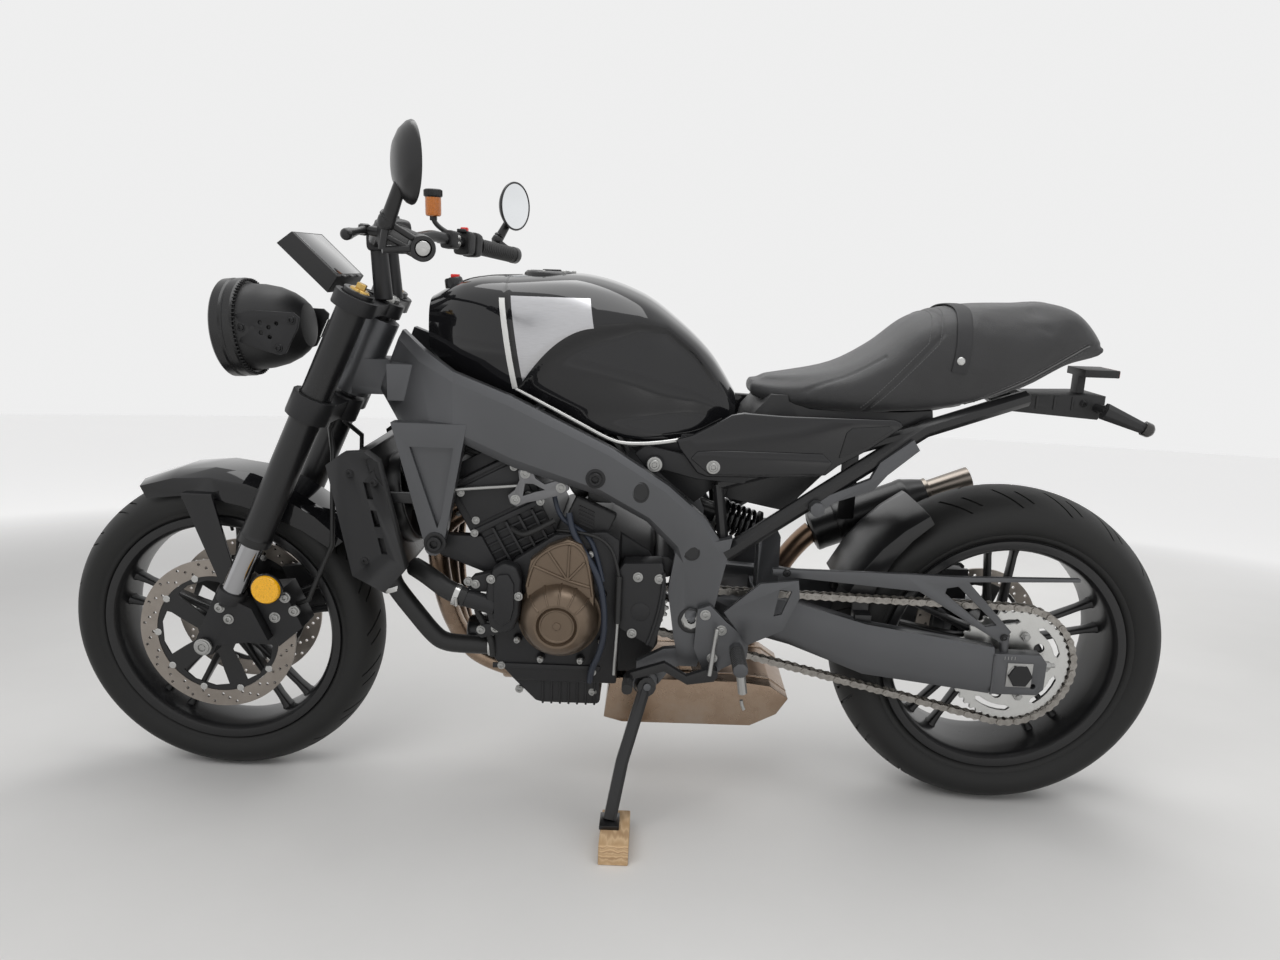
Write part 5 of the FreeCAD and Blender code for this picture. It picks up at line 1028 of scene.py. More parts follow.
def puffed(bm, cap):
    """Pressure from inside, held to a cap on how far any point moves, in millimetres."""
    bm.transform(Matrix.Scale(MM, 4))
    mesh = bpy.data.meshes.new("pad")
    bm.to_mesh(mesh)
    bm.free()
    pad = bpy.data.objects.new("pad", mesh)
    scene = bpy.context.scene
    scene.collection.objects.link(pad)
    remesh = pad.modifiers.new("grid", "REMESH")
    remesh.mode = "VOXEL"
    remesh.voxel_size = 0.006
    bpy.context.view_layer.update()
    even = bpy.data.meshes.new_from_object(pad.evaluated_get(bpy.context.evaluated_depsgraph_get()))
    pad.modifiers.clear()
    pad.data = even
    before = [vert.co.copy() for vert in even.vertices]
    cloth = pad.modifiers.new("cloth", "CLOTH")
    cloth.settings.use_pressure = True
    cloth.settings.uniform_pressure_force = 4
    cloth.settings.effector_weights.gravity = 0
    for frame_number in range(1, 21):
        scene.frame_set(frame_number)
    blown_up = bpy.data.meshes.new_from_object(pad.evaluated_get(bpy.context.evaluated_depsgraph_get()))
    pad.modifiers.clear()
    scene.frame_set(1)
    result = bmesh.new()
    result.from_mesh(blown_up)
    for vert, old in zip(result.verts, before):
        step = vert.co - old
        if step.length > cap * MM:
            vert.co = old + step.normalized() * cap * MM
    for _ in range(3):
        bmesh.ops.smooth_vert(result, verts=result.verts, factor=0.5, use_axis_x=True, use_axis_y=True,
                              use_axis_z=True)
    bmesh.ops.subdivide_edges(result, edges=result.edges, cuts=1, use_grid_fill=True, smooth=0)
    result.transform(Matrix.Scale(1 / MM, 4))
    bpy.data.objects.remove(pad)
    for old_mesh in (mesh, even, blown_up):
        bpy.data.meshes.remove(old_mesh)
    return result


def seam_pull(x, y, z):
    """How deep the cover is drawn in at a point, near one of its seams."""
    share = min(max((z - 781) / 134, 0), 1)
    pull = 2.6 * eased(1 - abs(x - SEAM_FOOT - (SEAM_CREST - SEAM_FOOT) * share) / 6)
    if x > 615:
        pull = max(pull, 2.2 * eased(1 - abs(z - along_line(tail_seam, x)) / 6))
    if x < 470:
        pull = max(pull, 2 * eased(1 - abs(abs(y) - 96) / 6) * eased((z - 800) / 12))
    return pull


def on_seat(skin_tree, x, z, side, lift):
    """A point on the seat's side at this x and z, lifted off the cover."""
    hit = skin_tree.ray_cast(Vector((x, side * 300, z)), Vector((0, -side, 0)))
    if hit[0] is None:
        return None
    return hit[0] + hit[1] * lift


def over_seat(skin_tree, foot, edge_x, crest_x, lift):
    """A run of points on the seat from its left foot over the top to its right foot."""
    sides = []
    for side in (-1, 1):
        run = []
        for i in range(21):
            share = i / 20
            x = foot[0] + (edge_x - foot[0]) * share
            run.append(on_seat(skin_tree, x, foot[1] + (SEAT_EDGE - foot[1]) * share, side, lift))
        sides.append([spot for spot in run if spot])
    left, right = sides
    top = []
    for i in range(32):
        y = left[-1].y + (right[-1].y - left[-1].y) * (i + 1) / 33
        rise = 1 - (abs(y) / abs(left[-1].y)) ** 2
        hit = skin_tree.ray_cast(Vector((edge_x + (crest_x - edge_x) * rise, y, 1200)), Vector((0, 0, -1)))
        if hit[0] is not None:
            top.append(hit[0] + hit[1] * lift)
    return left + top + right[::-1]


def along_tail(skin_tree, start, step, count, side, drop, lift):
    """Points along the tail's seam on one side of the seat."""
    places = [start + i * step for i in range(count)]
    spots = [on_seat(skin_tree, x, along_line(tail_seam, x) + drop, side, lift) for x in places]
    return [spot for spot in spots if spot]


def ribbon(path, half_wide, half_thick):
    """A flat band along a run of points, lying across the machine."""
    rings = []
    for i, point in enumerate(path):
        way = (path[min(i + 1, len(path) - 1)] - path[max(i - 1, 0)]).normalized()
        wide = Vector((1, 0, 0))
        wide = (wide - way * wide.dot(way)).normalized()
        out = way.cross(wide)
        rings.append([point + wide * u + out * v for u, v in oval(half_wide, half_thick, 4, 16)])
    return loft(rings)


def stitches(path):
    """Short threads along a run of points."""
    parts = []
    left = 0
    for a, b in zip(path, path[1:]):
        length = (b - a).length
        while left < length:
            place = a.lerp(b, left / length)
            way = (b - a).normalized()
            parts.append(bar(place - way * 1.5, place + way * 1.5, 0.55, edge=0.2, steps=6))
            left += 5.2
        left -= length
    return parts


# Cover, strap, stitches and piping
bm = blown(seat_stations, seat_section, 241, 616, 772, 196, 127, 28, 80)
bm = puffed(bm, 5)
bm.normal_update()
inward = [(vert, vert.normal * seam_pull(*vert.co)) for vert in bm.verts]
for vert, step in inward:
    if vert.co.z > 778:
        vert.co -= step
bmesh.ops.smooth_vert(bm, verts=bm.verts, factor=0.3, use_axis_x=True, use_axis_y=True, use_axis_z=True)
bm.normal_update()
skin_tree = BVHTree.FromBMesh(bm)
slot = "seat_vinyl"
piece = finished(bm, "seat_cover", slot, black_vinyl, ["seat"], 60)
strap = ribbon(over_seat(skin_tree, (588, 852), 594, 604, 1.2), 13, 1.7)
finished(strap, "seat_strap", slot, strap_web)
threads = []
for shift in (-9, 9):
    threads += stitches(over_seat(skin_tree, (439 + shift, 786), 545 + shift, 565 + shift, 0.2))
for side in (-1, 1):
    for drop in (-6, 6):
        threads += stitches(along_tail(skin_tree, 626, 6.3, 30, side, drop, 0.3))
finished(threads, "seat_stitches", slot, thread_grey, (), 60)
cords = []
snaps = []
for side in (-1, 1):
    cords.append(pipe(along_tail(skin_tree, 620, 6.6, 31, side, 0, 0.6), 1.6, sides=3, smooth=2))
    spot = on_seat(skin_tree, 589, 872, side, 3)
    snap = lathe([(0, 2.4), (4, 2.2), (6.5, 1), (7.6, -0.6), (7.6, -2)], 28)
    snaps.append(placed(snap, spot, (0, side, 0.15)))
finished(cords, "seat_piping", slot, thread_grey)
finished(snaps, "seat_snaps", slot, bare_steel, (), 40)
print("seat:", made[-1])

# %% [markdown]
# The cast frame, the swingarm and the tubes keep their solids' shapes with rounded edges. What the
# solids leave out is added on their outer faces: bolts, plugs, seams of weld and cast ribs.

# %% Helper that finds a solid's outer face
trees = {}


def face_y(node, x, z, side=-1):
    """Where a line from the left, or from the right, meets the solid at this x and z."""
    if node not in trees:
        mesh = nodes[node].data
        back = PARKING.inverted()
        points = [back @ vert.co for vert in mesh.vertices]
        trees[node] = BVHTree.FromPolygons(points, [tuple(face.vertices) for face in mesh.polygons])
    hit = trees[node].ray_cast(Vector((x, side * 600, z)), Vector((0, -side, 0)))
    if hit[0] is None:
        raise ValueError(f"{node} has no face at {x}, {z}")
    return hit[0].y


def bolts_on(node, spots):
    """Socket screws on both sides of a solid; a spot is (x, z, radius, height)."""
    return [bolt_head((x, face_y(node, x, z, side), z), radius, height, (0, side, 0))
            for side in (-1, 1) for x, z, radius, height in spots]


print("frame face at the pivot:", round(face_y("main_frame", 150, 380), 1))

# %% [markdown]
# Each row names a solid, the width of its edges' rounding in millimetres, the rounding's segments
# and the least angle of an edge. The piece that stands for it follows, with its body when that
# isn't the fixed one.

# %% Castings that keep their solids' shapes
castings = [
    ("main_frame", 5, 3, 24, "frame_casting", "dark_grey_paint", frame_grey, 40),
    ("subframe", 1.2, 2, 40, "subframe_tubes", "dark_grey_paint", satin_black, 45),
    ("swingarm", 3, 2, 30, "swingarm_casting", "dark_grey_paint", frame_grey, 40),
    ("axle_blocks", 2.5, 2, 30, "swingarm_ends", "dark_grey_paint", frame_grey, 40),
    ("rear_axle", 0.8, 2, 40, "rear_axle_nuts", "alloy", dark_bolt, 30),
    ("triple_clamps", 4, 3, 24, "clamp_castings", "black_metal", cast_black, 40, "steering"),
    ("front_fender", 3, 3, 24, "fender_shell", "black_paint", gloss_black, 60, "steering"),
    ("display", 5, 3, 30, "display_case", "black_plastic", grain_plastic, 40, "steering"),
    ("front_calipers", 5, 3, 28, "caliper_bodies", "black_metal", cast_black, 40, "steering"),
    ("brake_hoses", 0.4, 1, 80, "brake_lines", "hose_rubber", hose_rubber, 80, "steering"),
    ("engine_case", 7, 3, 24, "crankcase", "engine_alloy", cast_black, 40),
    ("oil_pan", 5, 3, 24, "oil_pan_casting", "engine_alloy", cast_black, 40),
    ("cylinder_bank", 5, 3, 24, "cylinder_block", "engine_alloy", cast_black, 40),
    ("sprocket_cover", 7, 3, 24, "sprocket_cover_shell", "engine_alloy", cast_black, 40),
    ("radiator_covers", 6, 3, 26, "radiator_side_covers", "black_plastic", grain_plastic, 40),
    ("muffler_box", 9, 4, 24, "muffler_chamber", "exhaust_steel", exhaust_brown, 40),
    ("under_seat_box", 4, 2, 28, "seat_tray", "black_plastic", grain_plastic, 40),
    ("tail_bracket", 3, 2, 28, "tail_bracket_shell", "black_plastic", grain_plastic, 40),
    ("rear_hugger", 2.5, 2, 28, "hugger_shell", "black_plastic", satin_black, 45),
    ("rear_caliper", 4, 3, 28, "rear_caliper_body", "black_metal", cast_black, 40),
    ("foot_rests", 2.5, 2, 30, "foot_hangers", "alloy", frame_grey, 40),
    ("foot_controls", 2, 2, 30, "foot_levers", "alloy", satin_black, 40),
    ("side_stand", 2.2, 2, 34, "stand_leg", "black_metal", satin_black, 50, "side_stand"),
    ("wood_block", 2, 2, 34, "wood_block_sawn", "pine", pine, 40),
]
for node, width, segments, least, name, slot, finish, crease, *body in castings:
    finished(softened(node, width, segments, least), name, slot, finish, [node], crease, *body)
print("castings:", len(castings))

# %% Frame, subframe and swingarm
def plug(node, x, z, radius, side, wide=1):
    """A flat rubber plug in a shallow ring."""
    profile = [(0, 1.2), (0.78, 1.2), (0.84, 0.2), (0.92, 0.6), (1, 0.2), (1, -3)]
    part = lathe([(radius * out, up) for out, up in profile], 36)
    part.transform(Matrix.Diagonal((1, wide, 1, 1)))
    return placed(part, (x, face_y(node, x, z, side), z), (0, side, 0))


# Frame
spots = [(-303, 529, 13, 9.75), (-24, 656, 11.5, 8.625)]
finished(bolts_on("main_frame", spots), "frame_bolts", "dark_grey_paint", dark_bolt, (), 30)
plugs = []
for side in (-1, 1):
    plugs.append(plug("main_frame", 54, 634, 15, side, 1.25))
    plugs.append(plug("main_frame", 147, 524, 15, side))
    ring = lathe([(10, 0.5), (14, 3.5), (20, 4), (24, 2), (25, -3)], 40)
    plugs.append(placed(ring, (152, face_y("main_frame", 152, 385, side), 396), (0, side, 0)))
finished(plugs, "frame_plugs", "black_plastic", grain_plastic, (), 40)
nut = lathe([(0, -2), (6, -2), (7, 1), (8, 4), (16, 5.5), (19, 3.5), (20, -2)], 8)
nuts = both_sides(placed(nut, (152, face_y("main_frame", 152, 385), 398), (0, -1, 0)))
finished(nuts, "pivot_nuts", "dark_grey_paint", zinc_steel, (), 30)
welds = [pipe([(700, y, 352), (699, y, 330), (701, y, 300), (700, y, 276)], 1.8, sides=3)
         for y in (-152.6, 152.6)]
finished(welds, "swingarm_welds", "dark_grey_paint", frame_grey)

# Washer, square plate and screw of each chain adjuster, with the marks beside it
x, _, z = rear_axle
parts = []
marks = []
for side in (-1, 1):
    washer = lathe([(12, -2), (21, -2), (21, 2.4), (20, 3), (12, 3)], 40, loop=True)
    parts.append(placed(washer, (x, side * 153.4, z), (0, side, 0)))
    low, high = sorted((side * 150.4, side * 153.9))
    parts.append(brick((x - 23, low, z - 23), (x + 23, high, z + 23), 1.2))
    parts.append(bar((795, side * 139, 330), (806, side * 139, 330), 8, steps=6))
    parts.append(bar((794, side * 139, 330), (815, side * 139, 330), 4, edge=0.8, steps=16))
    for start in (718, 724, 730, 736):
        y = side * 152.3
        marks.append(brick((start, y - 0.4, 344), (start + 0.9, y + 0.4, 350), 0.1, 1))
finished(parts, "chain_adjusters", "alloy", zinc_steel, (), 30)
finished(marks, "adjuster_marks", "alloy", zinc_steel, (), 30)
print("frame:", made[-6:])

# %% [markdown]
# The front end turns as one: upside-down fork, clamps, bar with its controls, lamp, display, fender
# and calipers. Its round parts are turned afresh; the cast ones keep their solids' shapes.

# %% Fork and clamps
def kept_below(bm, place, normal):
    """The part of a shape behind a plane, closed again."""
    everything = bm.verts[:] + bm.edges[:] + bm.faces[:]
    cut = bmesh.ops.bisect_plane(bm, geom=everything, plane_co=place, plane_no=normal, clear_outer=True)
    rim_edges = [item for item in cut["geom_cut"] if isinstance(item, bmesh.types.BMEdge)]
    bmesh.ops.holes_fill(bm, edges=rim_edges, sides=0)
    return bm


FORK_BACK, FORK_SIDE = -25, 105


def fork_tube(side):
    """Outer tube: seal collar at its foot, a step under the lower clamp, threaded top."""
    y = side * FORK_SIDE
    foot = steer_point(487, FORK_BACK, y)
    top = steer_point(945, FORK_BACK, y)
    length = (top - foot).length
    profile = [(20.5, 6), (22, 0), (28.5, 0), (30, 2), (30, 16), (28.6, 18), (28, 24), (28, length * 0.6)]
    profile += [(26.8, length * 0.62), (26.8, length * 0.93), (27.4, length * 0.94), (27.4, length - 1),
                (26, length)]
    profile += [(19, length), (19, length - 3), (0, length - 3)]
    return turned(profile, 48, foot, steer_up)


# Fork
steered([fork_tube(-1), fork_tube(1)], "fork_tubes", "black_metal", satin_black, ["fork_legs"], 30)
bars = [bar(steer_point(372, FORK_BACK, y), steer_point(500, FORK_BACK, y), 21, steps=40)
        for y in (-FORK_SIDE, FORK_SIDE)]
steered(bars, "fork_stanchions", "black_metal", stanchion)
lugs = kept_below(softened("fork_legs", 3.5, 3, 30), steer_point(384), steer_up)
collars = []
for side in (-1, 1):
    ring = lathe([(21.2, -14), (26, -14), (27, -12), (27, 4), (25, 7), (21.2, 8)], 40, loop=True)
    collars.append(placed(ring, steer_point(388, FORK_BACK, side * FORK_SIDE), steer_up))
steered([lugs, *collars], "fork_lugs", "black_metal", cast_black, (), 40)
caps = []
for side in (-1, 1):
    top = steer_point(945, FORK_BACK, side * FORK_SIDE)
    caps.append(turned([(0, 9), (5, 9), (6, 8), (6, 3), (15, 3), (17, 1), (18.8, -3)], 32, top, steer_up))
    caps.append(turned([(0, 13), (8, 13), (9, 12), (9, 3)], 6, top, steer_up))
steered(caps, "fork_caps", "black_metal", gold_anodized, (), 30)
tabs = []
for side in (-1, 1):
    for height, back in ((432, -37), (420, -14)):
        tabs.append(bolt_head(steer_point(height - 70, back + 6, side * 122.6), 6.5, 5, (0, side, 0)))
    tabs.append(bolt_head((-747.5, side * 132, 300), 13, 4, (0, side, 0), washer=1.25))
steered(tabs, "fork_bolts", "black_metal", zinc_steel, (), 30)
label = steer_point(868, FORK_BACK - 28.3, -FORK_SIDE)
sticker = brick((-0.5, -9, -17), (0.5, 9, 17), 0.2, 1)
sticker.transform(Matrix.Translation(label) @ Matrix.Rotation(rake, 4, "Y"))
steered(sticker, "blank_label", "black_metal", white_line)

# Clamps
screws = []
for side in (-1, 1):
    for height in (735, 752):
        screws.append(bolt_head(steer_point(height, -58, side * 84), 4.5, 4, (0, side, 0)))
nut = turned([(0, 10), (10, 10), (12, 8), (17, 8), (19, 5), (19, -4)], 8, steer_point(938), steer_up)
steered([nut, *screws], "stem_nut", "black_metal", zinc_steel, (), 30)
print("front end:", made[-7:])

# %% Bar, grips and controls
def bent(points, bend):
    """The same run of points with a short arc at each corner."""
    run = [Vector(p) for p in points]
    out = [run[0]]
    for before, corner, after in zip(run, run[1:], run[2:]):
        out.append(corner + (before - corner).normalized() * bend)
        out.append(corner)
        out.append(corner + (after - corner).normalized() * bend)
    out.append(run[-1])
    return out


def bar_run(side):
    return Vector((-380.6, side * 174.8, 1057.6)), Vector((-257, side * 396, 1027))


def bar_at(side, from_end):
    """A point on the bar's outer run, this far from its end."""
    inner, end = bar_run(side)
    return end + (inner - end).normalized() * from_end


def grip(side):
    inner, end = bar_run(side)
    along = end - inner
    profile = [(11.5, 0), (19, 0), (20, 1), (20, 4), (17, 6)]
    for i in range(17):
        start = 9 + i * 6
        profile += [(16.2, start), (17.2, start + 0.8), (17.2, start + 4.4), (16.2, start + 5.2)]
    profile += [(17, 113), (17, 117), (15, 118), (11.5, 118)]
    return turned(profile, 36, bar_at(side, 118), along)


def squared(place, along, half_wide, half_high, length, power=5, taper=0.92):
    """A rounded housing lofted along the bar."""
    aim = Vector(along).to_track_quat("Z", "Y").to_matrix().to_4x4()
    rings = []
    sizes = ((0, 0.8), (0.04, 0.94), (0.1, 1), (0.55, 1), (0.9, taper), (0.96, taper * 0.94),
             (1, taper * 0.8))
    for share, size in sizes:
        ring = oval(half_wide * size, half_high * size, power, 32)
        rings.append([Vector((u, v, length * share)) for u, v in ring])
    bm = loft(rings)
    bm.transform(Matrix.Translation(place) @ aim)
    return bm


def lever(side):
    """Hand lever: flat and curved, thin in the middle, with a ball at its end."""
    ahead = Vector((-1, 0, 0.12))
    hinge = (bar_at(side, 196) + bar_at(side, 143)) / 2
    root = hinge + ahead * 41
    elbow = bar_at(side, 112) + ahead * 64
    tip = bar_at(side, 30) + ahead * 96
    points = through([tuple(root), tuple(elbow), tuple(tip)], 14)
    rings = []
    for i, point in enumerate(points):
        share = i / 13
        before = Vector(points[max(i - 1, 0)])
        after = Vector(points[min(i + 1, 13)])
        way = (after - before).normalized()
        up = Vector((0, 0, 1))
        out = way.cross(up).normalized()
        wide = 8.5 - 3.2 * sin(pi * min(share * 1.15, 1))
        rings.append([Vector(point) + out * u + up * v for u, v in oval(wide * 0.75, wide, 2.6, 14)])
    ball = bmesh.new()
    bmesh.ops.create_uvsphere(ball, u_segments=20, v_segments=12, radius=8.5)
    ball.transform(Matrix.Translation(tip))
    arm = bar(hinge, root, 9, 7, edge=1.5, steps=20)
    pivot = turned([(0, 9), (6, 9), (7, 8), (9, 7), (9, -7), (7, -8), (0, -9)], 24, root, (0, 0, 1))
    return gathered(loft(rings), ball, arm, pivot)


def mirror(side):
    """Bar-end mirror: clamp ring, open arm, stem and a round shell."""
    inner, end = bar_run(side)
    along = (end - inner).normalized()
    foot = end + along * 8
    ahead = Vector((-1, 0, 0))
    ahead = (ahead - along * ahead.dot(along)).normalized()
    low = foot + ahead * 54
    ball = foot + ahead * 47 + Vector((0, 0, 36))
    ring = turned([(12, 0), (17, 0), (18, 1), (18, 13), (17, 14.4), (12, 14.4)], 40, end, along, loop=True)
    struts = [pipe([foot + ahead * 15, low], 5.2, order=2), pipe([low, ball], 5.2, order=2)]
    struts.append(pipe([foot + ahead * 10 + Vector((0, 0, 12)), ball], 4.6, order=2))
    struts.append(pipe([low * 0.5 + ball * 0.5, foot + ahead * 22 + Vector((0, 0, 2))], 3.4, order=2))
    turn = radians(28)
    facing = Vector((cos(turn), -side * sin(turn), 0))
    centre = Vector((-259, side * 442, 1133))
    stem_top = centre - Vector((0, 0, 26)) - facing * 10
    stem = bar(ball - Vector((0, 0, 4)), stem_top, 10.5, 8.5, edge=2, steps=28)
    boot = [(0, -9), (9, -9), (12, -5), (12, 4), (10, 7), (12, 9), (11, 12), (0, 12)]
    boot = turned(boot, 28, ball, stem_top - ball)
    shell = [(0, -20), (14, -19.6), (28, -17), (42, -10), (51, -1), (53, 4), (52.4, 6), (50, 6), (49, 4.4),
             (0, 4.4)]
    shell = turned(shell, 56, centre, facing)
    glass = turned([(0, 4.9), (48.6, 4.9), (48.6, 4.2)], 56, centre, facing)
    cap = turned([(0, 15.6), (8.5, 15.6), (10.5, 14.2), (11.5, 11)], 32, end, along)
    return [ring, *struts, stem, boot, shell], glass, cap


# Bar and controls
half = [(-257, 396, 1027), (-380.6, 174.8, 1057.6), (-424, 55.2, 1040)]
whole = bent(half + [(x, -y, z) for x, y, z in reversed(half)], 34)
risers = []
for side in (-1, 1):
    y = side * 33
    risers.append(bar(steer_point(938, 0, y), (-424, y, 1026), 16.5, 15, edge=2, steps=36))
    risers.append(squared((-424, y - 17, 1040), (0, 1, 0), 18, 18, 34, 4, 1))
    for dx in (-12, 12):
        risers.append(bolt_head((-424 + dx, y, 1058), 4, 4, (0, 0, 1)))
steered(pipe(whole, 11, smooth=10), "bar_tube", "black_metal", satin_black, ["handlebar"])
steered(risers, "bar_risers", "black_metal", cast_black)
steered([grip(-1), grip(1)], "grips", "black_plastic", hose_rubber, ["bar_controls"], 30)
cases, levers, rods = [], [], []
for side in (-1, 1):
    along = bar_at(side, 0) - bar_at(side, 100)
    for from_end, wide, high, length in ((168, 22, 24, 24), (143, 21, 25, 22), (214, 17, 18, 30)):
        cases.append(squared(bar_at(side, from_end), along, wide, high, length))
    middle = bar_at(side, 170)
    cases.append(brick(middle + Vector((-6, -8, 20)), middle + Vector((12, 8, 27)), 2))
    levers.append(lever(side))
    for z in (5, -7):
        rods.append(bolt_head(bar_at(side, 200) + Vector((17, 0, z)), 3.5, 4, (1, 0, 0)))
steered(cases, "switch_housings", "black_plastic", grain_plastic)
steered(levers, "hand_levers", "black_metal", satin_black, (), 40)
steered(rods, "perch_screws", "black_metal", zinc_steel, (), 30)
kill = brick(bar_at(1, 158) + Vector((-7, -7, 22)), bar_at(1, 158) + Vector((8, 7, 32)), 2.5, 3)
steered(kill, "kill_switch", "black_plastic", red_plastic)

# Mirrors
left, left_glass, left_cap = mirror(-1)
right, right_glass, right_cap = mirror(1)
steered([*left, *right], "mirror_shells", "black_plastic", satin_black, ["mirrors"], 40)
steered([left_glass, right_glass], "mirror_glasses", "black_plastic", mirror_glass, (), 40)
steered([left_cap, right_cap], "bar_end_caps", "black_metal", bare_steel, (), 40)
print("controls:", made[-9:])

# %% Headlight, display, reservoir and calipers
# Headlight
back = Vector((cos(radians(4)), 0, sin(radians(4))))
front = Vector((-713, 0, 877))
bezel = [(76, 14), (78, 3), (82, 0), (86, 0), (89, 3), (89.5, 18), (87, 21), (87, 24), (89, 26), (89, 38),
       (86, 42)]
bezel += [(80, 42), (80, 30), (78, 22)]
bowl = [(80, 40), (80, 46), (78, 50), (76, 74), (70, 100), (60, 122), (50, 136), (40, 146), (30, 148),
        (0, 148)]
steered(turned(bezel, 96, front, back, loop=True), "lamp_rim", "lamp_black", satin_black, ["headlight"], 30)
teeth = []
for i in range(72):
    tooth = brick((-1, 83, 40), (1, 87.6, 47), 0.4, 1)
    tooth.transform(Matrix.Rotation(FULL_TURN * i / 72, 4, "Z"))
    teeth.append(tooth)
body = placed(gathered(lathe(bowl, 96), *teeth), front, back)
steered(body, "lamp_bowl", "lamp_black", grain_plastic, (), 30)
dish = [(76, 14), (74, 20), (66, 30), (52, 40), (34, 46), (18, 48), (0, 48)]
steered(turned(dish, 72, front, back), "lamp_dish", "lamp_black", bare_steel, (), 40)
bulb = [(0, 22), (12, 23), (18, 27), (19, 36), (20, 47)]
steered(turned(bulb, 40, front, back), "lamp_shield", "lamp_black", satin_black, (), 40)
glass = [(0, 2), (30, 3.2), (56, 6.6), (72, 11), (77, 14), (76, 16), (55, 9), (30, 5.6), (0, 4.4)]
steered(turned(glass, 72, front, back), "lamp_glass", "lamp_black", clear_glass, (), 60)
outline = [(-676, 905), (-640, 915), (-566, 913), (-556, 904), (-560, 886), (-583, 842), (-594, 838),
           (-612, 842), (-676, 862)]
holes = [circle(-640 + dx, 884 + dz, 3.6, 12)
         for dx, dz in ((0, 0), (14, 10), (15, -8), (29, 2), (30, -15), (43, 9))]
wings = both_sides(slab(outline, -76.6, 6, holes, edge=1.2))
steered(wings, "lamp_brackets", "lamp_black", cast_black, (), 40)
screws = heads_at([(-570, 76.8, 900), (-596, 76.8, 850), (-660, 76.8, 884)], 5.5, 4)
steered(screws, "lamp_screws", "lamp_black", dark_bolt, (), 30)

# Display
lean = radians(44)
screen = brick((-50, -63, 16.2), (48, 63, 17.8), 1, 2)
face = Matrix.Translation((-536, 0, 1002)) @ Matrix.Rotation(lean, 4, "Y")
screen.transform(face)
steered(screen, "display_screen", "black_plastic", display_glass)
keys = []
for y in (-40, 0, 40):
    key = brick((50, y - 9, 15.5), (55, y + 9, 18.5), 1.2)
    key.transform(face)
    keys.append(key)
steered(keys, "display_keys", "black_plastic", satin_black)

# Reservoir
base = Vector((-388, 222, 1096))
cup = turned([(0, 0), (13, 0), (15.4, 2), (16, 6), (16, 37), (0, 37)], 40, base, (0, 0, 1))
steered(cup, "reservoir_cup", "alloy", amber_lens, ["brake_reservoir"], 40)
cap = [(0, 53), (15, 53), (17, 52), (18, 50), (18, 40), (17, 37.6), (16, 37)]
ribs = []
for x, y in circle(base.x, base.y, 18, 30):
    ribs.append(bar((x, y, base.z + 39), (x, y, base.z + 51), 0.9, edge=0.3, steps=6))
cap = turned(cap, 40, base, (0, 0, 1))
steered([cap, *ribs], "reservoir_cap", "alloy", satin_black, (), 40)
perch = bar_at(1, 200)
stalk = [pipe([base + Vector((0, 0, 3)), base + Vector((-4, -1, -14)), perch + Vector((-6, 2, 14))], 5)]
stalk.append(brick((-395, 218, 1088), (-381, 226, 1098), 1.5))
steered(stalk, "reservoir_stalk", "alloy", satin_black)

# Calipers
bolts = bolts_on("front_calipers", [(-622, 352, 7, 5), (-601, 392, 7, 5), (-585, 366, 7, 5)])
steered(bolts, "caliper_bolts", "black_metal", zinc_steel, (), 30)
disc = turned([(0, 8), (24, 8), (26, 6), (27, 0), (27, -4)], 40, (-624, -126, 416), (0, -1, 0))
steered(disc, "side_reflector", "black_plastic", reflector_amber, (), 40)
back = turned([(0, -4), (29, -4), (29, 1), (27.4, 2)], 40, (-624, -126, 416), (0, -1, 0))
arm = brick((-634, -127, 396), (-620, -118, 440), 2)
steered([back, arm], "reflector_holder", "black_plastic", satin_black, (), 40)
print("lamp and brakes:", made[-11:])

# %% [markdown]
# The engine is open to view. Its castings keep their solids' shapes with rounded edges, and carry
# what a casting has: ribs, parting flanges, screws, a water pump with its hoses, and a bronze
# generator cover turned in steps.

# %% Engine castings
def leaning(x0, z0, degrees):
    """Gives a function from (across, up) on a leaning part to its x and z."""
    c, s = cos(radians(degrees)), sin(radians(degrees))
    return lambda across, up: (x0 + across * c - up * s, z0 + across * s + up * c)


def leaning_box(point, u0, u1, v0, v1, y0, y1, edge):
    outline = [point(u, v) for u, v in ((u0, v0), (u1, v0), (u1, v1), (u0, v1))]
    return slab(outline, y0, y1 - y0, edge=edge, segments=1 if edge < 1 else 2)


bank_point = leaning(-126, 470, 28)
bank_box = partial(leaning_box, bank_point)
COIL_ROWS = (-86, 0, 86)

# Crankcase
fins = [brick((x, -134.5, 214), (x + 4, -131, 292), 1.2) for x in range(-118, -21, 16)]
seam = slab([(-206, 290), (-206, 300), (-10, 300), (-10, 290)], -151, 4, edge=1)
split = slab([(-206, 398), (-206, 404), (-158, 404), (-158, 398)], -151, 4, edge=1)
finished([seam, split, *fins], "case_ribs", "engine_alloy", cast_black, (), 40)
heads = heads_at([(-190, 150, 295), (-160, 132, 240), (-24, 132, 240), (-24, 150, 288)], 5, 4, [-1])
finished(heads, "case_screws", "engine_alloy", zinc_steel, (), 30)
filter_can = [(0, 58), (24, 58), (30, 55), (33, 50), (33, 4), (30, 0), (0, 0)]
can = turned(filter_can, 48, (-206, -70, 330), (-1, 0, -0.12))
finished(can, "oil_filter", "engine_alloy", satin_black)

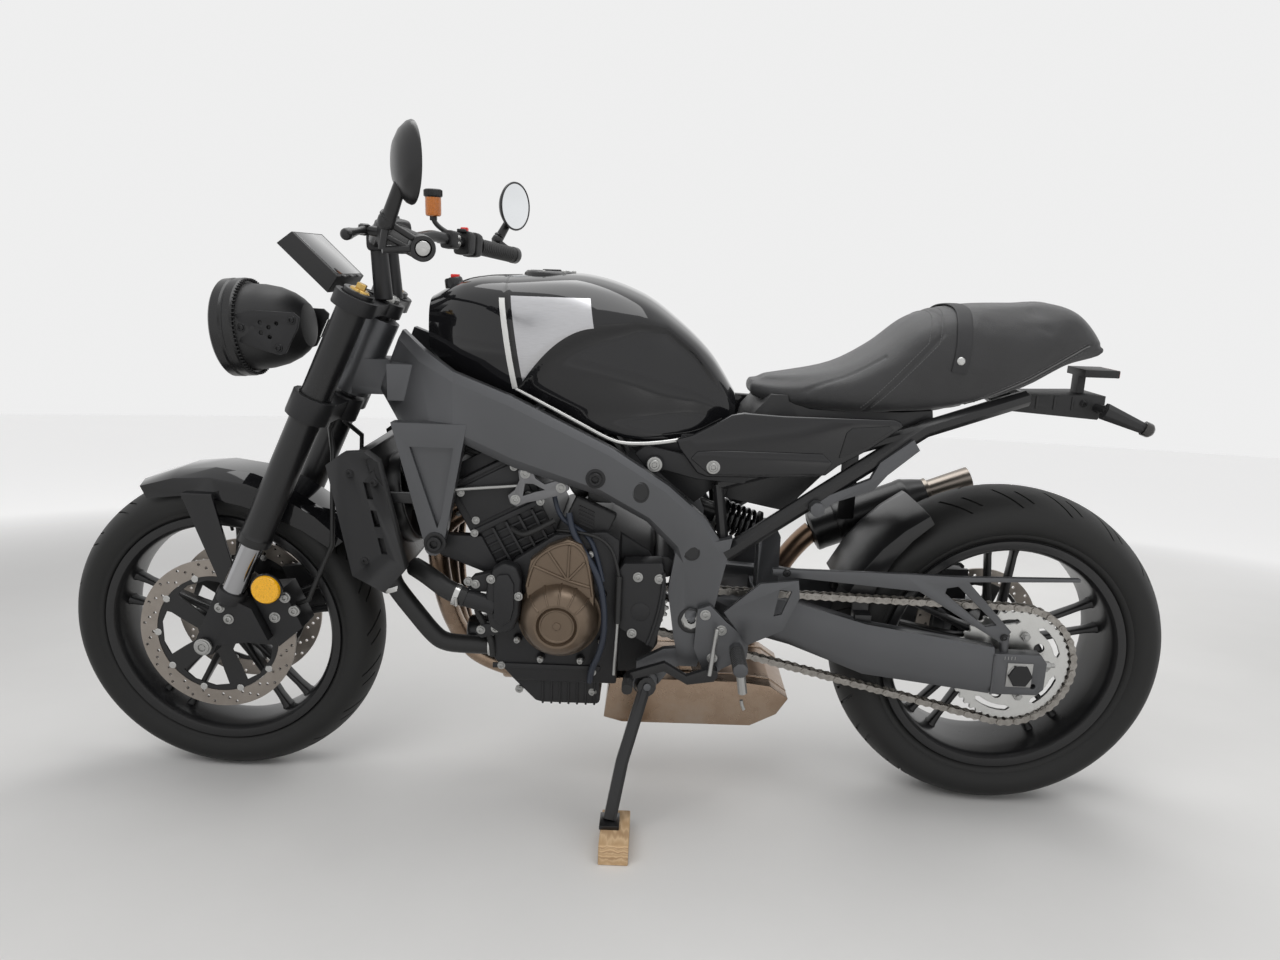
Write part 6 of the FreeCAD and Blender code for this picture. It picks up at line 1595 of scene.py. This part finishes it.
# Generator and clutch covers
COVER_X, COVER_Z = -84, 398
profile = [(0, 61), (6, 61), (7, 60), (7, 58.4), (27, 58.4), (28.5, 60), (30.5, 60), (32, 57.5),
           (33.5, 56.5), (35, 58), (36, 61.5), (40, 62), (50, 57), (59, 47), (65, 34), (68.5, 20), (72, 16),
           (74.5, 14), (74.5, -1)]
dome = turned(profile, 96, (COVER_X, -148, COVER_Z), (0, -1, 0))
ribs = []
centre = Vector((COVER_X, 0, COVER_Z))
for angle in (38, 62, 86, 112, 140):
    way = Vector((cos(radians(angle)), 0, sin(radians(angle))))
    spots = ((41, -209.5), (52, -204), (62, -190), (68, -172))
    ribs.append(pipe([centre + way * out + ACROSS * y for out, y in spots], 2, sides=4))
shares = [(-0.36, 0.02), (-0.4, 0.4), (-0.34, 0.72), (-0.12, 0.9), (0.1, 0.99), (0.26, 0.93), (0.37, 0.72),
          (0.42, 0.3), (0.42, 0.02)]
outline = [(COVER_X + u * 150, COVER_Z + v * 150) for u, v in shares]
lobe = slab(outline, -175, 27.5, edge=5, segments=3)
petals = []
heart = Vector((-69, -175.4, 472))
for u, v in ((-0.3, 0.66), (-0.13, 0.84), (0.12, 0.92), (0.3, 0.72), (0.36, 0.42)):
    tip = Vector((COVER_X + u * 150, -175.4, COVER_Z + v * 150))
    petals.append(pipe([heart, heart.lerp(tip, 0.5) + Vector((0, -1.5, 0)), tip], 2.6, sides=4))
rim_path = [Vector((COVER_X + u * 141, -175.2, COVER_Z + 4 + v * 141)) for u, v in shares[1:-1]]
petals.append(pipe(rim_path, 2.8, sides=4))
bm = gathered(dome, lobe, *ribs, *petals)
finished(bm, "generator_cover", "bronze_cover", bronze_cover, ["engine_covers"], 32)
side = [(0, 46), (22, 46), (24, 44), (24, 42), (46, 42), (56, 38), (66, 30), (76, 22), (80, 14), (82.5, 12),
        (82.5, -1)]
clutch = turned(side, 96, (6, 148, 400), (0, 1, 0))
ring = turned([(44, 42), (47, 44.5), (50, 43), (52, 40)], 72, (6, 148, 400), (0, 1, 0))
finished([clutch, ring], "clutch_cover", "bronze_cover", bronze_cover, (), 32)
left = [(-128, 160, 496), (-86, 160, 531), (-30, 160, 516), (-8, 160, 440), (-8, 160, 352), (-46, 160, 314),
        (-118, 160, 314), (-160, 160, 350), (-158, 160, 431)]
right = []
for i in range(9):
    a = FULL_TURN * (i + 0.3) / 9
    right.append((6 + 86 * cos(a), 160, 400 + 86 * sin(a)))
bosses = [bar((x, -149, z), (x, -y, z), 8, 6.8, steps=20) for x, y, z in left]
bosses += [bar((x, 147, z), (x, y, z), 7.5, steps=20) for x, y, z in right]
finished(bosses, "cover_bosses", "engine_alloy", cast_black)
heads = heads_at(left, 5.2, 5, [-1], 1.15) + heads_at(right, 5.2, 5, [1], 1.15)
finished(heads, "cover_screws", "engine_alloy", zinc_steel, (), 30)

# Pump body on the left, its cover, and the hose stubs on it
shell = slab([(-206, 380), (-186, 366), (-164, 376), (-152, 404), (-150, 470), (-158, 492), (-182, 500),
              (-200, 488), (-210, 462), (-216, 420)], -178, 32, edge=7, segments=3)
face = slab([(-198, 398), (-184, 384), (-168, 396), (-162, 420), (-162, 464), (-172, 482), (-190, 480),
             (-198, 460)], -184, 8, edge=3, segments=2)
ear = slab([(-252, 452), (-236, 470), (-205, 478), (-205, 440), (-240, 440)], -164, 18, edge=3)
stub = bar((-252, -166, 430), (-196, -166, 416), 15.5, 17, edge=2, steps=32)
low = slab([(-236, 360), (-222, 378), (-186, 382), (-186, 362), (-225, 350)], -160, 14, edge=3)
finished([shell, face, ear, stub, low], "water_pump", "engine_alloy", cast_black)
heads = heads_at([(-246, 164, 459), (-233, 164, 455), (-203, 178, 470), (-225, 160, 367), (-199, 160, 371),
                  (-155, 178, 440)], 5.4, 5, [-1])
finished(heads, "pump_screws", "engine_alloy", zinc_steel, (), 30)
upper = pipe([(-352, -120, 468), (-330, -138, 464), (-306, -156, 456), (-280, -166, 441),
              (-250, -166, 430)], 17.5)
finished(upper, "pump_hose", "hose_rubber", hose_rubber)
clip = placed(hoop(17.4, 19.6, 9, 0.2), (-262, -166, 433.5), (-26, 0, 9))
screw = bar((-264, -186, 437), (-264, -181, 420), 3.4, edge=0.6, steps=12)
finished([clip, screw], "pump_hose_clip", "hose_rubber", bare_steel, (), 30)

# Ribs, flanges and cam covers on both sides of the bank, ignition coils and throttle bodies
boxes = [(-60, 60, 20 + i * 15, 24 + i * 15, 127.5, 132, 1) for i in range(6)]
boxes += [(-60, 62, 128, 200, 134, 141, 5), (-71, 71, 112, 122, 134, 139, 2)]
boxes.append((-73, 73, 204, 212, 134, 138, 2))
boxes += [(u, u + 5, 8, 110, 129, 137, 1.2) for u in (-36, -10, 16, 42)]
parts = [both_sides(bank_box(*box)) for box in boxes]
parts += [bank_box(-16, 16, 236, 262, y - 17, y + 17, 4) for y in COIL_ROWS]
finished(parts, "head_details", "engine_alloy", cast_black, (), 40)
spots = []
for u, v, y in ((-52, 136, 141), (54, 136, 141), (54, 192, 141), (-52, 192, 141),
                (-66, 116, 139), (66, 116, 139), (-48, 8, 137), (52, 8, 137)):
    x, z = bank_point(u, v)
    spots.append((x, y, z))
finished(heads_at(spots, 4.8, 4), "head_screws", "engine_alloy", zinc_steel, (), 30)
bodies = []
for y in COIL_ROWS:
    bodies.append(bar((-70, y, 618), (-20, y, 652), 27, 30, edge=3, steps=36))
    bodies.append(bar((-26, y, 648), (10, y, 676), 34, 30, edge=3, steps=36))
bodies.append(brick((-40, -122, 600), (4, 122, 626), 4))
finished(bodies, "throttle_bodies", "engine_alloy", grain_plastic)
windows = [[(-150, 618), (-128, 626), (-112, 630), (-132, 640), (-146, 640)]]
windows += [circle(x, z, 4, 12) for x, z in ((-84, 635), (-146, 658), (-163, 611))]
bracket = slab([(-172, 604), (-160, 598), (-144, 606), (-118, 612), (-84, 622), (-70, 632), (-74, 646),
             (-90, 648), (-112, 640), (-128, 650), (-134, 664), (-148, 670), (-158, 662), (-156, 646),
             (-164, 628), (-176, 618)], -160, 9, windows, edge=1.5)
finished(bracket, "engine_bracket", "engine_alloy", cast_alloy, (), 40)
pins = []
for x, z in ((-84, 635), (-146, 658), (-163, 611)):
    pins.append(bolt_head((x, -160, z), 6, 4, (0, -1, 0)))
    pins.append(bar((x, -152, z), (x, -130, z), 6, steps=16))
pins.append(bar((-282, -152, 622), (-160, -152, 634), 3.2, edge=0.6, steps=14))
finished(pins, "bracket_pins", "engine_alloy", zinc_steel, (), 30)
box = Matrix.Translation((-34, -126, 574)) @ Matrix.Rotation(radians(24), 4, "Y")
unit = brick((-40, -10, -28), (40, 10, 28), 5, 3)
ribs = [brick((-28 + i * 3, -12.5, 12 - i * 7), (2 + i * 3, -9, 15.4 - i * 7), 0.8, 1) for i in range(5)]
whole = gathered(unit, *ribs)
whole.transform(box)
finished(whole, "relay_box", "black_plastic", grain_plastic, (), 40)

# Sprocket cover
y = -162
disc = turned([(0, 1.4), (15, 1.4), (17, 0.4), (18, -2)], 40, (60, y, 413), (0, -1, 0))
ridge = pipe([(100, y - 0.5, 488), (98, y - 0.5, 440), (82, y - 0.5, 372), (74, y - 0.5, 352)], 3.2,
             sides=4)
finished([disc, ridge], "sprocket_cover_marks", "engine_alloy", cast_black, (), 40)
heads = heads_at([(54, 162, 478), (46, 162, 372), (92, 162, 476)], 6, 5, [-1])
finished(heads, "sprocket_cover_screws", "engine_alloy", zinc_steel, (), 30)
print("engine:", made[-16:])

# %% [markdown]
# The radiator is fine flat tubes between two tanks. Loose hoses and cables run over the engine:
# they are held at both ends, so each is one smooth tube.

# %% Radiator, hoses and cables
radiator_point = leaning(-416, 563, 12)
tilted_box = partial(leaning_box, radiator_point)

# Radiator and fan
parts = [tilted_box(-11, 15, -118, 118, -140, 140, 1.5)]
for i in range(46):
    v = -112 + i * 4.9
    parts.append(tilted_box(-14.4, -10, v, v + 2, -140, 140, 0))
finished(parts, "radiator_core", "black_metal", satin_black, ["radiator"], 40)
parts = [tilted_box(-15, 15, -118, 118, -162, -138, 5), tilted_box(-15, 15, -118, 118, 138, 162, 5)]
parts += [tilted_box(-13, 15, 112, 119, -140, 140, 2), tilted_box(-13, 15, -119, -112, -140, 140, 2)]
near, far = radiator_point(14, 0), radiator_point(38, 0)
start = Vector((near[0], 0, near[1]))
along = Vector((far[0] - near[0], 0, far[1] - near[1]))
ring = turned([(84, 0), (88, 0), (88, 20), (85, 24), (80, 24), (82, 20), (82, 4)], 72, start, along,
              loop=True)
hub = turned([(0, 20), (24, 20), (27, 17), (27, 4), (0, 4)], 40, start, along)
parts += [ring, hub]
blades = []
for i in range(7):
    rings = []
    for share, twist in ((0.24, 0.9), (0.5, 0.7), (0.8, 0.55), (0.97, 0.5)):
        wide = 12 + 12 * share
        c, s = cos(twist), sin(twist)
        rings.append([Vector((83 * share, u * wide * c - v * s, 12 + u * wide * s * 0.5 + v * c))
                      for u, v in oval(1, 1.2, 2.4, 10)])
    blade = loft(rings)
    blade.transform(Matrix.Rotation(FULL_TURN * i / 7, 4, "Z"))
    blades.append(blade)
parts.append(placed(gathered(*blades), start, along))
for side in (-1, 1):
    parts.append(brick((-416, side * 150 - 7, 596), (-318, side * 150 + 7, 614), 2))
parts.append(bar((-450, 147, 672), (-451, 147, 688), 12, edge=1.5, steps=32))
finished(parts, "radiator_frame", "black_metal", satin_black, (), 40)
heads = heads_at([(-440, 188, 655), (-420, 188, 500), (-400, 188, 640)], 5, 4)
finished(heads, "radiator_cover_screws", "black_plastic", dark_bolt, (), 30)

# Hoses, cables and wires
x, z = radiator_point(0, -118)
r, y = 17, -130
route = [(x, y, z + 10), (x, y, z - 4), (x + r, y, z - r * 1.8), (x + r * 2.6, y, z - r * 3.9),
         (x + r * 4.2, y, z - r * 6), (x + r * 5.4, y, z - r * 7), (x + r * 7.4, y, z - r * 7.2),
         (-206, y, z - r * 7.2)]
finished(pipe(route, r, sides=8), "lower_coolant_hose", "hose_rubber", hose_rubber, ["coolant_hoses"])
clips = []
for place, way in (((-216, y, z - r * 7.2), (1, 0, 0)), ((x + 2, y, z - 12), (0.3, 0, -1))):
    clips.append(placed(hoop(17.2, 19, 9, 0.2), place, way))
finished(clips, "hose_clips", "hose_rubber", bare_steel, (), 30)
blue = [(-70, -150, 588), (-66, -156, 560), (-42, -166, 524), (-14, -174, 480), (-4, -176, 430),
        (-2, -176, 380), (-10, -172, 335), (-26, -164, 298), (-28, -150, 270)]
small = [(-100, -128, 620), (-92, -140, 580), (-60, -142, 560), (-36, -150, 548), (-20, -160, 520),
         (-8, -168, 470)]
finished([pipe(blue, 5.6), pipe(small, 4.4)], "breather_hoses", "hose_rubber", blue_hose)
cable = [(-92, -136, 552), (-50, -158, 556), (-10, -164, 548), (14, -166, 520), (21, -166, 476)]
sleeve = bar((21, -166, 480), (20, -166, 392), 5.8, steps=20)
finished([pipe(cable, 3), sleeve], "clutch_cable", "hose_rubber", hose_rubber)
rod = gathered(bar((20, -166, 394), (16, -166, 292), 3.2, edge=0.5, steps=14),
               bar((20, -166, 404), (20, -166, 390), 4.6, steps=6))
finished(rod, "cable_rod", "alloy", zinc_steel, (), 30)
wires = []
for dy, dz in ((0, 0), (6, 5), (-5, 8)):
    wires.append(pipe([(-300 + dy, -100 - dy, 700 + dz), (-250, -112 + dy, 676 + dz),
                       (-190, -118, 664 + dz * 0.5), (-120, -112 - dy, 668 + dz), (-60, -100, 690 + dz)],
                      3.6))
wires.append(pipe([(-190, -116, 560), (-160, -146, 540), (-130, -150, 552), (-96, -146, 572)], 5))
wires.append(pipe([(-232, -150, 440), (-236, -154, 405), (-222, -152, 380), (-206, -150, 340),
                   (-206, -146, 312)], 6))
finished(wires, "wiring", "hose_rubber", wire_wrap)
print("cooling:", made[-10:])

# %% Exhaust
# where the three pipes run down, and where they meet under the engine
FRONT_X, MERGE_Y, UNDER_Z = -322, 62, 202
r = 19
port_x, port_z = bank_point(-73, 212 * 0.74)
pipes, flanges, nuts = [], [], []
for i in (-1, 0, 1):
    y = i * 86
    merged = MERGE_Y + i * r * 0.8
    route = [(port_x + 4, y, port_z), (port_x - r * 1.2, y, port_z - r * 0.8),
             (FRONT_X, y, port_z - r * 3), (FRONT_X, (y + merged) / 2, (port_z + UNDER_Z) / 2 - r),
             (FRONT_X + r, merged, UNDER_Z + r * 3.2), (FRONT_X + r * 3, merged, UNDER_Z + r * 0.9),
             (FRONT_X + r * 6, merged, UNDER_Z)]
    pipes.append(pipe(route, r, sides=10, smooth=12))
    way = Vector((-1, 0, -0.6)).normalized()
    place = Vector((port_x + 2, y, port_z))
    flanges.append(placed(hoop(19, 31, 8, 1), place, way))
    for side in (-1, 1):
        start = place + ACROSS * side * 25
        nuts.append(bar(start, start + way * 16, 4.6, edge=0.8, steps=6))
collar = [(28, 0), (30, 4), (30, 60), (30.8, 62), (30.8, 66), (30, 68), (30, 118), (31, 120), (31, 132),
          (30, 134), (30, 222), (0, 222), (0, 0)]
pipes.append(turned(collar, 56, (-219, MERGE_Y, UNDER_Z), (1, 0, 0)))
finished(pipes, "header_pipes", "exhaust_steel", exhaust_brown, ["exhaust_headers"])
finished(flanges, "header_flanges", "exhaust_steel", cast_black)
finished(nuts, "header_nuts", "exhaust_steel", zinc_steel, (), 30)
clamps = [placed(hoop(30.5, 32.8, wide, 0.3, 48), (x, MERGE_Y, UNDER_Z), (1, 0, 0))
          for x, wide in ((-104, 13), (-62, 8))]
clamps.append(brick((-102, 92, 190), (-92, 100, 214), 2))
finished(clamps, "collector_clamps", "exhaust_steel", gold_anodized)
seams = []
for y in (-60, 86):
    seams.append(slab([(0, 176), (4, 250), (30, 253), (250, 253), (312, 246), (346, 222), (326, 184),
                       (276, 161), (34, 159)], y, 5, edge=1))
finished(seams, "muffler_seams", "exhaust_steel", exhaust_brown)
lean = radians(22)
along = Vector((cos(lean), 0, sin(lean)))
front = Vector((418, 192, 472))
can = [(30, -2), (40, 0), (44, 3), (44, 12), (43.4, 14), (43.4, 194), (44, 196), (44.6, 207), (44, 210),
       (42, 214), (36, 232), (28.4, 252), (0, 252), (0, -2)]
finished(turned(can, 72, front, along), "silencer_can", "silencer_black", satin_black, ["silencer"])
tip = [(23, 250), (23, 344), (22.4, 346), (20.4, 346), (20, 344), (20, 262), (0, 262)]
band = [(28, 248), (29.4, 249), (29.4, 257), (28, 258), (23, 258), (23, 248)]
tips = gathered(turned(tip, 56, front, along), turned(band, 56, front, along, loop=True))
finished(tips, "silencer_tip", "silencer_black", tip_steel)
link_x, link_z = -4 + 350 * 0.82, 160 + 92 * 0.55
outlet = Vector((link_x, 119, link_z))
route = [outlet, outlet + Vector((0, 35, 0)), outlet + Vector((9, 70, 48)),
         front - along * 53 - Vector((0, 0, 22)), front]
finished(pipe(route, 22, sides=10, smooth=12), "link_pipe", "exhaust_steel", exhaust_brown)
foot = front + along * 63
strap = brick((foot.x - 17, 139.5, foot.z + 20), (foot.x + 17, 146, 682), 2)
belt = placed(hoop(44, 46, 18, 0.4, 56), foot - along * 9, along)
finished([strap, belt], "silencer_strap", "silencer_black", satin_black)
print("exhaust:", made[-9:])

# %% [markdown]
# Behind the engine: the gloss side covers, the tray under the seat, the shock with a true coil, the
# hugger, the guards, footrests, levers and lamps.

# %% Side covers, tray and tail
GUARD_Y = 142

# Panels and tail
cover = [(112, 722), (118, 706), (150, 664), (168, 657), (255, 659), (330, 662), (374, 667), (394, 684),
         (444, 714), (500, 756), (497, 765), (486, 769), (395, 769), (297, 769), (227, 772), (206, 768),
         (176, 750), (140, 730)]
panel = slab(cover, -135.5, 12, edge=4.5, segments=4)
finished(both_sides(panel), "side_cover_shells", "black_paint", gloss_black, ["side_covers"])
lower = slab([(138, 690), (150, 703), (196, 706), (366, 706), (384, 690), (370, 670), (255, 664),
              (172, 662)], -139.2, 5, edge=2.5, segments=3)
finished(both_sides(lower), "side_cover_steps", "black_paint", gloss_black)
rear = slab([(394, 699), (404, 744), (414, 753), (478, 758), (484, 752), (440, 720)], -138, 4, edge=1.5)
finished(both_sides(rear), "side_cover_trims", "black_plastic", grain_plastic)
inner = slab([(30, 700), (60, 724), (190, 726), (196, 640), (150, 600), (104, 636)], -94, 4, edge=1.5)
lug = slab([(40, 692), (58, 708), (128, 694), (172, 700), (250, 672), (236, 644), (150, 650), (100, 662),
            (60, 668)], -124, 8, edge=2.5, segments=3)
boss = bar((76, -134, 676), (76, -112, 676), 15, edge=2, steps=36)
finished(both_sides(gathered(inner, lug, boss)), "seat_rail_lugs", "dark_grey_paint", cast_black)
heads = heads_at([(178, 139, 676)], 8, 4.5) + heads_at([(76, 134, 676)], 9, 5)
finished(heads, "side_cover_screws", "black_paint", zinc_steel, (), 30)
lenses = []
for side in (-1, 1):
    start = Vector((862, side * 88, 790))
    end = start + Vector((76, side * 12, -30))
    way = (end - start).normalized()
    lenses.append(turned([(0, 8), (8, 7), (12, 3), (13, 0), (13, -10), (0, -10)], 32, end - way * 2, way))
finished(lenses, "turn_lenses", "lamp_black", smoke_lens, (), 40)
finished(brick((899, -34, 842), (906.5, 34, 856), 2.5, 3), "tail_lens", "lamp_black", red_lens, (), 40)
webs = [brick((x, y - 2, 784), (x + 5, y + 2, 808), 1.2)
        for y in (-46, 46) for x in (724, 756, 788, 820)]
webs += heads_at([(742, 47, 797), (842, 47, 797)], 4.5, 4)
finished(webs, "tail_ribs", "black_plastic", satin_black)

# Shock
start, end = Vector((152, 0, 572)), Vector((300, 0, 522))
along = (end - start).normalized()
length = (end - start).length
body = [(0, 4), (17, 4), (19, 8), (19, 52), (26, 54), (33, 56), (33, 62), (26, 66), (12, 68),
        (12, length - 34), (33, length - 30), (33, length - 24), (22, length - 20), (16, length - 4),
        (0, length - 4)]
eyes = [bar(place - ACROSS * 18, place + ACROSS * 18, 15, edge=2, steps=32) for place in (start, end)]
finished([turned(body, 40, start, along), *eyes], "shock_body", "black_metal", satin_black, ["rear_shock"])
turns, steps = 6, 20
aim = along.to_track_quat("Z", "Y").to_matrix()
coil = []
for i in range(int(turns * steps) + 1):
    a = FULL_TURN * i / steps
    rise = 60 + (length - 92) * i / (turns * steps)
    coil.append(start + aim @ Vector((27.5 * cos(a), 27.5 * sin(a), rise)))
finished(pipe(coil, 4.4, sides=5, smooth=3), "shock_spring", "black_metal", gloss_black)
collar = turned([(18, 44), (29, 44), (30, 46), (30, 52), (18, 54)], 12, start, along)
finished(collar, "shock_collar", "black_metal", zinc_steel, (), 30)

# Guards
guard = slab([(293, 484), (293, 496), (528, 495), (625, 493), (838, 497), (838, 491), (642, 484),
              (728, 393), (713, 370), (556, 463), (436, 473)], -GUARD_Y, 10,
             [[(604, 471), (624, 475), (700, 405), (680, 401), (602, 461)]], edge=1.2)
foot = bar((718, -GUARD_Y + 6, 384), (722, -GUARD_Y + 6, 340), 9, 7)
finished([guard, foot], "chain_guard_shell", "black_plastic", frame_grey, ["chain_guard"], 40)
heads = heads_at([(318, GUARD_Y, 489), (716, GUARD_Y, 382)], 5, 4, [-1])
finished(heads, "guard_screws", "black_plastic", dark_bolt, (), 30)
heads = heads_at([(666, 112, 424), (702, 112, 424), (684, 112, 392)], 6, 4, [1])
finished(heads, "rear_caliper_bolts", "black_metal", zinc_steel, (), 30)

# Footrests
treads = []
for side in (-1, 1):
    for y in range(180, 251, 7):
        treads.append(bar((234, side * y, 350), (234, side * (y + 3.5), 350), 13.4, steps=20))
    for y in range(208, 233, 6):
        treads.append(bar((42, side * y, 298), (42, side * (y + 3), 298), 9.6, edge=0.8, steps=16))
finished(treads, "peg_treads", "hose_rubber", hose_rubber, (), 30)
heads = bolts_on("foot_rests", [(176, 412, 6.5, 4.5), (192, 330, 6.5, 4.5), (206, 384, 6.5, 4.5)])
finished(heads, "hanger_screws", "alloy", zinc_steel, (), 30)
rod = bar((186, -196, 312), (196, -190, 398), 4.2, edge=0.5, steps=14)
sleeve = bar((248, -186, 275), (238, -186, 340), 8.5, edge=1.5, steps=10)
spring = pipe([(246, -186, 262), (248, -186, 250), (252, -186, 244)], 3.2)
finished([rod, sleeve, spring], "shift_rod", "alloy", zinc_steel, (), 30)
print("rear:", made[-17:])
print("pieces:", len(made), "faces:", sum(count for name, count in made))

# %% [markdown]
# The studio is a pale floor and soft lamps. The sky is white only where the camera or a shiny
# surface looks at it, so the machine itself is lit at a plain level.

# %% Floor, lamps and camera
def lamp(name, place, target, size, watts, glossy=True):
    data = bpy.data.lights.new(name, "AREA")
    data.shape = "RECTANGLE"
    data.size, data.size_y = size
    data.energy = watts
    light = bpy.data.objects.new(name, data)
    aim = (Vector(target) - Vector(place)).to_track_quat("-Z", "Y")
    light.matrix_world = Matrix.Translation(place) @ aim.to_matrix().to_4x4()
    light.visible_glossy = glossy
    bpy.context.scene.collection.objects.link(light)


# Floor
bm = bmesh.new()
bmesh.ops.create_circle(bm, cap_ends=True, segments=96, radius=14)
mesh = bpy.data.meshes.new("floor")
bm.to_mesh(mesh)
bm.free()
skin = Skin("floor_paint", specular_ior_level=0.3)
cloud = skin.noise(1.4, 6, 0.62)
pale = skin.blend(cloud, (0.6, 0.595, 0.58), (0.7, 0.695, 0.68))
x, y, _ = skin.upright()
far = skin.node("ShaderNodeMath", {"operation": "SQRT"}, {0: x * x + y * y})
fade = ((far - 2.2) * 0.5).clamped()
skin.set("Base Color", pale)
skin.set("Roughness", cloud * 0.2 + 0.5)
skin.set("Emission Color", (0.86, 0.86, 0.86))
skin.set("Emission Strength", fade * fade * 0.57)
mesh.materials.append(skin.material)
piece = bpy.data.objects.new("floor", mesh)
bpy.context.scene.collection.objects.link(piece)
piece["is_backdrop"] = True
lamp("key", (-1.2, -2.6, 2.9), (0, 0, 0.5), (2.6, 1.6), 60, glossy=False)
lamp("top", (0.2, 0.3, 3.2), (0, 0.1, 0.5), (3.2, 2), 46)
lamp("rear", (1.4, 2.8, 2), (0, 0, 0.6), (2.4, 1.6), 42, glossy=False)
lamp("low", (1.9, -2.4, 0.9), (0.2, 0, 0.5), (1.6, 1.2), 22, glossy=False)

# Sky
world = bpy.data.worlds.new("studio")
world.use_nodes = True
tree = world.node_tree
tree.nodes.clear()
path = tree.nodes.new("ShaderNodeLightPath")
seen = tree.nodes.new("ShaderNodeMath")
seen.operation = "MAXIMUM"
tree.links.new(path.outputs["Is Camera Ray"], seen.inputs[0])
tree.links.new(path.outputs["Is Glossy Ray"], seen.inputs[1])
mix = tree.nodes.new("ShaderNodeMix")
mix.data_type = "RGBA"
mix.inputs[6].default_value = (0.36, 0.36, 0.37, 1)
mix.inputs[7].default_value = (0.86, 0.86, 0.86, 1)
tree.links.new(seen.outputs[0], mix.inputs[0])
back = tree.nodes.new("ShaderNodeBackground")
tree.links.new(mix.outputs[2], back.inputs["Color"])
out = tree.nodes.new("ShaderNodeOutputWorld")
tree.links.new(back.outputs[0], out.inputs[0])
bpy.context.scene.world = world

# The photograph's own place, tilt and lens
place = Vector((0.0631, -1.6421, 0.8042))
yaw, pitch, roll = radians(0.675), radians(6.453), radians(1.959)
ahead = Vector((-sin(yaw) * cos(pitch), cos(yaw) * cos(pitch), -sin(pitch)))
level = Vector((cos(yaw), sin(yaw), 0))
above = level.cross(ahead)
right = level * cos(roll) + above * sin(roll)
top = above * cos(roll) - level * sin(roll)
data = bpy.data.cameras.new("camera")
data.lens = 25.363
data.sensor_width = 36
data.clip_start = 0.05
eye = bpy.data.objects.new("camera", data)
turn = Matrix((right, top, -ahead)).transposed().to_4x4()
eye.matrix_world = Matrix.Translation(place) @ turn
bpy.context.scene.collection.objects.link(eye)
bpy.context.scene.camera = eye
bpy.context.scene.view_settings.view_transform = "Standard"
print("studio ready")

# %% Sizes
low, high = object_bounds()
print("pieces made:", len(made), "visual box:", [round(v, 3) for v in (*low, *high)])
